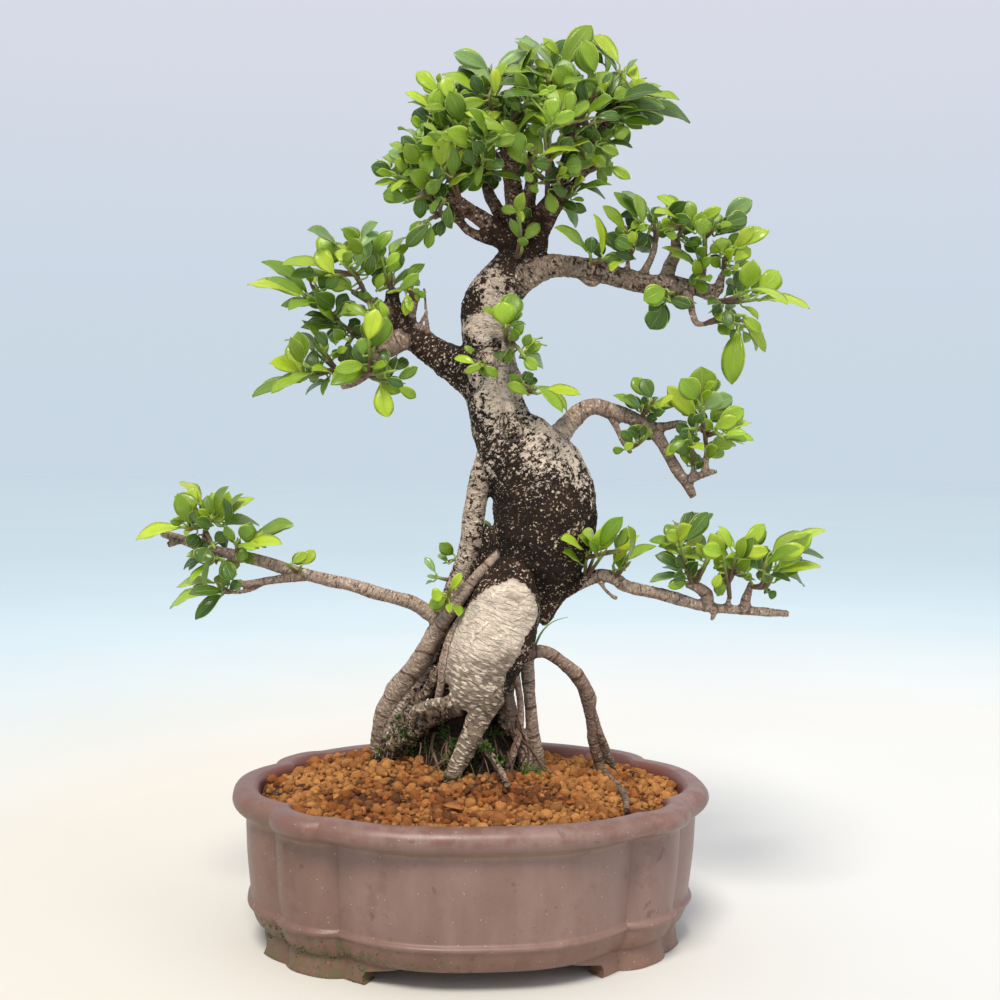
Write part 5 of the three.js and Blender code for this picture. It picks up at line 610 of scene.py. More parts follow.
        "stems": [[(-49, 480, -4), (-52, 489, -9), (-60, 488, -12)]],
        "leaves": [(-60, 490, -42, 507, 8, "g"), (-52, 487, -56, 468, 8, "y")],
        "small": [(-56, 490, -45, 493, 6, "g"), (-49, 487, -41, 482, 5, "g")],
    },
    "right_fan": {
        "stems": [[(109, 512, -9), (110, 520, -13), (108, 532, -16)]],
        "leaves": [
            (107, 534, 90, 552, 9, "g"), (109, 519, 92, 531, 12, "d"), (107, 513, 91, 513, 8, "d"),
            (114, 522, 123, 532, 10, "d"),
        ],
        "small": [(106, 511, 97, 504, 6, "y"), (107, 525, 103, 538, 9, "g"), (109, 533, 117, 541, 6, "y")],
    },
    "right_spire": {
        "stems": [[(130, 526, -10), (128, 541, -16)], [(129, 534, -13), (119, 540, -16)]],
        "leaves": [
            (116, 543, 98, 562, 9, "g"), (126, 546, 104, 563, 6, "p"), (124, 531, 119, 518, 11, "d"),
        ],
        "small": [(128, 543, 132, 552, 9, "p"), (132, 534, 141, 541, 8, "g")],
    },
    "right_crest": {
        "stems": [[(144, 527, 2), (149, 536, -8), (151, 545, -12)], [(149, 536, -8), (140, 541, -12)]],
        "leaves": [
            (147, 547, 130, 560, 8, "y"), (139, 545, 152, 556, 10, "d"), (149, 549, 127, 542, 7, "y"),
            (157, 541, 153, 557, 10, "g"), (151, 531, 156, 546, 14, "d"), (152, 528, 161, 519, 11, "d"),
        ],
        "small": [(138, 536, 148, 539, 6, "y"), (140, 530, 132, 538, 9, "d")],
    },
    "right_spray": {
        "stems": [[(167, 509, -9), (167, 520, -13), (167, 535, -16)], [(167, 530, -15), (178, 541, -12)]],
        "side": [[(166, 504, -8), (162, 500, -16)]],
        "leaves": [
            (161, 541, 178, 552, 9, "y"), (181, 545, 201, 558, 14, "p"), (168, 535, 173, 549, 14, "p"),
            (177, 533, 197, 546, 12, "d"), (168, 516, 176, 524, 8, "y"), (160, 508, 135, 522, 7, "y"),
        ],
        "small": [(170, 534, 186, 540, 5, "g"), (163, 503, 167, 516, 8, "g"), (160, 497, 169, 489, 8, "g")],
    },
    "right_cluster": {
        "stems": [[(181, 504, -7), (183, 514, -13), (191, 521, -15)]],
        "leaves": [
            (183, 517, 179, 530, 11, "y"), (185, 520, 191, 534, 9, "g"), (193, 523, 214, 536, 9, "y"),
            (187, 513, 201, 522, 10, "y"), (179, 507, 171, 517, 9, "d"),
        ],
        "small": [(190, 508, 201, 512, 5, "y"), (185, 504, 195, 500, 6, "g")],
    },
    "right_tip": {
        "stems": [[(178, 483, -9), (188, 482, -12), (203, 484, -14)]],
        "leaves": [
            (194, 486, 197, 504, 11, "d"), (208, 489, 222, 506, 16, "y"), (207, 484, 246, 479, 8, "y"),
            (182, 485, 190, 494, 9, "d"),
        ],
        "small": [(194, 481, 208, 470, 5, "y"), (181, 480, 174, 472, 8, "g")],
    },
    "right_hang": {
        "stems": [[(168, 466, -12), (182, 468, -16), (197, 465, -18)]],
        "leaves": [
            (193, 463, 189, 421, 16, "g"), (185, 466, 193, 453, 9, "d"), (199, 464, 214, 446, 8, "y"),
            (175, 469, 178, 480, 8, "d"),
        ],
        "small": [(178, 466, 186, 458, 8, "g"), (196, 463, 201, 453, 7, "g"), (182, 470, 191, 475, 6, "g")],
    },
    "right_under": {
        "stems": [[(134, 485, -12), (139, 483, -16)]],
        "leaves": [
            (138, 481, 127, 461, 17, "d"), (135, 483, 126, 475, 9, "d"), (141, 482, 159, 481, 9, "d"),
        ],
    },
    "right_inner": {
        "stems": [[(83, 508, -8), (82, 512, -14)]],
        "leaves": [(82, 513, 82, 529, 10, "d"), (79, 518, 55, 536, 9, "g")],
    },
    "mid_rise": {
        "stems": [[(122, 395, -8), (125, 402, -14), (126, 407, -15)]],
        "leaves": [(126, 409, 115, 425, 11, "g"), (120, 400, 101, 412, 6, "g")],
        "small": [
            (125, 404, 123, 411, 5, "d"), (129, 403, 148, 404, 5, "g"), (131, 396, 148, 405, 4, "g"),
            (124, 396, 134, 394, 8, "d"),
        ],
    },
    "mid_drop": {
        "stems": [[(112, 373, -9), (117, 373, -13), (121, 377, -14)]],
        "leaves": [
            (116, 377, 107, 385, 8, "d"), (113, 372, 101, 370, 6, "g"), (122, 378, 123, 389, 7, "d"),
        ],
        "small": [(118, 379, 117, 389, 7, "g")],
    },
    "mid_crest": {
        "stems": [
            [(171, 376, -10), (170, 390, -16), (168, 405, -18)],
            [(171, 382, -12), (179, 384, -18), (185, 381, -18)], [(170, 388, -15), (163, 386, -20)],
        ],
        "leaves": [
            (168, 411, 166, 434, 21, "g"), (163, 395, 141, 419, 14, "y"), (166, 400, 154, 419, 11, "g"),
            (173, 403, 190, 412, 14, "p"), (180, 391, 199, 403, 14, "y"), (173, 393, 182, 405, 9, "g"),
            (162, 387, 159, 399, 8, "d"), (162, 384, 148, 391, 9, "d"), (174, 375, 192, 377, 9, "y"),
            (188, 381, 207, 380, 6, "y"),
        ],
        "small": [
            (169, 412, 177, 423, 5, "y"), (176, 387, 167, 394, 9, "g"), (183, 384, 205, 393, 5, "y"),
            (174, 366, 185, 371, 7, "g"),
        ],
    },
    "mid_low": {
        "stems": [[(162, 358, -10), (162, 366, -15), (160, 378, -19)]],
        "leaves": [
            (160, 366, 148, 382, 14, "d"), (157, 379, 141, 367, 7, "y"), (162, 358, 158, 372, 9, "g"),
        ],
        "small": [(158, 374, 169, 372, 5, "y"), (164, 357, 170, 363, 5, "d")],
    },
    "low_left_main": {
        "stems": [
            [(-205, 301, -11), (-204, 308, -15), (-200, 315, -17)], [(-204, 308, -15), (-218, 307, -18)],
            [(-204, 308, -15), (-207, 322, -14)], [(-204, 304, -13), (-199, 293, -20)],
        ],
        "leaves": [
            (-218, 309, -213, 337, 12, "y"), (-208, 325, -223, 341, 6, "y"), (-215, 308, -213, 323, 7, "d"),
            (-220, 307, -257, 297, 9, "y"), (-211, 302, -217, 292, 9, "d"), (-203, 310, -212, 320, 8, "g"),
            (-197, 315, -196, 334, 11, "y"), (-193, 315, -187, 334, 10, "y"),
            (-192, 312, -168, 330, 8, "y"), (-201, 294, -207, 279, 17, "d"),
        ],
        "small": [
            (-220, 309, -231, 311, 6, "g"), (-202, 319, -207, 328, 8, "y"), (-190, 310, -177, 333, 5, "g"),
            (-197, 296, -189, 303, 9, "d"),
        ],
    },
    "low_left_inner": {
        "stems": [[(-180, 288, -8), (-179, 294, -14)]],
        "leaves": [
            (-181, 293, -189, 308, 7, "g"), (-174, 296, -170, 311, 13, "g"), (-171, 294, -138, 310, 8, "y"),
            (-173, 291, -157, 298, 6, "g"), (-175, 289, -168, 280, 8, "g"),
        ],
    },
    "low_left_hang": {
        "stems": [[(-196, 287, -8), (-196, 282, -15)]],
        "leaves": [
            (-202, 284, -221, 275, 6, "d"), (-199, 280, -217, 264, 6, "y"), (-192, 281, -184, 268, 12, "g"),
        ],
    },
    "low_left_twig": {
        "stems": [[(-186, 258, -18), (-193, 258, -20)]],
        "leaves": [
            (-192, 260, -187, 271, 7, "g"), (-197, 259, -231, 245, 7, "y"), (-191, 256, -212, 237, 9, "d"),
            (-186, 260, -176, 265, 7, "d"),
        ],
    },
    "low_left_single": {
        "stems": [[(-134, 273, -10), (-133, 276, -15)]],
        "leaves": [(-133, 277, -122, 291, 9, "y")],
    },
    "low_right_sprout": {
        "stems": [[(82, 272, -9), (83, 289, -17)], [(83, 289, -17), (97, 293, -18)]],
        "leaves": [(85, 293, 105, 315, 14, "y"), (98, 296, 100, 313, 9, "g"), (80, 295, 64, 303, 6, "y")],
        "small": [(81, 283, 66, 293, 5, "g")],
    },
    "low_right_shoot": {
        "stems": [[(104, 273, -10), (104, 280, -16)]],
        "leaves": [(103, 283, 122, 307, 7, "y"), (108, 281, 110, 296, 9, "g")],
    },
    "low_right_left": {
        "stems": [[(164, 269, -15), (158, 282, -20), (152, 298, -23)], [(166, 270, -15), (174, 286, -20)]],
        "leaves": [
            (151, 302, 142, 315, 10, "g"), (153, 303, 157, 317, 8, "g"), (156, 303, 174, 325, 13, "d"),
            (149, 301, 130, 303, 6, "g"), (171, 288, 141, 298, 9, "g"), (157, 298, 170, 307, 8, "y"),
            (154, 282, 135, 292, 8, "d"), (171, 283, 163, 273, 10, "d"), (160, 272, 145, 268, 7, "g"),
        ],
        "small": [(173, 290, 166, 301, 8, "y"), (160, 277, 161, 292, 9, "d"), (155, 277, 131, 272, 5, "p")],
    },
    "low_right_mid": {
        "stems": [
            [(192, 260, -11), (191, 272, -16), (190, 286, -19)], [(191, 272, -16), (200, 290, -18)],
            [(195, 279, -17), (205, 276, -22)],
        ],
        "leaves": [
            (186, 291, 176, 309, 12, "y"), (195, 298, 181, 311, 7, "y"), (188, 276, 183, 262, 8, "g"),
            (200, 296, 217, 317, 12, "y"), (203, 290, 210, 306, 8, "g"), (205, 286, 220, 300, 8, "g"),
            (205, 279, 204, 293, 9, "y"),
        ],
        "small": [(184, 284, 197, 293, 10, "y"), (192, 284, 186, 274, 8, "d")],
    },
    "low_right_end": {
        "stems": [[(207, 269, -12), (219, 269, -16), (225, 280, -18)]],
        "leaves": [
            (221, 277, 216, 300, 9, "d"), (229, 292, 253, 310, 14, "y"), (228, 283, 243, 294, 10, "y"),
            (229, 280, 260, 286, 7, "y"),
        ],
        "small": [
            (234, 294, 262, 314, 6, "y"), (223, 272, 243, 281, 5, "g"), (219, 267, 227, 262, 7, "d"),
            (216, 272, 214, 282, 7, "d"),
        ],
    },
    "trunk_shoot": {
        "stems": [[(19, 449, -20), (19, 461, -30)], [(19, 450, -21), (26, 448, -30), (32, 442, -33)]],
        "leaves": [
            (19, 463, 26, 486, 17, "g"), (17, 464, 1, 475, 6, "g"), (25, 453, 31, 464, 8, "g"),
            (34, 442, 46, 449, 7, "g"), (34, 439, 48, 432, 9, "p"),
        ],
        "small": [(21, 464, 32, 476, 5, "g"), (34, 443, 50, 448, 4, "y"), (24, 444, 20, 434, 6, "g")],
    },
    "trunk_blade": {
        "stems": [[(37, 413, -25), (42, 412, -32)]],
        "leaves": [(44, 412, 76, 412, 8, "y"), (39, 411, 21, 419, 8, "g")],
        "small": [(39, 415, 42, 424, 5, "d")],
    },
    "trunk_side": {
        "stems": [[(2, 438, -20), (0, 434, -29)]],
        "leaves": [(1, 433, 14, 424, 7, "g"), (-2, 433, -19, 437, 6, "y")],
    },
    "root_sprout": {
        "stems": [[(-21, 244, -15), (-20, 258, -23)]],
        "leaves": [(-19, 262, -11, 276, 7, "y"), (-22, 257, -35, 249, 11, "g")],
        "small": [(-19, 253, -12, 243, 5, "y")],
    },
}


# Places

def seen(points):
    """From the front elevation to space: a point further back is spread from the eye."""
    points = np.atleast_2d(np.asarray(points, float))
    back = points[:, 2] + TREE_BACK
    spread = 1 - back / EYE[1]
    across = EYE[0] + (points[:, 0] - EYE[0]) * spread
    up = EYE[2] + (points[:, 1] - EYE[2]) * spread
    return np.stack([across, back, up], 1)


def placed(points):
    """From the view's frame to the part's, still in millimetres."""
    points = np.asarray(points, float)
    cos, sin = math.cos(-POT_TURN), math.sin(-POT_TURN)
    x = points[..., 0] * cos - points[..., 1] * sin
    y = points[..., 0] * sin + points[..., 1] * cos
    return np.stack([x, y, points[..., 2]], -1) + POT_MIDDLE


def draws_from(seed):
    """Random draws from 0 to 1, the same in every run."""
    state = int(seed) % DRAW_LIMIT
    while True:
        state = state * DRAW_FACTOR % DRAW_LIMIT
        yield state / DRAW_LIMIT


def pick(choices, draw):
    """One of several, by the next draw."""
    return choices[int(next(draw) * (len(choices) - 0.001))]


def unit(vector):
    return vector / max(np.linalg.norm(vector), 1e-9)


def smooth_step(low, high, value):
    share = np.clip((np.asarray(value, float) - low) / (high - low), 0, 1)
    return share * share * (3 - 2 * share)


def between(marks, value):
    """1 between the two middle marks of four, and 0 past the outer two."""
    return smooth_step(marks[0], marks[1], value) * (1 - smooth_step(marks[2], marks[3], value))


# Meshes

def added(name, data):
    """A new object in the scene."""
    new = bpy.data.objects.new(name, data)
    bpy.context.scene.collection.objects.link(new)
    return new


def set_values(mesh, name, values):
    """Stores four values for each point of a mesh."""
    layer = mesh.attributes.new(name, "FLOAT_COLOR", "POINT")
    layer.data.foreach_set("color", values.astype(np.float32).ravel())


def values_of(mesh, name):
    """The four values stored for each point of a mesh."""
    values = np.zeros(len(mesh.vertices) * 4, np.float32)
    mesh.attributes[name].data.foreach_get("color", values)
    return values.reshape(-1, 4)


class Skin:
    """Collects points, faces, point values and material numbers, and makes them one mesh object."""

    def __init__(self):
        self.points = []
        self.faces = []
        self.values = {}
        self.kinds = []
        self.count = 0

    def add(self, points, faces, kind=0, **values):
        points = np.asarray(points, float)
        self.points.append(points)
        self.faces.append([[i + self.count for i in face] for face in faces])
        self.kinds.extend([kind] * len(faces))
        for name, value in values.items():
            value = np.broadcast_to(np.asarray(value, float), (len(points), 4))
            self.values.setdefault(name, []).append(value)
        self.count += len(points)

    def make(self, name, materials, slot, replaces=()):
        points = np.concatenate(self.points)
        faces = [face for part in self.faces for face in part]
        mesh = bpy.data.meshes.new(name)
        mesh.from_pydata((points * MM).tolist(), [], faces)
        for key, parts in self.values.items():
            set_values(mesh, key, np.concatenate(parts))
        for material in materials:
            mesh.materials.append(material)
        mesh.polygons.foreach_set("material_index", self.kinds)
        mesh.polygons.foreach_set("use_smooth", [True] * len(faces))
        mesh.update()
        piece = added(name, mesh)
        settle(piece, replaces)
        return piece


def settle(piece, replaces=()):
    """Ties a finished piece to the part."""
    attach(piece, "root")
    if replaces:
        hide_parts(*replaces)


def grid_faces(rows, columns, closed):
    """Faces of a grid of points, whose rows run round and close if closed is true."""
    last = columns if closed else columns - 1
    faces = []
    for i in range(rows - 1):
        for j in range(last):
            k = (j + 1) % columns
            faces.append((i * columns + j, i * columns + k, (i + 1) * columns + k, (i + 1) * columns + j))
    return faces


def closed_faces(rows, columns):
    """Faces of a stack of rings, with a cap at both ends."""
    faces = grid_faces(rows, columns, True)
    faces.append(tuple(reversed(range(columns))))
    faces.append(tuple(range((rows - 1) * columns, rows * columns)))
    return faces


def tube(centres, radii, sides):
    """Points and faces of a tube round a line of centres, its section carried along without twist."""
    centres = np.asarray(centres, float)
    headings = np.gradient(centres, axis=0)
    across = np.array([0.0, -1.0, 0.02])
    rings = []
    for centre, heading, radius in zip(centres, headings, radii):
        heading = unit(heading)
        across = unit(across - heading * np.dot(across, heading))
        up = np.cross(heading, across)
        angles = np.arange(sides) * 2 * math.pi / sides
        rings.append(centre + radius * (np.cos(angles)[:, None] * across + np.sin(angles)[:, None] * up))
    return np.concatenate(rings), closed_faces(len(rings), sides)


class Curve:
    """A smooth curve through points, with spans timed by the root of their length."""

    def __init__(self, points):
        self.points = np.asarray(points, float)
        self.marks = np.linspace(0, 1, 201)
        line = self.at(self.marks)
        steps = np.linalg.norm(np.diff(line, axis=0), axis=1)
        self.lengths = np.concatenate([[0], np.cumsum(steps)])
        self.length = self.lengths[-1]

    def at(self, times):
        count = len(self.points)
        place = np.clip(np.asarray(times, float), 0, 1) * (count - 1)
        span = np.minimum(np.floor(place).astype(int), count - 2)
        share = (place - span)[:, None]
        first = 2 * self.points[0] - self.points[1]
        last = 2 * self.points[-1] - self.points[-2]
        line = np.concatenate([[first], self.points, [last]])
        p0, p1, p2, p3 = line[span], line[span + 1], line[span + 2], line[span + 3]
        d0 = np.linalg.norm(p1 - p0, axis=1)[:, None] ** 0.5
        d1 = np.linalg.norm(p2 - p1, axis=1)[:, None] ** 0.5
        d2 = np.linalg.norm(p3 - p2, axis=1)[:, None] ** 0.5
        t1 = ((p1 - p0) / d0 - (p2 - p0) / (d0 + d1) + (p2 - p1) / d1) * d1
        t2 = ((p2 - p1) / d1 - (p3 - p1) / (d1 + d2) + (p3 - p2) / d2) * d1
        c2 = -3 * p1 + 3 * p2 - 2 * t1 - t2
        c3 = 2 * p1 - 2 * p2 + t1 + t2
        return p1 + t1 * share + c2 * share ** 2 + c3 * share ** 3

    def times(self, count):
        """Times of points evenly spaced along the curve."""
        return np.interp(np.linspace(0, self.length, count), self.lengths, self.marks)


def stations(line, step):
    """Centres and radii along a limb, evenly spaced."""
    curve = Curve(seen([point[:3] for point in line]))
    spans = len(line) - 1
    count = max(3 if spans > 1 else 2, math.floor(curve.length / step + 0.5) + 1)
    times = curve.times(count)
    radii = np.interp(times * spans, np.arange(spans + 1), [point[3] for point in line])
    return curve.at(times), radii


# Leaf placement, the same as the solids'

def nearest_on_stems(stems, x, z):
    """The place on the stems that is nearest in the elevation, with its depth."""
    best = None
    shortest = math.inf
    for stem in stems:
        for (ax, az, ad), (bx, bz, bd) in zip(stem, stem[1:]):
            dx, dz = bx - ax, bz - az
            length = dx * dx + dz * dz
            raw = ((x - ax) * dx + (z - az) * dz) / length if length > 0 else 0
            t = min(1, max(0, raw))
            gap = (ax + t * dx - x) ** 2 + (az + t * dz - z) ** 2
            if gap < shortest:
                shortest = gap
                best = (ax + t * dx, az + t * dz, ad + t * (bd - ad))
    return best


def leaf_frame(stems, row, base_shift, tip_shift):
    """A leaf in space: where its stalk starts, its blade's base, axis, length, width and facing."""
    base_x, base_z, tip_x, tip_z, seen_width = row[:5]
    foot = nearest_on_stems(stems, base_x, base_z)
    start = seen(foot)[0]
    tip = seen((tip_x, tip_z, foot[2] + base_shift + tip_shift))[0]
    stalk = seen((base_x, base_z, foot[2] + base_shift))[0] - start
    short = STALK_LENGTH - np.linalg.norm(stalk)
    if short > 0:
        stalk = unit(stalk + unit(tip - start) * short) * STALK_LENGTH
    base = start + stalk
    axis = tip - base
    length = np.linalg.norm(axis)
    axis = axis / length
    width = max(seen_width, BLADE_WIDTH * length)
    front = np.array([0.0, -1.0, 0.0])
    front = unit(front - axis * np.dot(front, axis))
    aside = np.cross(axis, front)
    if aside[2] < 0:
        aside = -aside
    tilt = math.acos(seen_width / width)
    facing = front * math.cos(tilt) + aside * math.sin(tilt)
    side = np.cross(facing, axis)
    return {"start": start, "base": base, "axis": axis, "length": length, "width": width,
            "facing": facing, "side": side}


def probes(leaf):
    """Points spread over a blade, to see how near it is to something."""
    share, out = [grid.ravel() for grid in np.meshgrid(PROBE_SHARES, PROBE_SIDES, indexing="ij")]
    reach = leaf["width"] / 2 * np.sin(math.pi * share ** 0.86) ** 0.8 * out
    lift = BLADE_ARCH * leaf["length"] * 4 * share * (1 - share) + BLADE_FOLD * np.abs(reach)
    return (leaf["base"] + np.outer(leaf["length"] * share, leaf["axis"])
            + np.outer(reach, leaf["side"]) + np.outer(lift, leaf["facing"]))


class Crowd:
    """The points that are already taken, each with the distance to keep from it."""

    def __init__(self):
        self.points = np.zeros((CROWD_SIZE, 3))
        self.keeps = np.zeros(CROWD_SIZE)
        self.count = 0

    def add(self, points, keeps):
        end = self.count + len(points)
        self.points[self.count:end] = points
        self.keeps[self.count:end] = keeps
        self.count = end

    def room(self, leaf, points):
        """How much room a blade has; under 0 it is too near."""
        taken = self.points[:self.count]
        near = np.linalg.norm(taken - leaf["base"], axis=1) < leaf["length"] + CROWD_REACH
        if not near.any():
            return math.inf
        gaps = np.linalg.norm(taken[near][:, None] - points[None], axis=2)
        return (gaps - self.keeps[:self.count][near][:, None]).min()


def place_leaf(stems, row, crowd, back=0):
    """A leaf swings to and fro in depth until it is clear of those placed before it. Its place in the
    elevation decides its draws."""
    key = abs(7 * row[0] + 13 * row[1] + 29 * row[2] + 31 * row[3])
    draw = draws_from(SEED + math.floor(10 * key + 0.5))
    next(draw)
    base_shift = 5 * next(draw) - 3.5 + back / 2
    first_swing = SWING * (2 * next(draw) - 1)
    best = None
    for swing in SWINGS:
        leaf = leaf_frame(stems, row, base_shift, first_swing + swing * SWING + back)
        points = probes(leaf)
        room = crowd.room(leaf, points)
        if best is None or room > best[1]:
            best = (leaf, room, points)
        if room > 0:
            break
    crowd.add(best[2], LEAF_CLEARANCE)
    best[0]["tone"] = row[5]
    best[0]["room"] = best[1]
    return best[0]


def crowd_of_wood():
    """Points along the middle of the wood, with the distance to keep from each."""
    crowd = Crowd()
    for step, line in LIMBS.values():
        centres, radii = stations(line, step)
        for a, b, low, high in zip(centres, centres[1:], radii, radii[1:]):
            count = math.ceil(np.linalg.norm(b - a) / PROBE_STEP)
            shares = np.arange(count + 1) / count
            crowd.add(a + np.outer(shares, b - a), low + shares * (high - low) + WOOD_CLEARANCE)
    return crowd


def all_stems(spray):
    """A shoot's stems and side stems."""
    return spray["stems"] + spray.get("side", [])


def place_all_leaves():
    """Every leaf of every shoot: those of the solids first, then the small ones and the inner ones."""
    crowd = crowd_of_wood()
    placed_leaves = {name: [] for name in SPRAYS}
    for name, spray in SPRAYS.items():
        placed_leaves[name] += [place_leaf(spray["stems"], row, crowd) for row in spray["leaves"]]
    for name, spray in SPRAYS.items():
        if not name.startswith("crown"):
            rows = spray["leaves"][2::BACK_EVERY]
            placed_leaves[name] += [place_leaf(spray["stems"], row, crowd, BACK_DEPTH) for row in rows]
    for name, spray in SPRAYS.items():
        placed_leaves[name] += [place_leaf(all_stems(spray), row, crowd) for row in spray.get("small", [])]
    return placed_leaves, crowd


# Materials

class Shader:
    """A material's node tree, with short calls for the nodes used here."""

    def __init__(self, name):
        self.material = bpy.data.materials.new(name)
        self.material.use_nodes = True
        self.tree = self.material.node_tree
        self.tree.nodes.clear()
        self.output = self.node("ShaderNodeOutputMaterial")

    def node(self, kind, **settings):
        node = self.tree.nodes.new(kind)
        for key, value in settings.items():
            setattr(node, key, value)
        return node

    def feed(self, socket, value):
        if isinstance(value, bpy.types.NodeSocket):
            self.tree.links.new(value, socket)
        else:
            socket.default_value = value

    def attribute(self, name, output="Color"):
        return self.node("ShaderNodeAttribute", attribute_name=name).outputs[output]

    def parts(self, colour):
        node = self.node("ShaderNodeSeparateColor")
        self.feed(node.inputs[0], colour)
        return node.outputs[0], node.outputs[1], node.outputs[2]

    def place(self, stretch=(1, 1, 1), source=None):
        """Object coordinates in metres, or another vector, stretched."""
        if source is None:
            source = self.node("ShaderNodeTexCoord").outputs["Object"]
        node = self.node("ShaderNodeVectorMath", operation="MULTIPLY")
        self.feed(node.inputs[0], source)
        node.inputs[1].default_value = stretch
        return node.outputs[0]

    def noise(self, scale, place, detail=3.0, roughness=0.55, output=0):
        node = self.node("ShaderNodeTexNoise")
        self.feed(node.inputs["Vector"], place)
        node.inputs["Scale"].default_value = scale
        node.inputs["Detail"].default_value = detail
        node.inputs["Roughness"].default_value = roughness
        return node.outputs[output]

    def warp(self, place, scale, amount):
        """Coordinates pushed about by noise."""
        push = self.node("ShaderNodeVectorMath", operation="MULTIPLY_ADD")
        self.feed(push.inputs[0], self.noise(scale, place, 2.0, output=1))
        push.inputs[1].default_value = (amount, amount, amount)
        self.feed(push.inputs[2], place)
        return push.outputs[0]

    def axis(self, vector, which):
        node = self.node("ShaderNodeSeparateXYZ")
        self.feed(node.inputs[0], vector)
        return node.outputs[which]

    def cells(self, scale, place, feature="F1", output="Distance"):
        node = self.node("ShaderNodeTexVoronoi", feature=feature)
        self.feed(node.inputs["Vector"], place)
        node.inputs["Scale"].default_value = scale
        return node.outputs[output]

    def step(self, value, low, high, start=0.0, end=1.0):
        node = self.node("ShaderNodeMapRange", interpolation_type="SMOOTHSTEP")
        self.feed(node.inputs["Value"], value)
        node.inputs["From Min"].default_value = low
        node.inputs["From Max"].default_value = high
        node.inputs["To Min"].default_value = start
        node.inputs["To Max"].default_value = end
        return node.outputs["Result"]

    def math(self, operation, a, b=0.0):
        node = self.node("ShaderNodeMath", operation=operation)
        self.feed(node.inputs[0], a)
        self.feed(node.inputs[1], b)
        return node.outputs[0]

    def times(self, a, b):
        return self.math("MULTIPLY", a, b)

    def plus(self, a, b):
        return self.math("ADD", a, b)

    def minus(self, a, b):
        return self.math("SUBTRACT", a, b)

    def total(self, *layers):
        """The sum of values, each times its own amount."""
        whole = 0.0
        for value, amount in layers:
            whole = self.plus(whole, self.times(value, amount))
        return whole

    def mix(self, share, a, b, blend="MIX"):
        node = self.node("ShaderNodeMix", data_type="RGBA", blend_type=blend)
        self.feed(node.inputs[0], share)
        self.feed(node.inputs[6], a if isinstance(a, bpy.types.NodeSocket) else (*a, 1))
        self.feed(node.inputs[7], b if isinstance(b, bpy.types.NodeSocket) else (*b, 1))
        return node.outputs[2]

    def bump(self, height, distance, strength=1.0):
        node = self.node("ShaderNodeBump")
        self.feed(node.inputs["Height"], height)
        node.inputs["Distance"].default_value = distance
        node.inputs["Strength"].default_value = strength
        return node.outputs[0]

    def surface(self, colour, roughness, normal=None, **sockets):
        node = self.node("ShaderNodeBsdfPrincipled")
        self.feed(node.inputs["Base Color"], colour)
        self.feed(node.inputs["Roughness"], roughness)
        if normal is not None:
            self.feed(node.inputs["Normal"], normal)
        for name, value in sockets.items():
            node.inputs[name.replace("_", " ")].default_value = value
        self.feed(self.output.inputs["Surface"], node.outputs[0])
        return self.material


def leaf_material():
    """Glossy blades. The value 'blade' holds share of the length, place across, underside, own draw."""
    s = Shader("leaf")
    tint = s.attribute("tint")
    along, across, under = s.parts(s.attribute("blade"))
    own = s.attribute("blade", "Alpha")
    off = s.math("ABSOLUTE", s.minus(across, 0.5))
    rib = s.step(off, 0.008, 0.03, 1.0, 0.0)
    margin = s.step(off, 0.44, 0.475, 0.0, 1.0)
    ribs = s.math("SINE", s.times(s.minus(along, s.times(off, 0.42)), 82))
    veins = s.step(ribs, 0.55, 1.0)
    blotch = s.noise(90, s.place(), 3.0)
    brighter = s.mix(1.0, tint, (1.35, 1.25, 1.1), "MULTIPLY")
    colour = s.mix(s.step(blotch, 0.35, 0.7, 0.0, 0.5), tint, brighter)
    colour = s.mix(s.step(along, 0.0, 0.35, 0.25, 0.0), colour, brighter)
    colour = s.mix(s.times(veins, 0.1), colour, (0.3, 0.46, 0.06))
    colour = s.mix(s.times(margin, 0.8), colour, (0.6, 0.7, 0.15))
    colour = s.mix(s.times(rib, 0.38), colour, (0.42, 0.52, 0.1))
    paler = s.mix(0.45, colour, (0.2, 0.32, 0.09))
    colour = s.mix(s.step(under, 0.6, 0.95), colour, paler)
    rough = s.step(own, 0.0, 1.0, 0.22, 0.36)
    rough = s.plus(rough, s.step(under, 0.6, 0.95, 0.0, 0.22))
    height = s.minus(s.times(veins, -0.25), rib)
    return s.surface(colour, rough, s.bump(height, 0.00035, 0.7), Specular_IOR_Level=0.45,
                     Subsurface_Weight=0.15, Subsurface_Radius=(0.35, 0.8, 0.1), Subsurface_Scale=0.0022)


def shoot_material():
    """Green stems and stalks, with the colour in 'tint'."""
    s = Shader("shoot")
    tint = s.attribute("tint")
    streak = s.noise(600, s.place((1, 1, 0.4)), 3.0)
    colour = s.mix(s.step(streak, 0.4, 0.7, 0.0, 0.35), tint, s.mix(0.6, tint, (0.16, 0.1, 0.04)))
    return s.surface(colour, 0.45, s.bump(streak, 0.0004, 0.4))


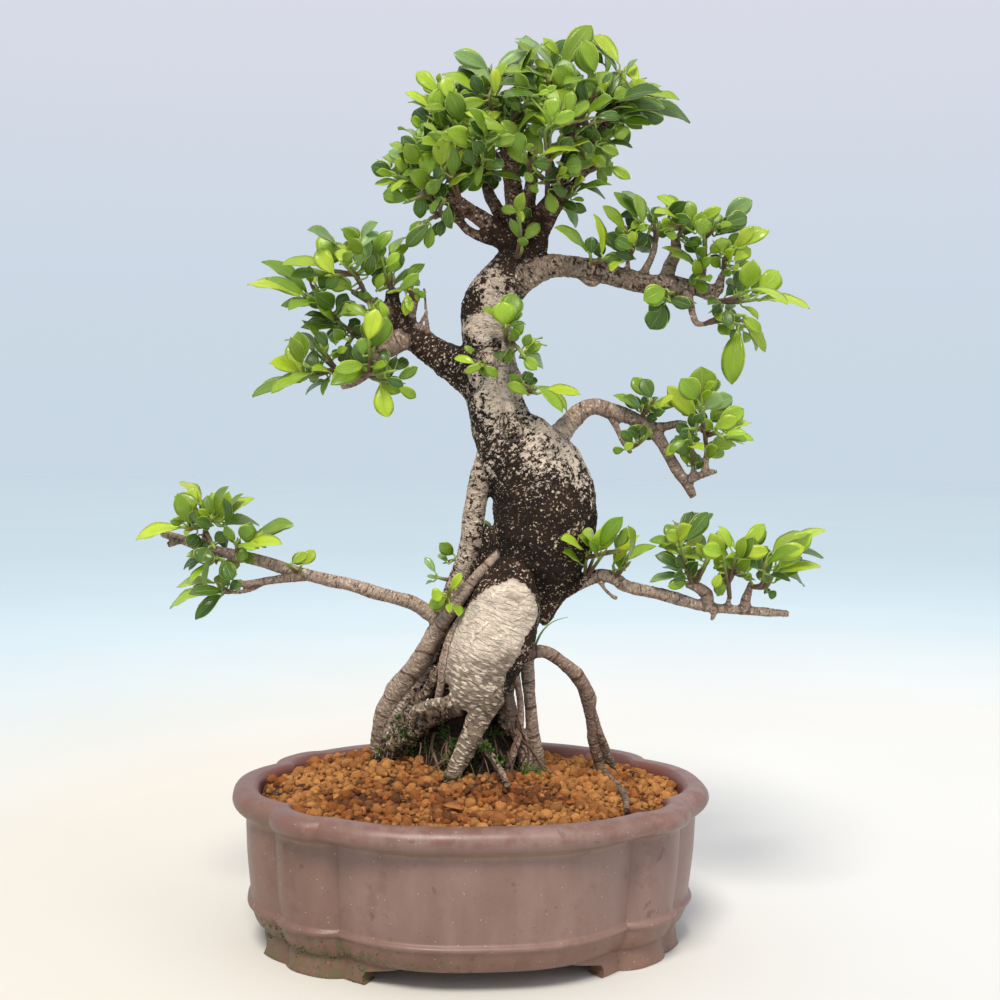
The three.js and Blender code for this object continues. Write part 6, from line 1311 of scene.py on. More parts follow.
def bark_material():
    """Bark. 'bark' holds blackness, paleness, moss, redness; 'coat' netting, rings, knobs, dots."""
    s = Shader("bark")
    black, pale, moss = s.parts(s.attribute("bark"))
    red = s.attribute("bark", "Alpha")
    net, rings, knobs = s.parts(s.attribute("coat"))
    dotted = s.attribute("coat", "Alpha")
    place = s.place()
    grain = s.warp(s.attribute("grain", "Vector"), 90, 0.004)
    fine = s.noise(1100, place, 3.0, 0.65)
    broad = s.noise(70, place, 4.0, 0.6)
    brown = s.mix(broad, (0.13, 0.068, 0.044), (0.32, 0.195, 0.135))
    brown = s.mix(red, brown, s.mix(broad, (0.09, 0.034, 0.021), (0.24, 0.105, 0.065)))
    grey = s.mix(broad, (0.64, 0.505, 0.4), (0.9, 0.77, 0.64))
    ground = s.mix(pale, brown, grey)
    ground = s.mix(s.step(fine, 0.35, 0.75, 0.0, 0.28), ground, s.mix(0.5, ground, (0.03, 0.02, 0.015)))

    # Short dark and pale dashes across the limb.
    across = s.place((1, 1, 3.4), grain)
    dark_dash = s.step(s.noise(230, across, 2.5, 0.6), 0.56, 0.63)
    dark_dash = s.times(dark_dash, s.times(dotted, s.step(net, 0.2, 0.9, 0.8, 0.15)))
    ground = s.mix(dark_dash, ground, (0.06, 0.038, 0.026))
    shifted = s.place((1, 1, 3.2), s.warp(grain, 30, 0.02))
    pale_dash = s.step(s.noise(270, shifted, 2.5, 0.55), 0.55, 0.62)
    cream = s.mix(pale, (0.6, 0.46, 0.33), (0.82, 0.72, 0.57))
    lifted = s.mix(s.times(pale_dash, s.step(pale, 0.1, 0.8, 0.25, 0.85)), ground, cream)

    # Dots, each its own size.
    seeds = s.place((1, 1, 1.5), grain)
    size = s.parts(s.cells(330, seeds, output="Color"))[0]
    dot = s.math("LESS_THAN", s.cells(330, seeds), s.times(s.times(size, 0.5), dotted))
    lifted = s.mix(s.times(dot, 0.85), lifted, (0.66, 0.54, 0.4))

    # Net of raised creamy lines.
    waved = s.warp(s.attribute("grain", "Vector"), 55, 0.006)
    lines = s.step(s.cells(92, s.place((0.5, 0.5, 2.6), waved), "DISTANCE_TO_EDGE"), 0.03, 0.11, 1.0, 0.0)
    wrinkle = s.math("SINE", s.times(s.axis(waved, 2), 1500))
    lines = s.math("MAXIMUM", lines, s.step(wrinkle, 0.72, 0.98, 0.0, 0.7))
    lines = s.times(lines, net)
    broken = s.step(s.noise(190, s.place((1, 1, 1.6), grain), 3.0), 0.4, 0.56)
    lifted = s.mix(s.times(s.times(lines, broken), 0.9), lifted, (0.88, 0.79, 0.6))
    shade = s.step(s.noise(46, s.place((1, 1, 1.6), grain), 4.0, 0.7), 0.5, 0.68, 0.0, 0.6)
    lifted = s.mix(s.times(shade, net), lifted, (0.24, 0.17, 0.115))

    # Knobs, and painted shade darkening the hollows between them.
    knob = s.step(s.cells(230, s.place((0.75, 0.75, 1.9), grain), "SMOOTH_F1"), 0.2, 0.46, 1.0, 0.0)
    knob = s.times(knob, knobs)
    lifted = s.mix(s.times(knob, 0.35), lifted, s.mix(pale, (0.4, 0.3, 0.2), (0.85, 0.74, 0.52)))
    # Painted shade: the low hollows between the knobs are darkened.
    knob_hollow_shade = s.minus(knobs, s.times(knob, 1.6))
    lifted = s.mix(s.step(knob_hollow_shade, 0.05, 0.9, 0.0, 0.75), lifted, (0.13, 0.088, 0.044))

    # Ring scars.
    length = s.axis(s.attribute("grain", "Vector"), 2)
    turns = s.plus(s.times(length, 290), s.times(s.noise(22, place, 1.0), 9))
    ring = s.step(s.math("SINE", turns), 0.955, 0.99)
    ring = s.times(ring, rings)
    lifted = s.mix(s.times(ring, 0.8), lifted, (0.1, 0.042, 0.025))

    # Black crust with pale flecks.
    patch = s.noise(210, s.place((1, 1, 1.4), grain), 5.0, 0.72)
    drift = s.noise(45, place, 3.0)
    level = s.plus(patch, s.times(s.minus(drift, 0.5), 0.35))
    level = s.minus(level, s.times(s.minus(0.5, black), 0.5))
    soot = s.step(level, 0.5, 0.545)
    crust = s.mix(s.step(drift, 0.4, 0.65), (0.004, 0.003, 0.0025), (0.02, 0.011, 0.006))
    crust = s.mix(red, crust, s.mix(broad, (0.02, 0.008, 0.005), (0.1, 0.042, 0.024)))
    crust = s.mix(s.step(fine, 0.45, 0.7, 0.0, 0.5), crust, s.mix(0.4, crust, (0.12, 0.075, 0.045)))
    sooty = s.mix(soot, lifted, crust)
    flecks = s.place((1, 1, 1.35), s.warp(grain, 520, 0.0035))
    chosen = s.parts(s.cells(520, flecks, output="Color"))[1]
    reach = s.times(s.step(chosen, 0.4, 0.95), s.step(drift, 0.3, 0.7, 0.25, 0.7))
    reach = s.times(reach, s.step(dotted, 0.0, 0.4, 0.3, 1.0))
    fleck = s.math("LESS_THAN", s.cells(520, flecks), reach)
    tone = s.parts(s.cells(520, flecks, output="Color"))[2]
    tone = s.mix(tone, (0.16, 0.09, 0.05), s.mix(chosen, (0.4, 0.3, 0.2), (0.78, 0.66, 0.5)))
    sooty = s.mix(s.times(fleck, soot), sooty, tone)

    green = s.mix(s.step(fine, 0.45, 0.7), (0.007, 0.008, 0.004), (0.1, 0.13, 0.02))
    cover = s.minus(s.noise(150, place, 5.0, 0.75), s.times(moss, 0.24))
    cover = s.times(s.step(cover, 0.26, 0.4, 0.9, 0.0), s.step(moss, 0.0, 0.1))
    colour = s.mix(cover, sooty, green)
    height = s.total((pale_dash, 0.35), (fine, 0.4), (soot, -0.25), (dark_dash, -0.4), (dot, 0.5),
                     (fleck, 0.5), (lines, 1.1), (knob, 1.5), (ring, -0.6), (patch, 0.8))
    return s.surface(colour, 0.8, s.bump(height, 0.0012), Specular_IOR_Level=0.22)


def clay_material():
    """Unglazed stoneware. 'wear' holds groove, inside, moss and lip."""
    s = Shader("stoneware")
    groove, inside, moss = s.parts(s.attribute("wear"))
    lip = s.attribute("wear", "Alpha")
    place = s.place()
    broad = s.noise(14, place, 4.0, 0.55)
    smear = s.noise(40, s.place((1, 1, 0.35)), 4.0, 0.6)
    fine = s.noise(1500, place, 2.0)
    base = s.mix(broad, (0.152, 0.082, 0.063), (0.245, 0.152, 0.126))
    base = s.mix(s.step(smear, 0.35, 0.7, 0.0, 0.6), base, (0.265, 0.17, 0.144))
    blot = s.step(s.noise(30, place, 5.0, 0.7), 0.52, 0.68)
    base = s.mix(s.times(blot, 0.4), base, (0.14, 0.066, 0.048))
    spot = s.step(s.noise(85, place, 2.0), 0.68, 0.72)
    base = s.mix(s.times(spot, 0.5), base, (0.11, 0.05, 0.037))
    left = s.step(s.axis(place, 0), -0.2, -0.04, 1.0, 0.0)
    base = s.mix(s.times(left, s.step(broad, 0.3, 0.6, 0.6, 1.0)), base, (0.74, 0.62, 0.52), "MULTIPLY")
    base = s.mix(s.step(s.axis(place, 2), 0.02, 0.045, 1.0, 0.0), base, (0.86, 0.74, 0.62), "MULTIPLY")
    tan = s.step(s.plus(s.times(groove, 0.5), s.noise(24, place, 4.0, 0.65)), 0.68, 1.05, 0.0, 0.5)
    base = s.mix(tan, base, (0.3, 0.195, 0.12))
    worn = s.step(s.noise(60, place, 5.0, 0.7), 0.4, 0.62, 0.0, 0.75)
    base = s.mix(s.times(lip, worn), base, (0.17, 0.075, 0.055))
    base = s.mix(inside, base, (0.15, 0.05, 0.035))
    pits = s.step(s.cells(210, place), 0.05, 0.11, 1.0, 0.0)
    pits = s.times(pits, s.step(s.noise(120, place, 1.0), 0.52, 0.6))
    base = s.mix(s.times(pits, 0.75), base, (0.05, 0.03, 0.025))
    dusty = s.place((1.02, 1.01, 1.03))
    chosen = s.step(s.parts(s.cells(260, dusty, output="Color"))[0], 0.6, 0.7)
    dust = s.times(s.step(s.cells(260, dusty), 0.08, 0.15, 1.0, 0.0), chosen)
    base = s.mix(s.times(dust, 0.6), base, (0.55, 0.46, 0.39))
    rust = s.step(s.noise(55, s.place((1, 1, 1.3)), 3.0), 0.7, 0.74)
    base = s.mix(s.times(rust, 0.4), base, (0.24, 0.085, 0.045))
    mossy = s.minus(s.noise(190, place, 6.0, 0.8), s.times(moss, 0.12))
    mossy = s.times(s.step(mossy, 0.33, 0.42, 0.85, 0.0), s.step(moss, 0.0, 0.15))
    base = s.mix(mossy, base, s.mix(fine, (0.035, 0.035, 0.014), (0.16, 0.16, 0.06)))
    rough = s.plus(s.step(smear, 0.3, 0.75, 0.34, 0.5), s.times(mossy, 0.4))
    height = s.total((fine, 0.35), (smear, 0.5), (pits, -1.0))
    return s.surface(base, rough, s.bump(height, 0.0007, 0.55), Specular_IOR_Level=0.55)


def grain_material():
    """Baked clay granules, with the colour in 'tint'."""
    s = Shader("granules")
    tint = s.attribute("tint")
    fine = s.noise(900, s.place(), 5.0, 0.7)
    colour = s.mix(s.step(fine, 0.3, 0.6, 0.7, 0.0), tint, s.mix(0.65, tint, (0.1, 0.035, 0.01)))
    colour = s.mix(s.step(fine, 0.55, 0.75, 0.0, 0.5), colour, s.mix(0.5, tint, (0.66, 0.4, 0.18)))
    return s.surface(colour, 0.92, s.bump(fine, 0.0022, 1.0), Specular_IOR_Level=0.25)


def bed_material():
    """Dark soil under the granules."""
    s = Shader("soil_bed")
    fine = s.noise(420, s.place(), 5.0, 0.7)
    colour = s.mix(fine, (0.02, 0.009, 0.004), (0.13, 0.055, 0.02))
    return s.surface(colour, 0.95, s.bump(fine, 0.003, 1.0))


def screen_material():
    """Black plastic mesh."""
    s = Shader("screen")
    fine = s.noise(300, s.place(), 2.0)
    mesh = s.cells(260, s.place(), "DISTANCE_TO_EDGE")
    colour = s.mix(fine, (0.012, 0.012, 0.012), (0.03, 0.03, 0.03))
    return s.surface(colour, 0.6, s.bump(mesh, 0.0008, 0.6))


def moss_material():
    """Moss, grass and rootlets, with the colour in 'tint'."""
    s = Shader("moss")
    tint = s.attribute("tint")
    fine = s.noise(800, s.place(), 2.0)
    colour = s.mix(s.step(fine, 0.3, 0.7, 0.0, 0.4), tint, (0.02, 0.03, 0.008))
    return s.surface(colour, 0.7, s.bump(fine, 0.0005, 0.4))


def set_ramp(ramp, tones, reach):
    """Gives a colour ramp its tones, each at a place out of a whole reach."""
    stops = ramp.color_ramp.elements
    for _ in tones[2:]:
        stops.new(0.5)
    for stop, (place, tone) in zip(stops, tones):
        stop.position = place / reach
        stop.color = (*tone, 1)


def floor_material():
    """The pale floor: cream round the pot, warmer on the left, and bluer far off."""
    s = Shader("floor")
    away = s.node("ShaderNodeVectorMath", operation="DISTANCE")
    s.feed(away.inputs[0], s.place())
    away.inputs[1].default_value = FLOOR_MIDDLE
    ramp = s.node("ShaderNodeValToRGB")
    s.feed(ramp.inputs[0], s.math("DIVIDE", away.outputs["Value"], FLOOR_REACH))
    set_ramp(ramp, FLOOR_TONES, FLOOR_REACH)
    uneven = s.step(s.noise(3, s.place(), 2.0), 0.3, 0.7, 0.0, 0.04)
    colour = s.mix(uneven, ramp.outputs[0], (0.3, 0.3, 0.3))
    side = s.step(s.axis(s.place(), 0), -0.4, 0.5)
    near = s.step(away.outputs["Value"], 0.8, 1.5, 1.0, 0.0)
    tinge = s.mix(side, (1.0, 0.965, 0.92), (0.98, 1.0, 1.03))
    colour = s.mix(near, colour, s.mix(1.0, colour, tinge, "MULTIPLY"))
    return s.surface(colour, 0.95, Specular_IOR_Level=0.1)


# Pot

def crease(pair, softness, half_x, half_y):
    """Where a crease lies, between its sharp and its softened place."""
    sharp, soft = pair
    return np.array([
        (sharp[0] + (soft[0] - sharp[0]) * softness) * half_x,
        (sharp[1] + (soft[1] - sharp[1]) * softness) * half_y,
    ])


def lobe(start, end, bulge, shares):
    """Points of one lobe of the outline, from crease to crease, bulged out with full shoulders."""
    along = end - start
    outward = unit(np.array([along[1], -along[0]]))
    heights = bulge * (1 - np.abs(2 * shares - 1) ** LOBE_FULLNESS)
    return start + np.outer(shares, along) + np.outer(heights, outward)


def lobed_outline(half_x, half_y, softness):
    """The outline, anticlockwise from the left crease of the front lobe."""
    a = crease(FRONT_CREASE, softness, half_x, half_y)
    b = crease(END_CREASE, softness, half_x, half_y)
    corners = np.array([
        [-a[0], -a[1]], [a[0], -a[1]], [b[0], -b[1]], [b[0], b[1]],
        [a[0], a[1]], [-a[0], a[1]], [-b[0], b[1]], [-b[0], -b[1]],
    ])
    kinds = ["front", "corner", "end", "corner"] * 2
    bulges = {"front": half_y - a[1], "end": half_x - b[0], "corner": CORNER_BULGE * half_x}
    parts = []
    for i, kind in enumerate(kinds):
        evenly = np.arange(LOBE_SIDES[kind]) / LOBE_SIDES[kind]
        shares = 0.5 - 0.5 * np.cos(math.pi * evenly) * (0.72 + 0.28 * np.abs(np.cos(math.pi * evenly)))
        parts.append(lobe(corners[i], corners[(i + 1) % 8], bulges[kind], shares))
    return np.concatenate(parts)


def finer_levels(levels, steps):
    """Levels with others between them on a smooth curve."""
    table = np.array(levels, float)
    count = len(table) - 1
    padded = np.concatenate([[2 * table[0] - table[1]], table, [2 * table[-1] - table[-2]]])
    rows = []
    for i in range(count):
        p0, p1, p2, p3 = padded[i:i + 4]
        for t in np.arange(steps) / steps:
            bend = 0.5 * ((2 * p1) + (p2 - p0) * t + (2 * p0 - 5 * p1 + 4 * p2 - p3) * t ** 2
                          + (3 * p1 - p0 - 3 * p2 + p3) * t ** 3)
            straight = p1 + (p2 - p1) * t
            rows.append(0.75 * bend + 0.25 * straight)
    rows.append(table[-1])
    rows = np.array(rows)
    rows[:, 3] = np.clip(rows[:, 3], 0, 1)
    rows[:, 1:3] = np.maximum(rows[:, 1:3], 0)
    return rows


def pot_wear(points, inside_from):
    """Groove, inside, moss and lip for each point of the pot."""
    x, y, z = points.T
    angle = np.arctan2(y / POT_HALF_Y, x / POT_HALF_X)
    groove = np.maximum(0.7 * between(LIP_GROOVE, z), 0.35 * between(WAIST_GROOVE, z))
    lip = smooth_step(104, 110, z)
    to_left = smooth_step(math.radians(28), math.radians(75), np.abs(angle + math.pi * 0.78) * -1 + 1.6)
    moss = to_left * (1 - smooth_step(16, 44, z)) + 0.12 * (1 - smooth_step(10, 30, z))
    inside = np.zeros(len(points))
    inside[inside_from:] = 1
    return np.stack([groove, inside, np.clip(moss, 0, 1), lip], 1)


def foot(sign_x, sign_y):
    """One foot: a curved wall that follows the pot's outline round a corner."""
    rings = []
    for z, half_x, half_y, end_x, end_y in finer_feet():
        a = crease(FRONT_CREASE, 0, half_x, half_y) * (1, -1)
        b = crease(END_CREASE, 0, half_x, half_y) * (1, -1)
        front_share = (end_x + a[0]) / (2 * a[0])
        end_share = (b[1] + end_y) / (2 * b[1])
        left = np.array([-a[0], a[1]])
        top = np.array([b[0], -b[1]])
        front = lobe(left, a, half_y + a[1], np.linspace(front_share, 1, 12)[:-1])
        corner = lobe(a, b, CORNER_BULGE * half_x, np.linspace(0, 1, 13)[:-1])
        end = lobe(b, top, half_x - b[0], np.linspace(0, end_share, 12))
        outer = np.concatenate([front, corner, end])
        inner = outer * ((half_x - FOOT_THICKNESS) / half_x, (half_y - FOOT_THICKNESS) / half_y)
        ring = np.concatenate([outer, inner[::-1]]) * (sign_x, sign_y)
        if sign_x * sign_y < 0:
            ring = ring[::-1]
        rings.append(np.column_stack([ring, np.full(len(ring), z)]))
    return np.concatenate(rings), closed_faces(len(rings), len(rings[0]))


def finer_feet():
    """The feet's levels with one more between each two."""
    table = np.array(FOOT_LEVELS, float)
    heights = np.concatenate([np.linspace(a, b, 3)[:-1] for a, b in zip(table[:, 0], table[1:, 0])])
    heights = np.append(heights, table[-1, 0])
    return [np.concatenate([[z], [np.interp(z, table[:, 0], column) for column in table.T[1:]]])
            for z in heights]


def make_pot():
    """The pot with its feet and drain holes."""
    levels = finer_levels(POT_LEVELS, LEVEL_STEPS)
    lip_top = int(np.argmax(levels[:, 0]))
    rings = []
    for z, in_x, in_y, softness in levels:
        outline = lobed_outline(POT_HALF_X - in_x, POT_HALF_Y - in_y, softness)
        rings.append(np.column_stack([outline, np.full(len(outline), z)]))
    columns = len(rings[0])
    points = np.concatenate(rings)
    skin = Skin()
    skin.add(points + POT_MIDDLE, closed_faces(len(rings), columns),
             wear=pot_wear(points, (lip_top + INSIDE_AFTER) * columns))
    for sign_x in (1, -1):
        for sign_y in (1, -1):
            foot_points, foot_faces = foot(sign_x, sign_y)
            skin.add(foot_points + POT_MIDDLE, foot_faces, wear=pot_wear(foot_points, len(foot_points)))
    pot = skin.make("stoneware_pot", [clay_material()], "stoneware", ["pot"])
    cut_drains(pot)
    round_shading(pot, SHARP_DEGREES)
    return pot


def cut_drains(pot):
    """Cuts the drain holes through the floor."""
    skin = Skin()
    for x in (-DRAIN_X, DRAIN_X):
        centres = np.array([[x, 0, z] for z in DRAIN_HEIGHTS]) + POT_MIDDLE
        skin.add(*tube(centres, [DRAIN_RADIUS] * len(centres), DRAIN_SIDES), wear=(0, 1, 0, 0))
    cutter = skin.make("drain_cutter", [], "stoneware")
    cut = pot.modifiers.new("drains", "BOOLEAN")
    cut.operation = "DIFFERENCE"
    cut.object = cutter
    apply_modifiers(pot)
    bpy.data.objects.remove(cutter)


def apply_modifiers(piece):
    """Turns a piece's modifiers into its mesh."""
    graph = bpy.context.evaluated_depsgraph_get()
    mesh = bpy.data.meshes.new_from_object(piece.evaluated_get(graph))
    piece.modifiers.clear()
    piece.data = mesh


def round_shading(piece, degrees):
    """Smooth shading, apart from edges sharper than an angle."""
    piece.data.polygons.foreach_set("use_smooth", [True] * len(piece.data.polygons))
    piece.data.set_sharp_from_angle(angle=math.radians(degrees))


# Wood

# The limbs of the root piece; all others make the trunk piece.
ROOTS = (
    "root_core", "core_left", "pale_root", "pale_leg", "finger_root", "low_left_root", "brown_root",
    "inner_root", "green_root", "right_column", "thin_root_a", "thin_root_b", "front_root", "arch_root",
    "arch_leg",
)
# Spacing of the rings, their corners and how far they stand over the limb's own radius, the size of the
# skin's cells, rounds of smoothing, and the share of the triangles kept, first the trunk's.
WOOD_STEP = 2.0
WOOD_SIDES = 28
WOOD_OVER = 0.25
WOOD_VOXEL = 1.25
EASE_ROUNDS = 6
TRUNK_KEEP = 0.6
ROOT_KEEP = 0.75
# Limbs a little slimmer than their solid, since their bark is smooth.
SLIMMER = {"slant_root": 0.88}
# The pale part of the thick root in the front elevation, from its left edge over its top to its right.
PALE_EDGE = (
    (-60, 150), (-60, 208), (-23, 210), (-19.5, 221), (-12, 244), (-2, 256), (14, 268), (28, 273.5),
    (37, 268), (44, 258), (48, 243), (39, 226), (34, 214), (26, 202), (22, 187), (24, 170), (14, 90),
    (-60, 90),
)
EDGE_SOFTNESS = 1.6
BLEND_ROUNDS = 8
# Radius from which a limb's bark has its full relief.
FULL_RELIEF = 14
# Heights between which the bark changes: towards the soil, in the lower half of the roots, and up the
# root mass to the trunk.
NEAR_SOIL = (112, 160)
LOWER_HALF = (195, 235)
MASS_TOP = (165, 225)
# Columns of the bark's values.
BLACK, PALE, MOSS, NET, KNOBS = 0, 1, 2, 4, 6
# Blackness, paleness, moss, redness, then netting, rings, knobs and dots of each kind of bark.
BARKS = {
    "pale": (0.04, 1.0, 0.0, 0.0, 1.0, 0.0, 0.25, 0.3),
    "leg": (0.12, 0.75, 0.3, 0.2, 0.5, 0.0, 0.8, 0.7),
    "trunk": (0.4, 0.85, 0.0, 0.0, 0.2, 0.0, 0.1, 1.0),
    "soot": (0.98, 0.2, 0.0, 0.2, 0.0, 0.0, 0.2, 0.4),
    "core": (1.0, 0.0, 0.3, 0.15, 0.0, 0.0, 0.8, 0.0),
    "arm": (0.44, 0.3, 0.0, 0.6, 0.1, 0.1, 0.5, 1.0),
    "sooty_arm": (0.78, 0.35, 0.0, 0.4, 0.0, 0.1, 0.3, 1.0),
    "arch": (0.1, 0.22, 0.03, 0.72, 0.0, 0.9, 0.25, 0.8),
    "crown": (0.5, 0.05, 0.0, 0.95, 0.0, 0.1, 0.3, 1.0),
    "column": (0.46, 0.6, 0.0, 0.3, 0.3, 0.6, 0.3, 1.0),
    "root": (0.16, 0.36, 0.06, 0.5, 0.1, 0.9, 0.3, 0.9),
    "grey": (0.16, 0.34, 0.0, 0.2, 0.0, 0.3, 0.1, 1.0),
    "brown": (0.22, 0.25, 0.0, 0.45, 0.0, 0.6, 0.15, 0.9),
    "green": (0.5, 0.3, 0.4, 0.2, 0.2, 0.0, 0.7, 0.4),
}
UPPER_MASS = (0.94, 0.3, 0.0, 0.2, 0.0, 0.0, 0.2, 1.0)
# Kinds of bark by limb; the crown's other limbs have the crown's, and the rest the brown one.
BARK_OF = {
    "pale_root": "pale", "pale_leg": "leg", "finger_root": "leg", "trunk": "trunk", "flank": "soot",
    "core_left": "core", "root_core": "core", "root_stubs": "soot", "root_stub_b": "soot",
    "right_up_branch": "arm", "left_up_branch": "sooty_arm", "left_column": "column", "arch_root": "arch",
    "low_left_root": "green", "green_root": "green", "inner_root": "green", "right_low_branch": "grey",
    "left_low_branch": "grey", "slant_root": "root", "right_column": "root", "arch_leg": "arch",
}
# Places of the trunk with their own bark: x, z and reach in the front elevation, and the first four
# values. The limbs named after them keep their own.
PATCHES = (
    (30, 512, 20, (0.95, 0.1, 0, 0.5)), (40, 500, 12, (0.9, 0.2, 0, 0.3)),
    (14, 494, 12, (0.5, 0.6, 0, 0.2)),
    (-9, 476, 9, (0.95, 0.3, 0, 0)), (26, 478, 10, (0.7, 0.5, 0, 0)), (9, 465, 13, (0.1, 0.9, 0, 0)),
    (-10, 440, 9, (0.8, 0.3, 0, 0)), (-18, 430, 12, (0.72, 0.5, 0, 0)), (7, 425, 12, (0.42, 0.9, 0, 0)),
    (16, 408, 10, (0.2, 1.0, 0, 0)), (-2, 398, 9, (0.7, 0.6, 0, 0)), (32, 398, 9, (0.6, 0.7, 0, 0)),
    (16, 380, 14, (0.62, 0.7, 0, 0)), (-2, 368, 14, (0.66, 0.8, 0, 0)), (48, 368, 14, (0.42, 0.9, 0, 0.1)),
    (72, 358, 14, (0.48, 0.9, 0, 0)), (86, 335, 13, (0.78, 0.85, 0, 0)), (20, 352, 15, (0.78, 0.5, 0, 0.1)),
    (48, 345, 14, (0.8, 0.6, 0, 0.2)), (58, 325, 16, (0.95, 0.5, 0, 0.3)),
    (24, 322, 17, (0.95, 0.3, 0, 0.2)), (82, 312, 13, (0.9, 0.5, 0, 0.1)),
    (66, 292, 14, (0.95, 0.2, 0.05, 0.3)), (40, 292, 16, (0.97, 0.3, 0, 0.1)),
    (10.7, 448.8, 3.6, (1.0, 0, 0, 0.5)), (-7.7, 472.3, 3.2, (1.0, 0, 0, 0.5)),
    (-1.9, 437.8, 3, (0.1, 0.4, 0, 0.6)), (52, 268, 18, (0.96, 0.3, 0, 0.2)), (8, 300, 14, (0.98, 0.2, 0, 0)),
    (28, 268, 16, (0.97, 0.2, 0, 0)),
)
UNPATCHED = ("left_column", "slant_root", "right_up_branch")
# How much a limb's own bark counts beside the patches, and how many points are looked up at once.
PATCH_BASE = 0.15
NEAREST_AT_ONCE = 2000


def bark_of(name):
    """A limb's bark values."""
    kind = "crown" if name.startswith("crown") else "brown"
    return BARKS[BARK_OF.get(name, kind)]


def wood_stations():
    """For every limb: centres, radii and bark."""
    lines = {name: line for name, (_, line) in LIMBS.items()} | TWIGS
    table = {}
    for name, line in lines.items():
        centres, radii = stations(line, WOOD_STEP)
        table[name] = (centres, radii * SLIMMER.get(name, 1), bark_of(name))
    return table


def remeshed(name, skin):
    """One smooth closed skin round overlapping tubes."""
    piece = skin.make(name, [], "bark")
    remesh = piece.modifiers.new("remesh", "REMESH")
    remesh.mode = "VOXEL"
    remesh.voxel_size = WOOD_VOXEL * MM
    remesh.use_smooth_shade = True
    ease = piece.modifiers.new("ease", "SMOOTH")
    ease.factor = 0.5
    ease.iterations = EASE_ROUNDS
    apply_modifiers(piece)
    return piece


def nearest_station(points, table, names):
    """For each point the limb, the station and the offset from the axis, by distance to the bark."""
    centres = np.concatenate([placed(table[name][0]) for name in names])
    radii = np.concatenate([table[name][1] for name in names])
    owner = np.concatenate([[i] * len(table[name][1]) for i, name in enumerate(names)])
    best = np.zeros(len(points), int)
    for start in range(0, len(points), NEAREST_AT_ONCE):
        block = slice(start, start + NEAREST_AT_ONCE)
        gaps = np.linalg.norm(points[block, None] - centres[None], axis=2) - radii[None]
        best[block] = gaps.argmin(1)
    return best, owner[best], centres, radii


def limb_frames(table, names):
    """For every station of the named limbs: the axis, two directions across it and the length so far."""
    axes, sides, ups, lengths = [], [], [], []
    for name in names:
        centres = placed(table[name][0])
        headings = np.gradient(centres, axis=0)
        headings /= np.linalg.norm(headings, axis=1)[:, None]
        across = np.array([0.0, -1.0, 0.02])
        done = 0.0
        for i, heading in enumerate(headings):
            across = unit(across - heading * np.dot(across, heading))
            axes.append(heading)
            sides.append(across)
            ups.append(np.cross(heading, across))
            lengths.append(done)
            if i + 1 < len(centres):
                done += np.linalg.norm(centres[i + 1] - centres[i])
    return np.array(axes), np.array(sides), np.array(ups), np.array(lengths)


def dress_bark(piece, table, names):
    """Gives a wood piece its relief, its bark values and its place along the limb."""
    mesh = piece.data
    count = len(mesh.vertices)
    points = np.zeros(count * 3)
    mesh.vertices.foreach_get("co", points)
    points = points.reshape(-1, 3) / MM
    normals = np.zeros(count * 3)
    mesh.vertices.foreach_get("normal", normals)
    normals = normals.reshape(-1, 3)
    best, owner, centres, radii = nearest_station(points, table, names)
    axes, sides, ups, lengths = limb_frames(table, names)
    offset = points - centres[best]
    along = lengths[best] + (offset * axes[best]).sum(1)
    grain = np.stack([(offset * sides[best]).sum(1), (offset * ups[best]).sum(1), along], 1)
    bark = np.array([table[name][2] for name in names])[owner]
    bark = blended(mesh, shade_bark(points, bark, names, owner))
    points = points + normals * bark_relief(points, grain, radii[best], bark)[:, None]
    mesh.vertices.foreach_set("co", (points * MM).ravel())
    set_values(mesh, "bark", bark[:, :4])
    set_values(mesh, "coat", bark[:, 4:])
    layer = mesh.attributes.new("grain", "FLOAT_VECTOR", "POINT")
    layer.data.foreach_set("vector", (grain * MM).astype(np.float32).ravel())
    mesh.update()


def blended(mesh, values):
    """Values evened out over each point's neighbours, so that one bark runs into the next."""
    edges = np.zeros(len(mesh.edges) * 2, int)
    mesh.edges.foreach_get("vertices", edges)
    first, second = edges.reshape(-1, 2).T
    count = len(values)
    share = np.bincount(first, minlength=count) + np.bincount(second, minlength=count)
    for _ in range(BLEND_ROUNDS):
        total = np.zeros_like(values)
        for column in range(values.shape[1]):
            total[:, column] = (np.bincount(first, values[second, column], count)
                                + np.bincount(second, values[first, column], count))
        values = 0.5 * values + 0.5 * total / np.maximum(share, 1)[:, None]
    return values


def elevation(points):
    """Where points show in the front elevation: x and z."""
    cos, sin = math.cos(POT_TURN), math.sin(POT_TURN)
    local = points - POT_MIDDLE
    x = local[:, 0] * cos - local[:, 1] * sin
    y = local[:, 0] * sin + local[:, 1] * cos
    spread = 1 - y / EYE[1]
    return np.stack([EYE[0] + (x - EYE[0]) / spread, EYE[2] + (local[:, 2] - EYE[2]) / spread], 1)


def inside_by(outline, points):
    """How far points lie inside a closed outline, negative outside."""
    start = np.array(outline, float)
    end = np.roll(start, -1, axis=0)
    along = end - start
    gap = np.full(len(points), np.inf)
    turns = np.zeros(len(points), bool)
    for (ax, az), (dx, dz) in zip(start, along):
        x, z = points[:, 0] - ax, points[:, 1] - az
        share = np.clip((x * dx + z * dz) / (dx * dx + dz * dz), 0, 1)
        gap = np.minimum(gap, np.hypot(x - share * dx, z - share * dz))
        if dz:
            turns ^= ((z >= 0) != (z >= dz)) & (x < z * dx / dz)
    return np.where(turns, gap, -gap)


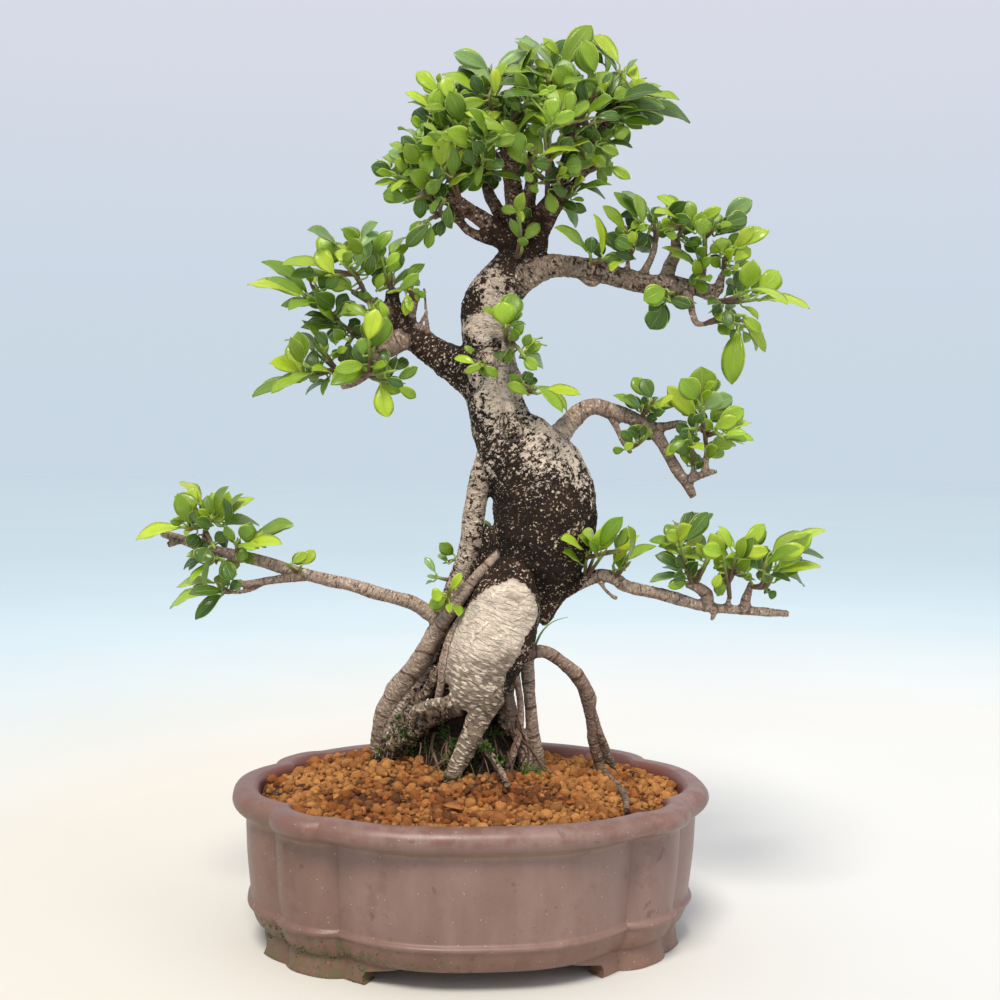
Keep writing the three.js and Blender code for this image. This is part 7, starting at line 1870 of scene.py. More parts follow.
def shade_bark(points, bark, names, owner):
    """Darkens the thick root past its pale part, lays the patches over the trunk, blackens the top of the
    root mass, and adds moss and knobs towards the soil."""
    bark = bark.copy()
    if "pale_root" in names:
        thick = np.isin(owner, [names.index("pale_root"), names.index("pale_leg")])
        ragged = np.array([1.8 * noise.noise(Vector(point * 0.35)) for point in points])
        inside = inside_by(PALE_EDGE, elevation(points)) + ragged
        dark = ((1 - smooth_step(-EDGE_SOFTNESS, EDGE_SOFTNESS, inside)) * thick)[:, None]
        bark = bark * (1 - dark) + np.array(BARKS["soot"]) * dark
    if "trunk" in names:
        free = np.isin(owner, [i for i, name in enumerate(names) if name not in UNPATCHED])
        weight = np.full(len(points), PATCH_BASE)
        total = weight[:, None] * bark[:, :4]
        for x, z, reach, values in PATCHES:
            centre = placed(seen([(x, z, 0)]))[0]
            gap = (points - centre) * (1, 0.35, 1)
            near = 2 * max(1, 10 / reach) ** 2 * np.exp(-((gap ** 2).sum(1) / reach ** 2))
            weight += near
            total += near[:, None] * np.array(values)
        bark[free, :4] = (total / weight[:, None])[free]
    if "root_core" in names:
        mass = np.isin(owner, [names.index("root_core"), names.index("core_left")])
        upper = (smooth_step(*MASS_TOP, points[:, 2]) * mass)[:, None]
        bark = bark * (1 - upper) + np.array(UPPER_MASS) * upper
    near_soil = 1 - smooth_step(*NEAR_SOIL, points[:, 2])
    bark[:, MOSS] = np.clip(bark[:, MOSS] + 0.3 * near_soil, 0, 1)
    lower_half = 1 - smooth_step(*LOWER_HALF, points[:, 2])
    bark[:, KNOBS] = np.clip(bark[:, KNOBS] + 0.5 * lower_half * bark[:, NET], 0, 1)
    bark[:, NET] = bark[:, NET] * (1 - 0.4 * lower_half)
    bark[:, BLACK] = np.clip(bark[:, BLACK] + 0.3 * near_soil * (bark[:, PALE] < 0.8), 0, 1)
    bark[:, KNOBS] = np.clip(bark[:, KNOBS] + 0.45 * near_soil, 0, 1)
    return bark


def bark_relief(points, grain, radii, bark):
    """How far the bark stands out at each point."""
    relief = np.zeros(len(points))
    size = np.minimum(radii, FULL_RELIEF) / FULL_RELIEF
    knobs = bark[:, KNOBS] * size
    for i, (point, place) in enumerate(zip(points, grain)):
        here = Vector(point)
        lumps = noise.noise(here * 0.045) * 2.6 * size[i]
        folds = noise.noise(here * 0.13) * 1.2 * size[i]
        crust = noise.noise(Vector((place[0] * 0.3, place[1] * 0.3, place[2] * 0.75))) * 0.6
        relief[i] = lumps + folds + crust * (0.35 + 0.65 * size[i])
        if knobs[i] > 0.1:
            gap = noise.voronoi(here * 0.17)[0][0]
            relief[i] += knobs[i] * (0.9 - 2.2 * gap)
    return relief


def make_wood(name, limbs, table, material, keep):
    """One piece of wood out of several limbs."""
    skin = Skin()
    for limb in limbs:
        centres, radii, _ = table[limb]
        skin.add(*tube(placed(centres), radii + WOOD_OVER, WOOD_SIDES))
    piece = remeshed(name, skin)
    dress_bark(piece, table, limbs)
    thinner = piece.modifiers.new("thinner", "DECIMATE")
    thinner.ratio = keep
    apply_modifiers(piece)
    piece.data.materials.append(material)
    settle(piece, ["tree"])
    return piece


# Foliage

# Each group is one piece; a shoot's name begins with its group's.
GROUPS = ("crown_back", "crown", "left", "right", "mid", "low_left", "low_right", "trunk", "root")
# A young and an old colour of each tone: yellowish, green, dark and pale.
TONES = {
    "y": ((0.36, 0.47, 0.022), (0.24, 0.4, 0.018)),
    "g": ((0.21, 0.325, 0.013), (0.11, 0.215, 0.011)),
    "d": ((0.07, 0.145, 0.012), (0.034, 0.085, 0.01)),
    "p": ((0.2, 0.32, 0.1), (0.14, 0.26, 0.08)),
}
# How the tone of a leaf may change for its twin further in.
INNER_TONES = {"y": "yygg", "g": "yggd", "d": "gddd", "p": "gdpg"}
BLADE_ROWS = np.array([0, 0.05, 0.13, 0.24, 0.36, 0.49, 0.62, 0.74, 0.84, 0.92, 0.97, 1.0])
BLADE_COLUMNS = np.array([-1, -0.55, 0, 0.55, 1])
# A blade's width by share of its length, its thickness, and how much wider it is than its solid.
WIDTH_SHARES = ((0, 0.05, 0.1, 0.25, 0.42, 0.6, 0.75, 0.87, 0.94, 0.98, 1),
                (0.05, 0.18, 0.34, 0.7, 0.94, 1, 0.9, 0.62, 0.34, 0.11, 0))
BLADE_THICKNESS = 0.75
WIDER = 1.07
# Twins of each shoot further in or out: how far their ends lie back, and how near the group's middle.
TWINS = {"crown": ((18, 0.9), (34, 0.8), (-14, 0.78)), "crown_back": ((-20, 0.92), (14, 0.85))}
OTHER_TWINS = ((15, 0.93), (-13, 0.86))
# A twin's leaf is left out by chance or where it has too little room, and turned by up to so many degrees.
TWIN_GAPS = 0.2
TWIN_ROOM = -2.2
TWIN_TURN = 48
STALK_SIDES = 6
STALK_RADII = (1.1, 0.8, 0.6)
STEM_SIDES = 8
STEM_RADII = (1.7, 1.15)
# The share of a stem that is brown, on a shoot and on its twins.
SHOOT_WOODY = 0.35
TWIN_WOODY = 0.5
BUD_LENGTH = 8
BUD_SHARES = (0, 0.2, 0.45, 0.7, 0.88, 1.0)
BUD_RADII = (1.3, 1.45, 1.2, 0.8, 0.4, 0.06)
# Small shoots that only the looks have.
SIDE_SHOOTS = {
    "root_side": {
        "stems": [[(-18, 270, -10), (-25, 271, -12), (-29, 272, -12)]],
        "leaves": [(-30.5, 275.6, -38.8, 287.2, 5.5, "p"), (-28.3, 271.5, -36.9, 272.9, 3, "p"),
                   (-29, 271, -38, 267, 2, "p")],
    },
    "root_behind": {
        "stems": [[(-9, 284, -2), (-15, 286, 6), (-18, 285, 8)]],
        "leaves": [(-16, 288.4, -27.8, 298, 10, "g"), (-19.7, 283, -28.5, 289.5, 4.5, "p")],
    },
    "root_gap": {
        "stems": [[(14, 297, 6), (9.5, 303, 12)]],
        "leaves": [(9.8, 304, 5.9, 316, 5, "y")],
    },
}


def group_of(name):
    """The group that a shoot's name begins with."""
    return max((group for group in GROUPS if name.startswith(group)), key=len)


def blade_points(leaf, draw):
    """Top and underside of a curved, slightly waved blade, with values for its shader."""
    length, width = leaf["length"], leaf["width"] * WIDER
    share, out = [grid.ravel() for grid in np.meshgrid(BLADE_ROWS, BLADE_COLUMNS, indexing="ij")]
    half = width / 2 * np.interp(share, *WIDTH_SHARES)
    reach = half * out
    arch = BLADE_ARCH * (0.75 + 0.5 * next(draw))
    fold = BLADE_FOLD * (0.7 + 0.9 * next(draw))
    sway = 0.06 * length * (next(draw) - 0.5) * 4 * share * (1 - share)
    phase = 2 * math.pi * next(draw)
    turns = 1.2 + 1.3 * next(draw)
    wave = 0.035 * width * np.sin(2 * math.pi * turns * share + phase + out) * out ** 2
    droop = -0.05 * length * np.clip(share - 0.72, 0, 1) ** 2 * (next(draw) * 8)
    lift = arch * length * 4 * share * (1 - share) + fold * np.abs(reach) * (1 - 0.35 * share) + wave + droop
    top = (leaf["base"] + np.outer(length * share, leaf["axis"])
           + np.outer(reach + sway, leaf["side"]) + np.outer(lift, leaf["facing"]))
    thick = BLADE_THICKNESS * (1 - 0.45 * np.abs(out)) + 0.55 * (1 - share) * (out == 0)
    under = top - np.outer(thick, leaf["facing"])
    return share, out, top, under


def blade_template():
    """Faces of a blade: the top grid, then the inner columns of the underside."""
    rows, columns = len(BLADE_ROWS), len(BLADE_COLUMNS)
    top = rows * columns
    inner = columns - 2

    def below(i, j):
        if j in (0, columns - 1):
            return i * columns + j
        return top + i * inner + j - 1

    faces = grid_faces(rows, columns, False)
    for i in range(rows - 1):
        for j in range(columns - 1):
            faces.append((below(i, j), below(i + 1, j), below(i + 1, j + 1), below(i, j + 1)))
    foot = [below(0, j) for j in range(columns)]
    for j in range(columns - 1):
        quad = (j + 1, j, foot[j], foot[j + 1])
        faces.append(tuple(dict.fromkeys(quad)))
    tip = rows - 1
    for j in range(columns - 1):
        quad = (tip * columns + j, tip * columns + j + 1, below(tip, j + 1), below(tip, j))
        faces.append(tuple(dict.fromkeys(quad)))
    return faces


BLADE_FACES = blade_template()


def add_leaf(skin, leaf, draw):
    """A blade on its curved stalk."""
    share, out, top, under = blade_points(leaf, draw)
    keep = np.abs(out) < 1
    points = np.concatenate([top, under[keep]])
    young, old = TONES[leaf["tone"]]
    mixing = next(draw)
    colour = np.array(young) * mixing + np.array(old) * (1 - mixing)
    colour = colour * (0.85 + 0.3 * next(draw))
    own = next(draw)
    blade = np.zeros((len(points), 4))
    blade[:, 0] = np.concatenate([share, share[keep]])
    blade[:, 1] = 0.5 + 0.5 * np.concatenate([out, out[keep]])
    blade[len(top):, 2] = 1
    blade[:len(top), 2] = np.where(np.abs(out) == 1, 0.5, 0)
    blade[:, 3] = own
    skin.add(placed(points), BLADE_FACES, 0, blade=blade, tint=(*colour, 1))
    start, base = leaf["start"], leaf["base"]
    gap = np.linalg.norm(base - start)
    lean = base - leaf["axis"] * gap * 0.45
    line = [start, start * 0.45 + base * 0.25 + lean * 0.3, lean * 0.5 + base * 0.5,
            base + leaf["axis"] * leaf["length"] * 0.04 - leaf["facing"] * 0.3]
    times = np.linspace(0, 1, 6)
    centres = Curve(line).at(times)
    points, faces = tube(placed(centres), np.interp(times, [0, 0.3, 1], STALK_RADII), STALK_SIDES)
    stalk = np.array([0.3, 0.42, 0.07]) * 0.6 + colour * 0.5
    skin.add(points, faces, 1, blade=(0, 0, 0, 0), tint=(*stalk, 1))


def add_stem(skin, stem, woody, draw):
    """A shoot's stem with swollen joints, brown where it is old, and a pointed bud at its end."""
    centres = seen(stem)
    if len(centres) == 2:
        centres = np.array([centres[0], (centres[0] + centres[1]) / 2, centres[1]])
    curve = Curve(centres)
    count = max(6, int(curve.length / 1.6))
    times = curve.times(count)
    line = curve.at(times)
    share = np.linspace(0, 1, count)
    radii = STEM_RADII[0] + (STEM_RADII[1] - STEM_RADII[0]) * share
    pitch = 7.5 + 2 * next(draw)
    joints = np.exp(-(((share * curve.length) % pitch - pitch / 2) / 0.8) ** 2)
    radii = radii + 0.32 * joints
    points, faces = tube(placed(line), radii, STEM_SIDES)
    brown = np.array([0.13, 0.07, 0.04])
    green = np.array([0.2, 0.28, 0.05])
    blend = smooth_step(woody, 1.0, np.repeat(share, STEM_SIDES))[:, None]
    colour = brown * (1 - blend) + green * blend
    tint = np.column_stack([colour, np.ones(len(colour))])
    skin.add(points, faces, 1, blade=(0, 0, 0, 0), tint=tint)
    heading = unit(line[-1] - line[-3])
    length = BUD_LENGTH * (0.6 + 0.7 * next(draw))
    bud = line[-1] + np.outer(np.array(BUD_SHARES) * length, heading)
    points, faces = tube(placed(bud), BUD_RADII, STALK_SIDES)
    sheath = (0.24, 0.34, 0.04, 1) if next(draw) > 0.25 else (0.2, 0.16, 0.04, 1)
    skin.add(points, faces, 1, blade=(0, 0, 0, 0), tint=sheath)


def add_twins(skin, names, twins, crowd):
    """Fills a group out in depth: each shoot again with its end further back, where there is room."""
    tips = [row[2:4] for name in names for row in SPRAYS[name]["leaves"]]
    middle = np.mean(tips, axis=0)
    for name in names:
        draw = draws_from(SEED + 7 * len(name) + sum(ord(letter) for letter in name))
        next(draw)
        rows = SPRAYS[name]["leaves"] + SPRAYS[name].get("small", [])
        for back, pull in twins:
            stems = [twin_stem(stem, back, pull, middle) for stem in SPRAYS[name]["stems"]]
            kept = []
            for row in rows:
                if next(draw) < TWIN_GAPS:
                    continue
                leaf = place_twin(stems, row, pull, middle, crowd, draw)
                if leaf["room"] > TWIN_ROOM:
                    kept.append(leaf)
            if kept:
                for stem in stems:
                    add_stem(skin, stem, TWIN_WOODY, draw)
            for leaf in kept:
                add_leaf(skin, leaf, draw)


def twin_stem(stem, back, pull, middle):
    """A stem from the same root, whose end lies further back and nearer the middle."""
    shares = np.linspace(0, 1, len(stem))
    points = []
    for share, (x, z, depth) in zip(shares, stem):
        near = 1 - (1 - pull) * share
        points.append((middle[0] + (x - middle[0]) * near, middle[1] + (z - middle[1]) * near,
                       depth + back * share))
    return points


def place_twin(stems, row, pull, middle, crowd, draw):
    """A leaf like one of the shoot's, moved with it and turned a little."""
    shift = 7 * (np.array([next(draw), next(draw)]) - 0.5)
    base = middle + (np.array(row[0:2]) - middle) * pull + shift
    angle = math.radians(TWIN_TURN) * (2 * next(draw) - 1)
    turn = np.array([[math.cos(angle), -math.sin(angle)], [math.sin(angle), math.cos(angle)]])
    tip = base + turn @ (np.array(row[2:4]) - row[0:2]) * (0.75 + 0.25 * next(draw))
    tone = pick(INNER_TONES[row[5]], draw)
    width = max(row[4], 5) * (0.8 + 0.3 * next(draw))
    return place_leaf(stems, (*base, *tip, width, tone), crowd)


def make_foliage():
    """The leafy shoots, one piece for each group."""
    leaves, crowd = place_all_leaves()
    materials = [leaf_material(), shoot_material()]
    for group in GROUPS:
        names = [name for name in SPRAYS if group_of(name) == group]
        skin = Skin()
        for name in names:
            draw = draws_from(SEED + sum(ord(letter) * (i + 3) for i, letter in enumerate(name)))
            next(draw)
            for stem in all_stems(SPRAYS[name]):
                add_stem(skin, stem, SHOOT_WOODY, draw)
            for leaf in leaves[name]:
                add_leaf(skin, leaf, draw)
        add_twins(skin, names, TWINS.get(group, OTHER_TWINS), crowd)
        for name, spray in SIDE_SHOOTS.items():
            if group_of(name) == group:
                for stem in spray["stems"]:
                    add_stem(skin, stem, SHOOT_WOODY, draw)
                for row in spray["leaves"]:
                    add_leaf(skin, place_leaf(spray["stems"], row, crowd), draw)
        skin.make(group + "_leaves", materials, "leaves", names)


# Soil

# Pitch, lift over the surface, chance, smallest and largest radius of each layer of granules.
GRAIN_LAYERS = ((6.2, -1.0, 1.0, 2.5, 4.6), (8.5, 1.8, 0.5, 2.2, 5.2), (6.8, 2.4, 0.5, 1.2, 2.4))
GRAIN_TAN = np.array([0.6, 0.272, 0.08])
GRAIN_ORANGE = np.array([0.38, 0.122, 0.026])
GRAIN_DARK = np.array([0.13, 0.045, 0.017])


def soil_height(point):
    """The height of the soil at a place, in metres, or None beside it."""
    hit = SOIL_TREE.ray_cast(Vector((point[0] * MM, point[1] * MM, OVER_ALL)), Vector((0, 0, -1)))[0]
    return None if hit is None else hit.z


def make_grains():
    """Granules over the soil's own surface: a full layer of coarse ones, then coarse and fine ones on top."""
    draw = draws_from(SEED)
    ball, ball_faces = ball_shape()
    skins = {True: Skin(), False: Skin()}
    inner_x = POT_HALF_X - GRAIN_EDGE
    inner_y = POT_HALF_Y - GRAIN_EDGE - 1.5
    outline = lobed_outline(inner_x, inner_y, 0.7)
    for pitch, lift, chance, smallest, largest in GRAIN_LAYERS:
        row_pitch = pitch * math.sqrt(3) / 2
        for j in range(-int(inner_y / row_pitch) - 1, int(inner_y / row_pitch) + 2):
            for i in range(-int(inner_x / pitch) - 1, int(inner_x / pitch) + 2):
                x = (i + (j % 2) / 2 + 0.6 * (next(draw) - 0.5)) * pitch
                y = (j + 0.6 * (next(draw) - 0.5)) * row_pitch
                kept = next(draw) < chance
                if not kept or not within(outline, x, y):
                    continue
                at = np.array([x, y, 0]) + POT_MIDDLE
                height = soil_height(at)
                if height is None or height < GRAIN_LOWEST:
                    continue
                size = smallest + (largest - smallest) * next(draw) ** 1.4
                at[2] = height / MM + lift + 1.2 * (next(draw) - 0.5)
                add_grain(skins[y < 0], ball, ball_faces, at, size, draw)
    material = grain_material()
    skins[True].make("front_granules", [material], "granules")
    skins[False].make("back_granules", [material], "granules")


def ball_shape():
    """The points and triangles of a once split icosahedron."""
    shape = bmesh.new()
    bmesh.ops.create_icosphere(shape, subdivisions=2, radius=1)
    points = np.array([vertex.co for vertex in shape.verts])
    faces = [tuple(vertex.index for vertex in face.verts) for face in shape.faces]
    shape.free()
    return points, faces


def within(outline, x, y):
    """Whether a point lies inside a closed outline."""
    ax, ay = outline[:, 0], outline[:, 1]
    bx, by = np.roll(ax, -1), np.roll(ay, -1)
    crosses = (ay > y) != (by > y)
    reach = ax + (y - ay) * (bx - ax) / np.where(by == ay, 1e-9, by - ay)
    return bool((crosses & (x < reach)).sum() % 2)


def add_grain(skin, ball, faces, at, size, draw):
    """One knobbly granule, turned and tinted by its own draws."""
    shift = Vector((next(draw) * 90, next(draw) * 90, next(draw) * 90))
    knobs = np.array([1 + 0.38 * noise.noise(Vector(point) * 1.7 + shift)
                      + 0.16 * noise.noise(Vector(point) * 4.3 + shift) for point in ball])
    stretch = np.array([0.85 + 0.4 * next(draw), 0.85 + 0.3 * next(draw), 0.68 + 0.3 * next(draw)])
    turn = Matrix.Rotation(2 * math.pi * next(draw), 3, Vector((next(draw) - 0.5, next(draw) - 0.5, 0.6)))
    points = (ball * knobs[:, None] * stretch * size) @ np.array(turn).T + at
    patch = noise.noise(Vector((at[0] * 0.02, at[1] * 0.03, 3.1)))
    patch += 0.5 * noise.noise(Vector((at[0] * 0.06, at[1] * 0.08, 7.7)))
    wet = np.exp(-(((at[0] + 92) / 34) ** 2 + ((at[1] + 38) / 26) ** 2))
    wet = max(wet, np.exp(-(((at[0] - 2) / 60) ** 2 + ((at[1] + 34) / 16) ** 2)))
    warm = np.clip(0.42 + 1.3 * patch + 0.9 * (next(draw) - 0.5) + 0.5 * wet, 0, 1)
    colour = GRAIN_TAN * (1 - warm) + GRAIN_ORANGE * warm
    deep = np.clip((next(draw) - 0.7) * 2 + 1.4 * max(0, patch) + 0.6 * wet * next(draw) * 2, 0, 0.9)
    colour = (colour * (1 - deep) + GRAIN_DARK * deep) * (0.75 + 0.5 * next(draw))
    skin.add(points, faces, 0, tint=(*colour, 1))


# Dressing: moss, grass, thin roots, a dry leaf

# Seeds of the draws for moss, rootlets, the dry leaf, cushions and strands.
MOSS_SEED = SEED + 5
ROOTLET_SEED = SEED + 6
DRY_LEAF_SEED = SEED + 9
CUSHION_SEED = SEED + 11
STRAND_SEED = SEED + 12
# Fuzz of moss: how mossy a point must be, the number of places tried, and its length.
MOSS_ON_WOOD = (0.4, 1100, 2.4)
MOSS_ON_POT = (0.62, 420, 1.3)
MOSS_TINTS = ((0.04, 0.085, 0.01, 1), (0.13, 0.23, 0.02, 1), (0.02, 0.035, 0.008, 1))
# Cushions of moss on the root mass: x and z in the front elevation, spread and number of tufts.
CUSHIONS = (
    (-56.5, 164.3, 2.2, 10), (-21.5, 152.6, 7, 50), (-13.7, 144.3, 7, 60), (17.3, 153.3, 6, 50),
    (3.8, 139.2, 9, 60), (-32.7, 141.7, 7, 40), (-67, 148.7, 4, 20), (-51.8, 152.8, 4, 22),
    (-40.3, 143.8, 5, 26), (-2.1, 129.1, 6, 40), (-18.9, 132.7, 6, 36), (12.9, 140.9, 6, 40),
    (20.7, 133.4, 5, 40), (-74.4, 139.4, 4, 24), (-47.8, 138.3, 5, 24), (7.5, 145.4, 6, 40),
)
# Strands of thin root down the root mass: their number, and in the front elevation the span they start
# in and the heights of their tops and feet.
STRANDS = 40
STRAND_SPAN = (-34, 40)
STRAND_TOP = (134, 176)
STRAND_FOOT = (112, 124)
GRASS_TINTS = ((0.1, 0.24, 0.018, 1), (0.17, 0.33, 0.035, 1), (0.05, 0.13, 0.012, 1))
ROOT_TINTS = ((0.09, 0.035, 0.022, 1), (0.2, 0.11, 0.07, 1), (0.045, 0.025, 0.018, 1))
# Tufts on the soil: x and z in the front elevation, depth, number of blades, spread and height.
TUFTS = (
    (44, 128, -12, 34, 7.5, 13), (37, 130, -14, 16, 5, 17), (52, 126, -10, 16, 4, 8),
    (-26, 128, -34, 12, 5, 7), (-62, 124, 0, 14, 6, 6), (95, 118, 0, 10, 4, 6), (-31.3, 116, -133, 5, 1, 5),
)
# One long blade of grass between the roots.
LONG_BLADE = ((45.5, 221, -9), (51, 232.5, -12), (58.9, 240, -14), (70, 243.6, -16))
# Rootlets: both ends in the front elevation with their depth, and the thickness.
ROOTLETS = (
    ((12, 142, -30), (22, 128, -46), 0.9), ((6, 140, -32), (14, 124, -50), 0.7),
    ((26, 140, -24), (36, 126, -40), 0.8), ((16, 150, -28), (18, 128, -44), 0.5),
    ((-6, 136, -34), (2, 122, -52), 0.6), ((30, 146, -20), (27, 128, -38), 0.5),
    ((50, 134, -6), (60, 126, -16), 0.5), ((52, 130, -8), (66, 133, -14), 0.45),
    ((-58, 150, -6), (-66, 124, -16), 1.1), ((-66, 146, 4), (-78, 124, -8), 0.6),
    ((-30, 150, -18), (-34, 124, -30), 0.6), ((-40, 146, -14), (-46, 122, -26), 0.7),
    ((104, 122, 10), (112, 112, -2), 0.9), ((90, 128, 22), (84, 114, 14), 0.5),
)
# Scraps of root on the granules: x and y from the pot's middle, and the length; and the dry leaf's place.
SCRAPS = ((-152, -16, 17), (-146, -24, 12), (-157, -10, 14), (-140, -35, 12), (-134, -28, 15), (-96, 44, 12),
          (-60, -52, 9), (128, 30, 11))
DRY_LEAF = (-29, -68, 0)
# Paleness from which the bark carries neither moss nor strands.
BARE_FROM = 0.45


def add_hair(skin, foot, tip, bend, radius, tint, sides=3, steps=4):
    """One tapering blade or rootlet, bent on its way."""
    times = np.linspace(0, 1, steps)
    line = foot + np.outer(times, tip - foot) + np.outer(4 * times * (1 - times), bend)
    points, faces = tube(line, radius * (1 - 0.85 * times ** 1.5), sides)
    skin.add(points, faces, 0, tint=tint)


def over_soil(point, lift=0.0):
    """The point of the soil under or over a point, or the point itself beside the soil, lifted."""
    height = soil_height(point)
    return np.array([point[0], point[1], (point[2] if height is None else height / MM) + lift])


def add_fuzz(skin, piece, layer, least, count, reach, draw):
    """Short hairs on the points of a piece that are mossy enough, in patches."""
    mesh = piece.data
    fit = np.flatnonzero(values_of(mesh, layer)[:, MOSS] > least)
    for _ in range(count):
        vertex = mesh.vertices[int(fit[int(next(draw) * len(fit))])]
        at = np.array(vertex.co) / MM
        patch = noise.noise(Vector(at * 0.09))
        if patch < 0.02:
            continue
        out = np.array(vertex.normal)
        for _ in range(3):
            lean = np.array([next(draw) - 0.5, next(draw) - 0.5, next(draw) - 0.2])
            tip = at + unit(out + lean) * reach * (0.5 + next(draw))
            add_hair(skin, at - 0.3 * out, tip, 0.4 * lean, 0.42, pick(MOSS_TINTS, draw), 3, 3)


def tree_of(piece):
    """A search tree of a piece's faces."""
    mesh = piece.data
    return BVHTree.FromPolygons([vertex.co for vertex in mesh.vertices],
                                [tuple(face.vertices) for face in mesh.polygons])


def paleness(piece):
    """How pale the bark is on each face of a piece."""
    pale = values_of(piece.data, "bark")[:, PALE]
    return [pale[face.vertices[0]] for face in piece.data.polygons]


def on_wood(tree, pale, x, z):
    """The point and normal of the wood seen at a place of the front elevation, if it is not pale there."""
    eye = placed(EYE)
    aim = placed(seen([(x, z, 0)]))[0]
    hit = tree.ray_cast(Vector(eye * MM), Vector(unit(aim - eye)))
    if hit[0] is None or pale[hit[2]] > BARE_FROM:
        return None
    return np.array(hit[0]) / MM, np.array(hit[1])


def add_cushions(skin, tree, pale, draw):
    """Tufts of moss in the hollows of the root mass."""
    for x, z, spread, count in CUSHIONS:
        for _ in range(count):
            angle, reach = 2 * math.pi * next(draw), spread * next(draw) ** 0.7
            found = on_wood(tree, pale, x + reach * math.cos(angle), z + reach * 0.7 * math.sin(angle))
            if found is None:
                continue
            at, out = found
            for _ in range(3):
                lean = np.array([next(draw) - 0.5, next(draw) - 0.5, next(draw) - 0.1])
                tip = at + unit(out + lean) * (1.6 + 2.6 * next(draw))
                tints = MOSS_TINTS if next(draw) < 0.85 else GRASS_TINTS
                add_hair(skin, at - 0.4 * out, tip, 0.5 * lean, 0.5, pick(tints, draw), 3, 3)


def add_strands(skin, tree, pale, draw):
    """Thin roots running down over the root mass, each following its surface."""
    for _ in range(STRANDS):
        x = STRAND_SPAN[0] + (STRAND_SPAN[1] - STRAND_SPAN[0]) * next(draw)
        top = STRAND_TOP[0] + (STRAND_TOP[1] - STRAND_TOP[0]) * next(draw)
        foot = STRAND_FOOT[0] + (STRAND_FOOT[1] - STRAND_FOOT[0]) * next(draw)
        slope, wave, phase = 0.5 * (next(draw) - 0.5), 2 + 3 * next(draw), 6.3 * next(draw)
        radius = 0.6 + 1.1 * next(draw) ** 2
        tint = pick(ROOT_TINTS, draw)
        line = []
        for share in np.linspace(0, 1, 14):
            z = top + (foot - top) * share
            aside = slope * (top - z) + wave * math.sin(phase + 5 * share)
            found = on_wood(tree, pale, x * (1 + 0.25 * share) + aside, z)
            if found is None or (line and np.linalg.norm(found[0] - line[-1]) > 14):
                break
            line.append(found[0] + found[1] * radius * 0.5)
        if len(line) > 4:
            skin.add(*tube(line, np.linspace(radius, 0.5 * radius, len(line)), 5), 0, tint=tint)


def make_moss(root_piece, pot):
    """Moss on the roots and the pot, tufts of grass, and the long blade."""
    draw = draws_from(MOSS_SEED)
    skin = Skin()
    add_cushions(skin, ROOT_TREE, ROOT_PALE, draws_from(CUSHION_SEED))
    add_fuzz(skin, root_piece, "bark", *MOSS_ON_WOOD, draw)
    add_fuzz(skin, pot, "wear", *MOSS_ON_POT, draw)
    for x, z, depth, blades, spread, height in TUFTS:
        middle = placed(seen([(x, z, depth)]))[0]
        for _ in range(blades):
            angle = 2 * math.pi * next(draw)
            reach = spread * next(draw) ** 0.6
            aside = np.array([math.cos(angle), math.sin(angle), 0])
            foot = over_soil(middle + aside * reach, -0.5)
            tip = foot + aside * height * 0.45 * next(draw) + (0, 0, height * (0.4 + 0.6 * next(draw)))
            bend = aside * 0.12 * height * (next(draw) - 0.8)
            add_hair(skin, foot, tip, bend, 0.55, pick(GRASS_TINTS, draw))
    line = placed(Curve(seen(LONG_BLADE)).at(np.linspace(0, 1, 9)))
    skin.add(*tube(line, np.linspace(1.0, 0.25, 9), 4), 0, tint=(0.3, 0.46, 0.16, 1))
    skin.make("moss_and_grass", [moss_material()], "leaves")


def make_rootlets():
    """Thin roots from the root mass to the soil, and dark scraps of root lying on the granules."""
    draw = draws_from(ROOTLET_SEED)
    skin = Skin()
    add_strands(skin, ROOT_TREE, ROOT_PALE, draws_from(STRAND_SEED))
    for start, end, radius in ROOTLETS:
        a, b = placed(seen([start, end]))
        b = over_soil(b, 1.0)
        bend = np.array([next(draw) - 0.5, next(draw) - 0.5, 0.4 * next(draw)]) * 5
        add_hair(skin, a, b, bend, radius, pick(ROOT_TINTS, draw), 6, 9)
    for x, y, length in SCRAPS:
        foot = over_soil(np.array([x, y, 0]) + POT_MIDDLE, 4.2)
        angle = 2 * math.pi * next(draw)
        tip = over_soil(foot + length * np.array([math.cos(angle), math.sin(angle), 0]), 4.6)
        bend = np.array([next(draw) - 0.5, next(draw) - 0.5, 0.15]) * length * 0.4
        add_hair(skin, foot, tip, bend, 0.7, ROOT_TINTS[2], 5, 7)
    skin.make("rootlets", [moss_material()], "bark")


def make_dry_leaf():
    """A curled orange leaf on the granules."""
    skin = Skin()
    foot = over_soil(np.array(DRY_LEAF) + POT_MIDDLE, 5.4)
    axis = unit(np.array([1.0, -0.25, -0.12]))
    facing = unit(np.array([0.1, -0.6, 0.8]))
    facing = unit(facing - axis * np.dot(axis, facing))
    leaf = {"start": foot - axis * 2, "base": foot, "axis": axis, "length": 16, "width": 6.4,
            "facing": facing, "side": np.cross(facing, axis), "tone": "y"}
    _, out, top, under = blade_points(leaf, draws_from(DRY_LEAF_SEED))
    keep = np.abs(out) < 1
    curl = np.abs(np.concatenate([out, out[keep]])) ** 2
    points = np.concatenate([top, under[keep]]) + np.outer(curl * 1.6, facing)
    shade = np.column_stack([0.55 - 0.2 * curl, 0.22 - 0.1 * curl, 0.06 + 0 * curl, 1 + 0 * curl])
    skin.add(points, BLADE_FACES, 0, tint=shade)
    skin.make("dry_leaf", [grain_material()], "leaves")


# Stage

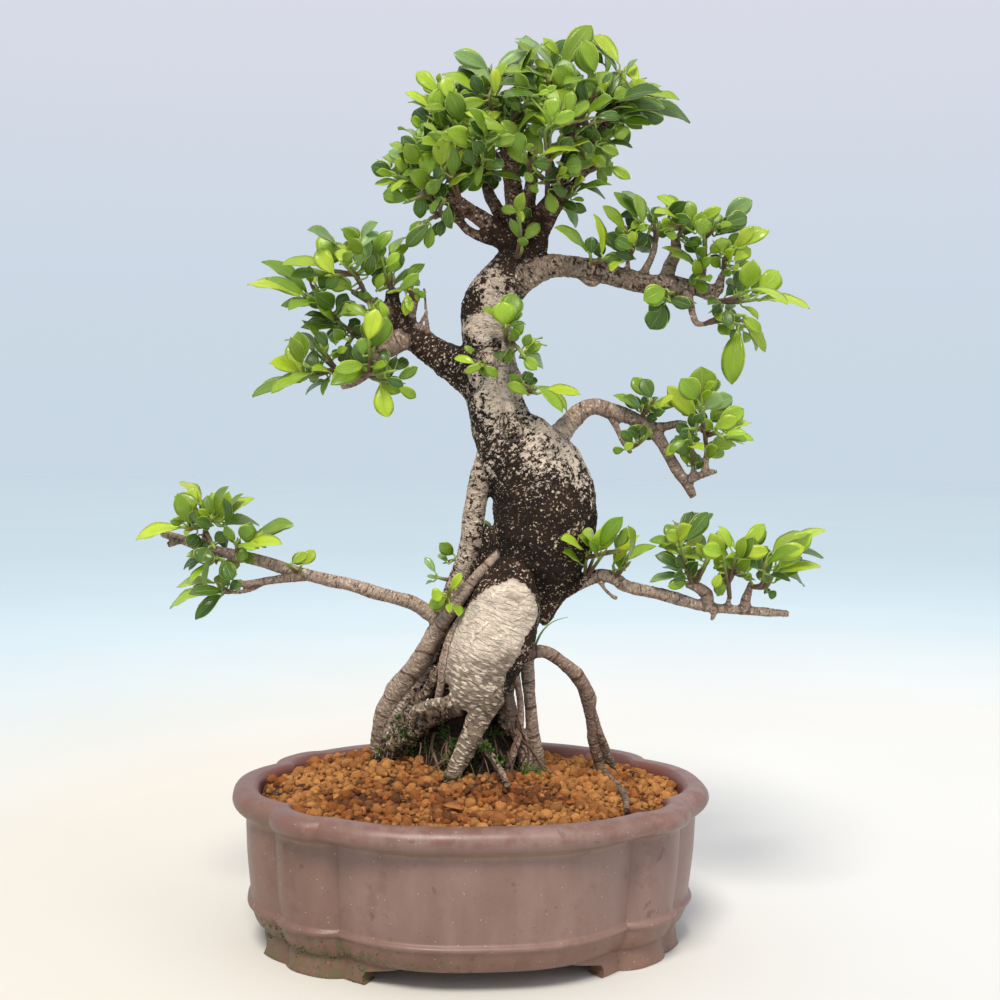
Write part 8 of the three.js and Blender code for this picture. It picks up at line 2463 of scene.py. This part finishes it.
# Tone of the sky by height, from the horizon up.
SKY_TONES = ((0.0, (0.584, 0.687, 0.775)), (0.1, (0.61, 0.69, 0.785)), (0.25, (0.69, 0.71, 0.8)))
# Lights: name, direction it comes from, strength, spread in degrees and colour.
SUNS = (
    ("key", (-0.35, -1.0, 1.6), 3.0, 20, (1.0, 0.93, 0.84)),
    ("fill", (1.2, -0.8, 0.7), 0.45, 60, (1.0, 0.96, 0.92)),
)
# The floor lies just under the feet. Its tone goes by the distance in metres from a place right of the pot.
FLOOR_DROP = 0.0005
FLOOR_MIDDLE = (0.45, 0, 0)
FLOOR_TONES = (
    (0.0, (0.665, 0.66, 0.622)), (0.6, (0.66, 0.66, 0.615)), (0.85, (0.65, 0.645, 0.6)),
    (1.0, (0.63, 0.65, 0.62)), (1.39, (0.558, 0.627, 0.638)), (1.78, (0.493, 0.595, 0.636)),
    (2.4, (0.434, 0.538, 0.588)), (3.24, (0.399, 0.495, 0.543)), (8.0, (0.374, 0.455, 0.51)),
)
FLOOR_REACH = FLOOR_TONES[-1][0]


def make_camera():
    """A camera at the eye, turned with the pot's view."""
    pitch, roll = CAMERA_PITCH, CAMERA_ROLL
    forward = np.array([0, math.cos(pitch), -math.sin(pitch)])
    level_up = np.array([0, math.sin(pitch), math.cos(pitch)])
    level_right = np.array([1.0, 0, 0])
    right = level_right * math.cos(roll) + level_up * math.sin(roll)
    up = level_up * math.cos(roll) - level_right * math.sin(roll)
    turn = np.stack([placed(axis) - POT_MIDDLE for axis in (right, up, -forward)], 1)
    data = bpy.data.cameras.new("camera")
    data.lens = CAMERA_LENS
    data.sensor_width = 36
    data.clip_start = 0.05
    data.clip_end = 50
    camera = added("camera", data)
    camera.matrix_world = Matrix.Translation(Vector(placed(CAMERA_PLACE) * MM)) @ Matrix(turn).to_4x4()
    bpy.context.scene.camera = camera


def make_sun(name, place, strength, spread, colour):
    """A wide, soft light from the direction of a place, even all over the scene."""
    data = bpy.data.lights.new(name, "SUN")
    data.energy = strength
    data.angle = math.radians(spread)
    data.color = colour
    light = added(name, data)
    light.location = place
    light.rotation_euler = (-Vector(place)).to_track_quat("-Z", "Y").to_euler()


def make_stage():
    """The floor, the backdrop and the lights."""
    floor = bpy.data.meshes.new("floor")
    corners = [(x * FLOOR_REACH, y * FLOOR_REACH, 0) for x, y in ((-1, -1), (1, -1), (1, 1), (-1, 1))]
    floor.from_pydata(corners, [], [(0, 1, 2, 3)])
    floor.materials.append(floor_material())
    ground = added("floor", floor)
    ground.location.z = -FLOOR_DROP
    bpy.context.scene.world = studio_world()
    for sun in SUNS:
        make_sun(*sun)


def studio_world():
    """A pale backdrop, light blue at the horizon and greyer overhead."""
    world = bpy.data.worlds.new("studio")
    world.use_nodes = True
    nodes, links = world.node_tree.nodes, world.node_tree.links
    place = nodes.new("ShaderNodeTexCoord")
    split = nodes.new("ShaderNodeSeparateXYZ")
    ramp = nodes.new("ShaderNodeValToRGB")
    links.new(place.outputs["Generated"], split.inputs[0])
    links.new(split.outputs[2], ramp.inputs[0])
    links.new(ramp.outputs[0], nodes["Background"].inputs["Color"])
    set_ramp(ramp, SKY_TONES, 1)
    nodes["Background"].inputs["Strength"].default_value = 1.0
    return world


def coat(node, material):
    """Gives a piece of the CAD its material."""
    node.data.materials.clear()
    node.data.materials.append(material)


# The whole

bpy.context.scene.view_settings.view_transform = "Standard"
make_camera()
make_stage()
SOIL_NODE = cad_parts["soil"]
SOIL_TREE = tree_of(SOIL_NODE)
POT = make_pot()
TABLE = wood_stations()
BARK = bark_material()
TRUNK = [name for name in TABLE if name not in ROOTS]
make_wood("trunk_wood", TRUNK, TABLE, BARK, TRUNK_KEEP)
ROOT_WOOD = make_wood("root_wood", list(ROOTS), TABLE, BARK, ROOT_KEEP)
ROOT_TREE = tree_of(ROOT_WOOD)
ROOT_PALE = paleness(ROOT_WOOD)
make_foliage()
make_grains()
make_moss(ROOT_WOOD, POT)
make_rootlets()
make_dry_leaf()
coat(SOIL_NODE, bed_material())
for name in ("drain_screen_left", "drain_screen_right"):
    coat(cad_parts[name], screen_material())
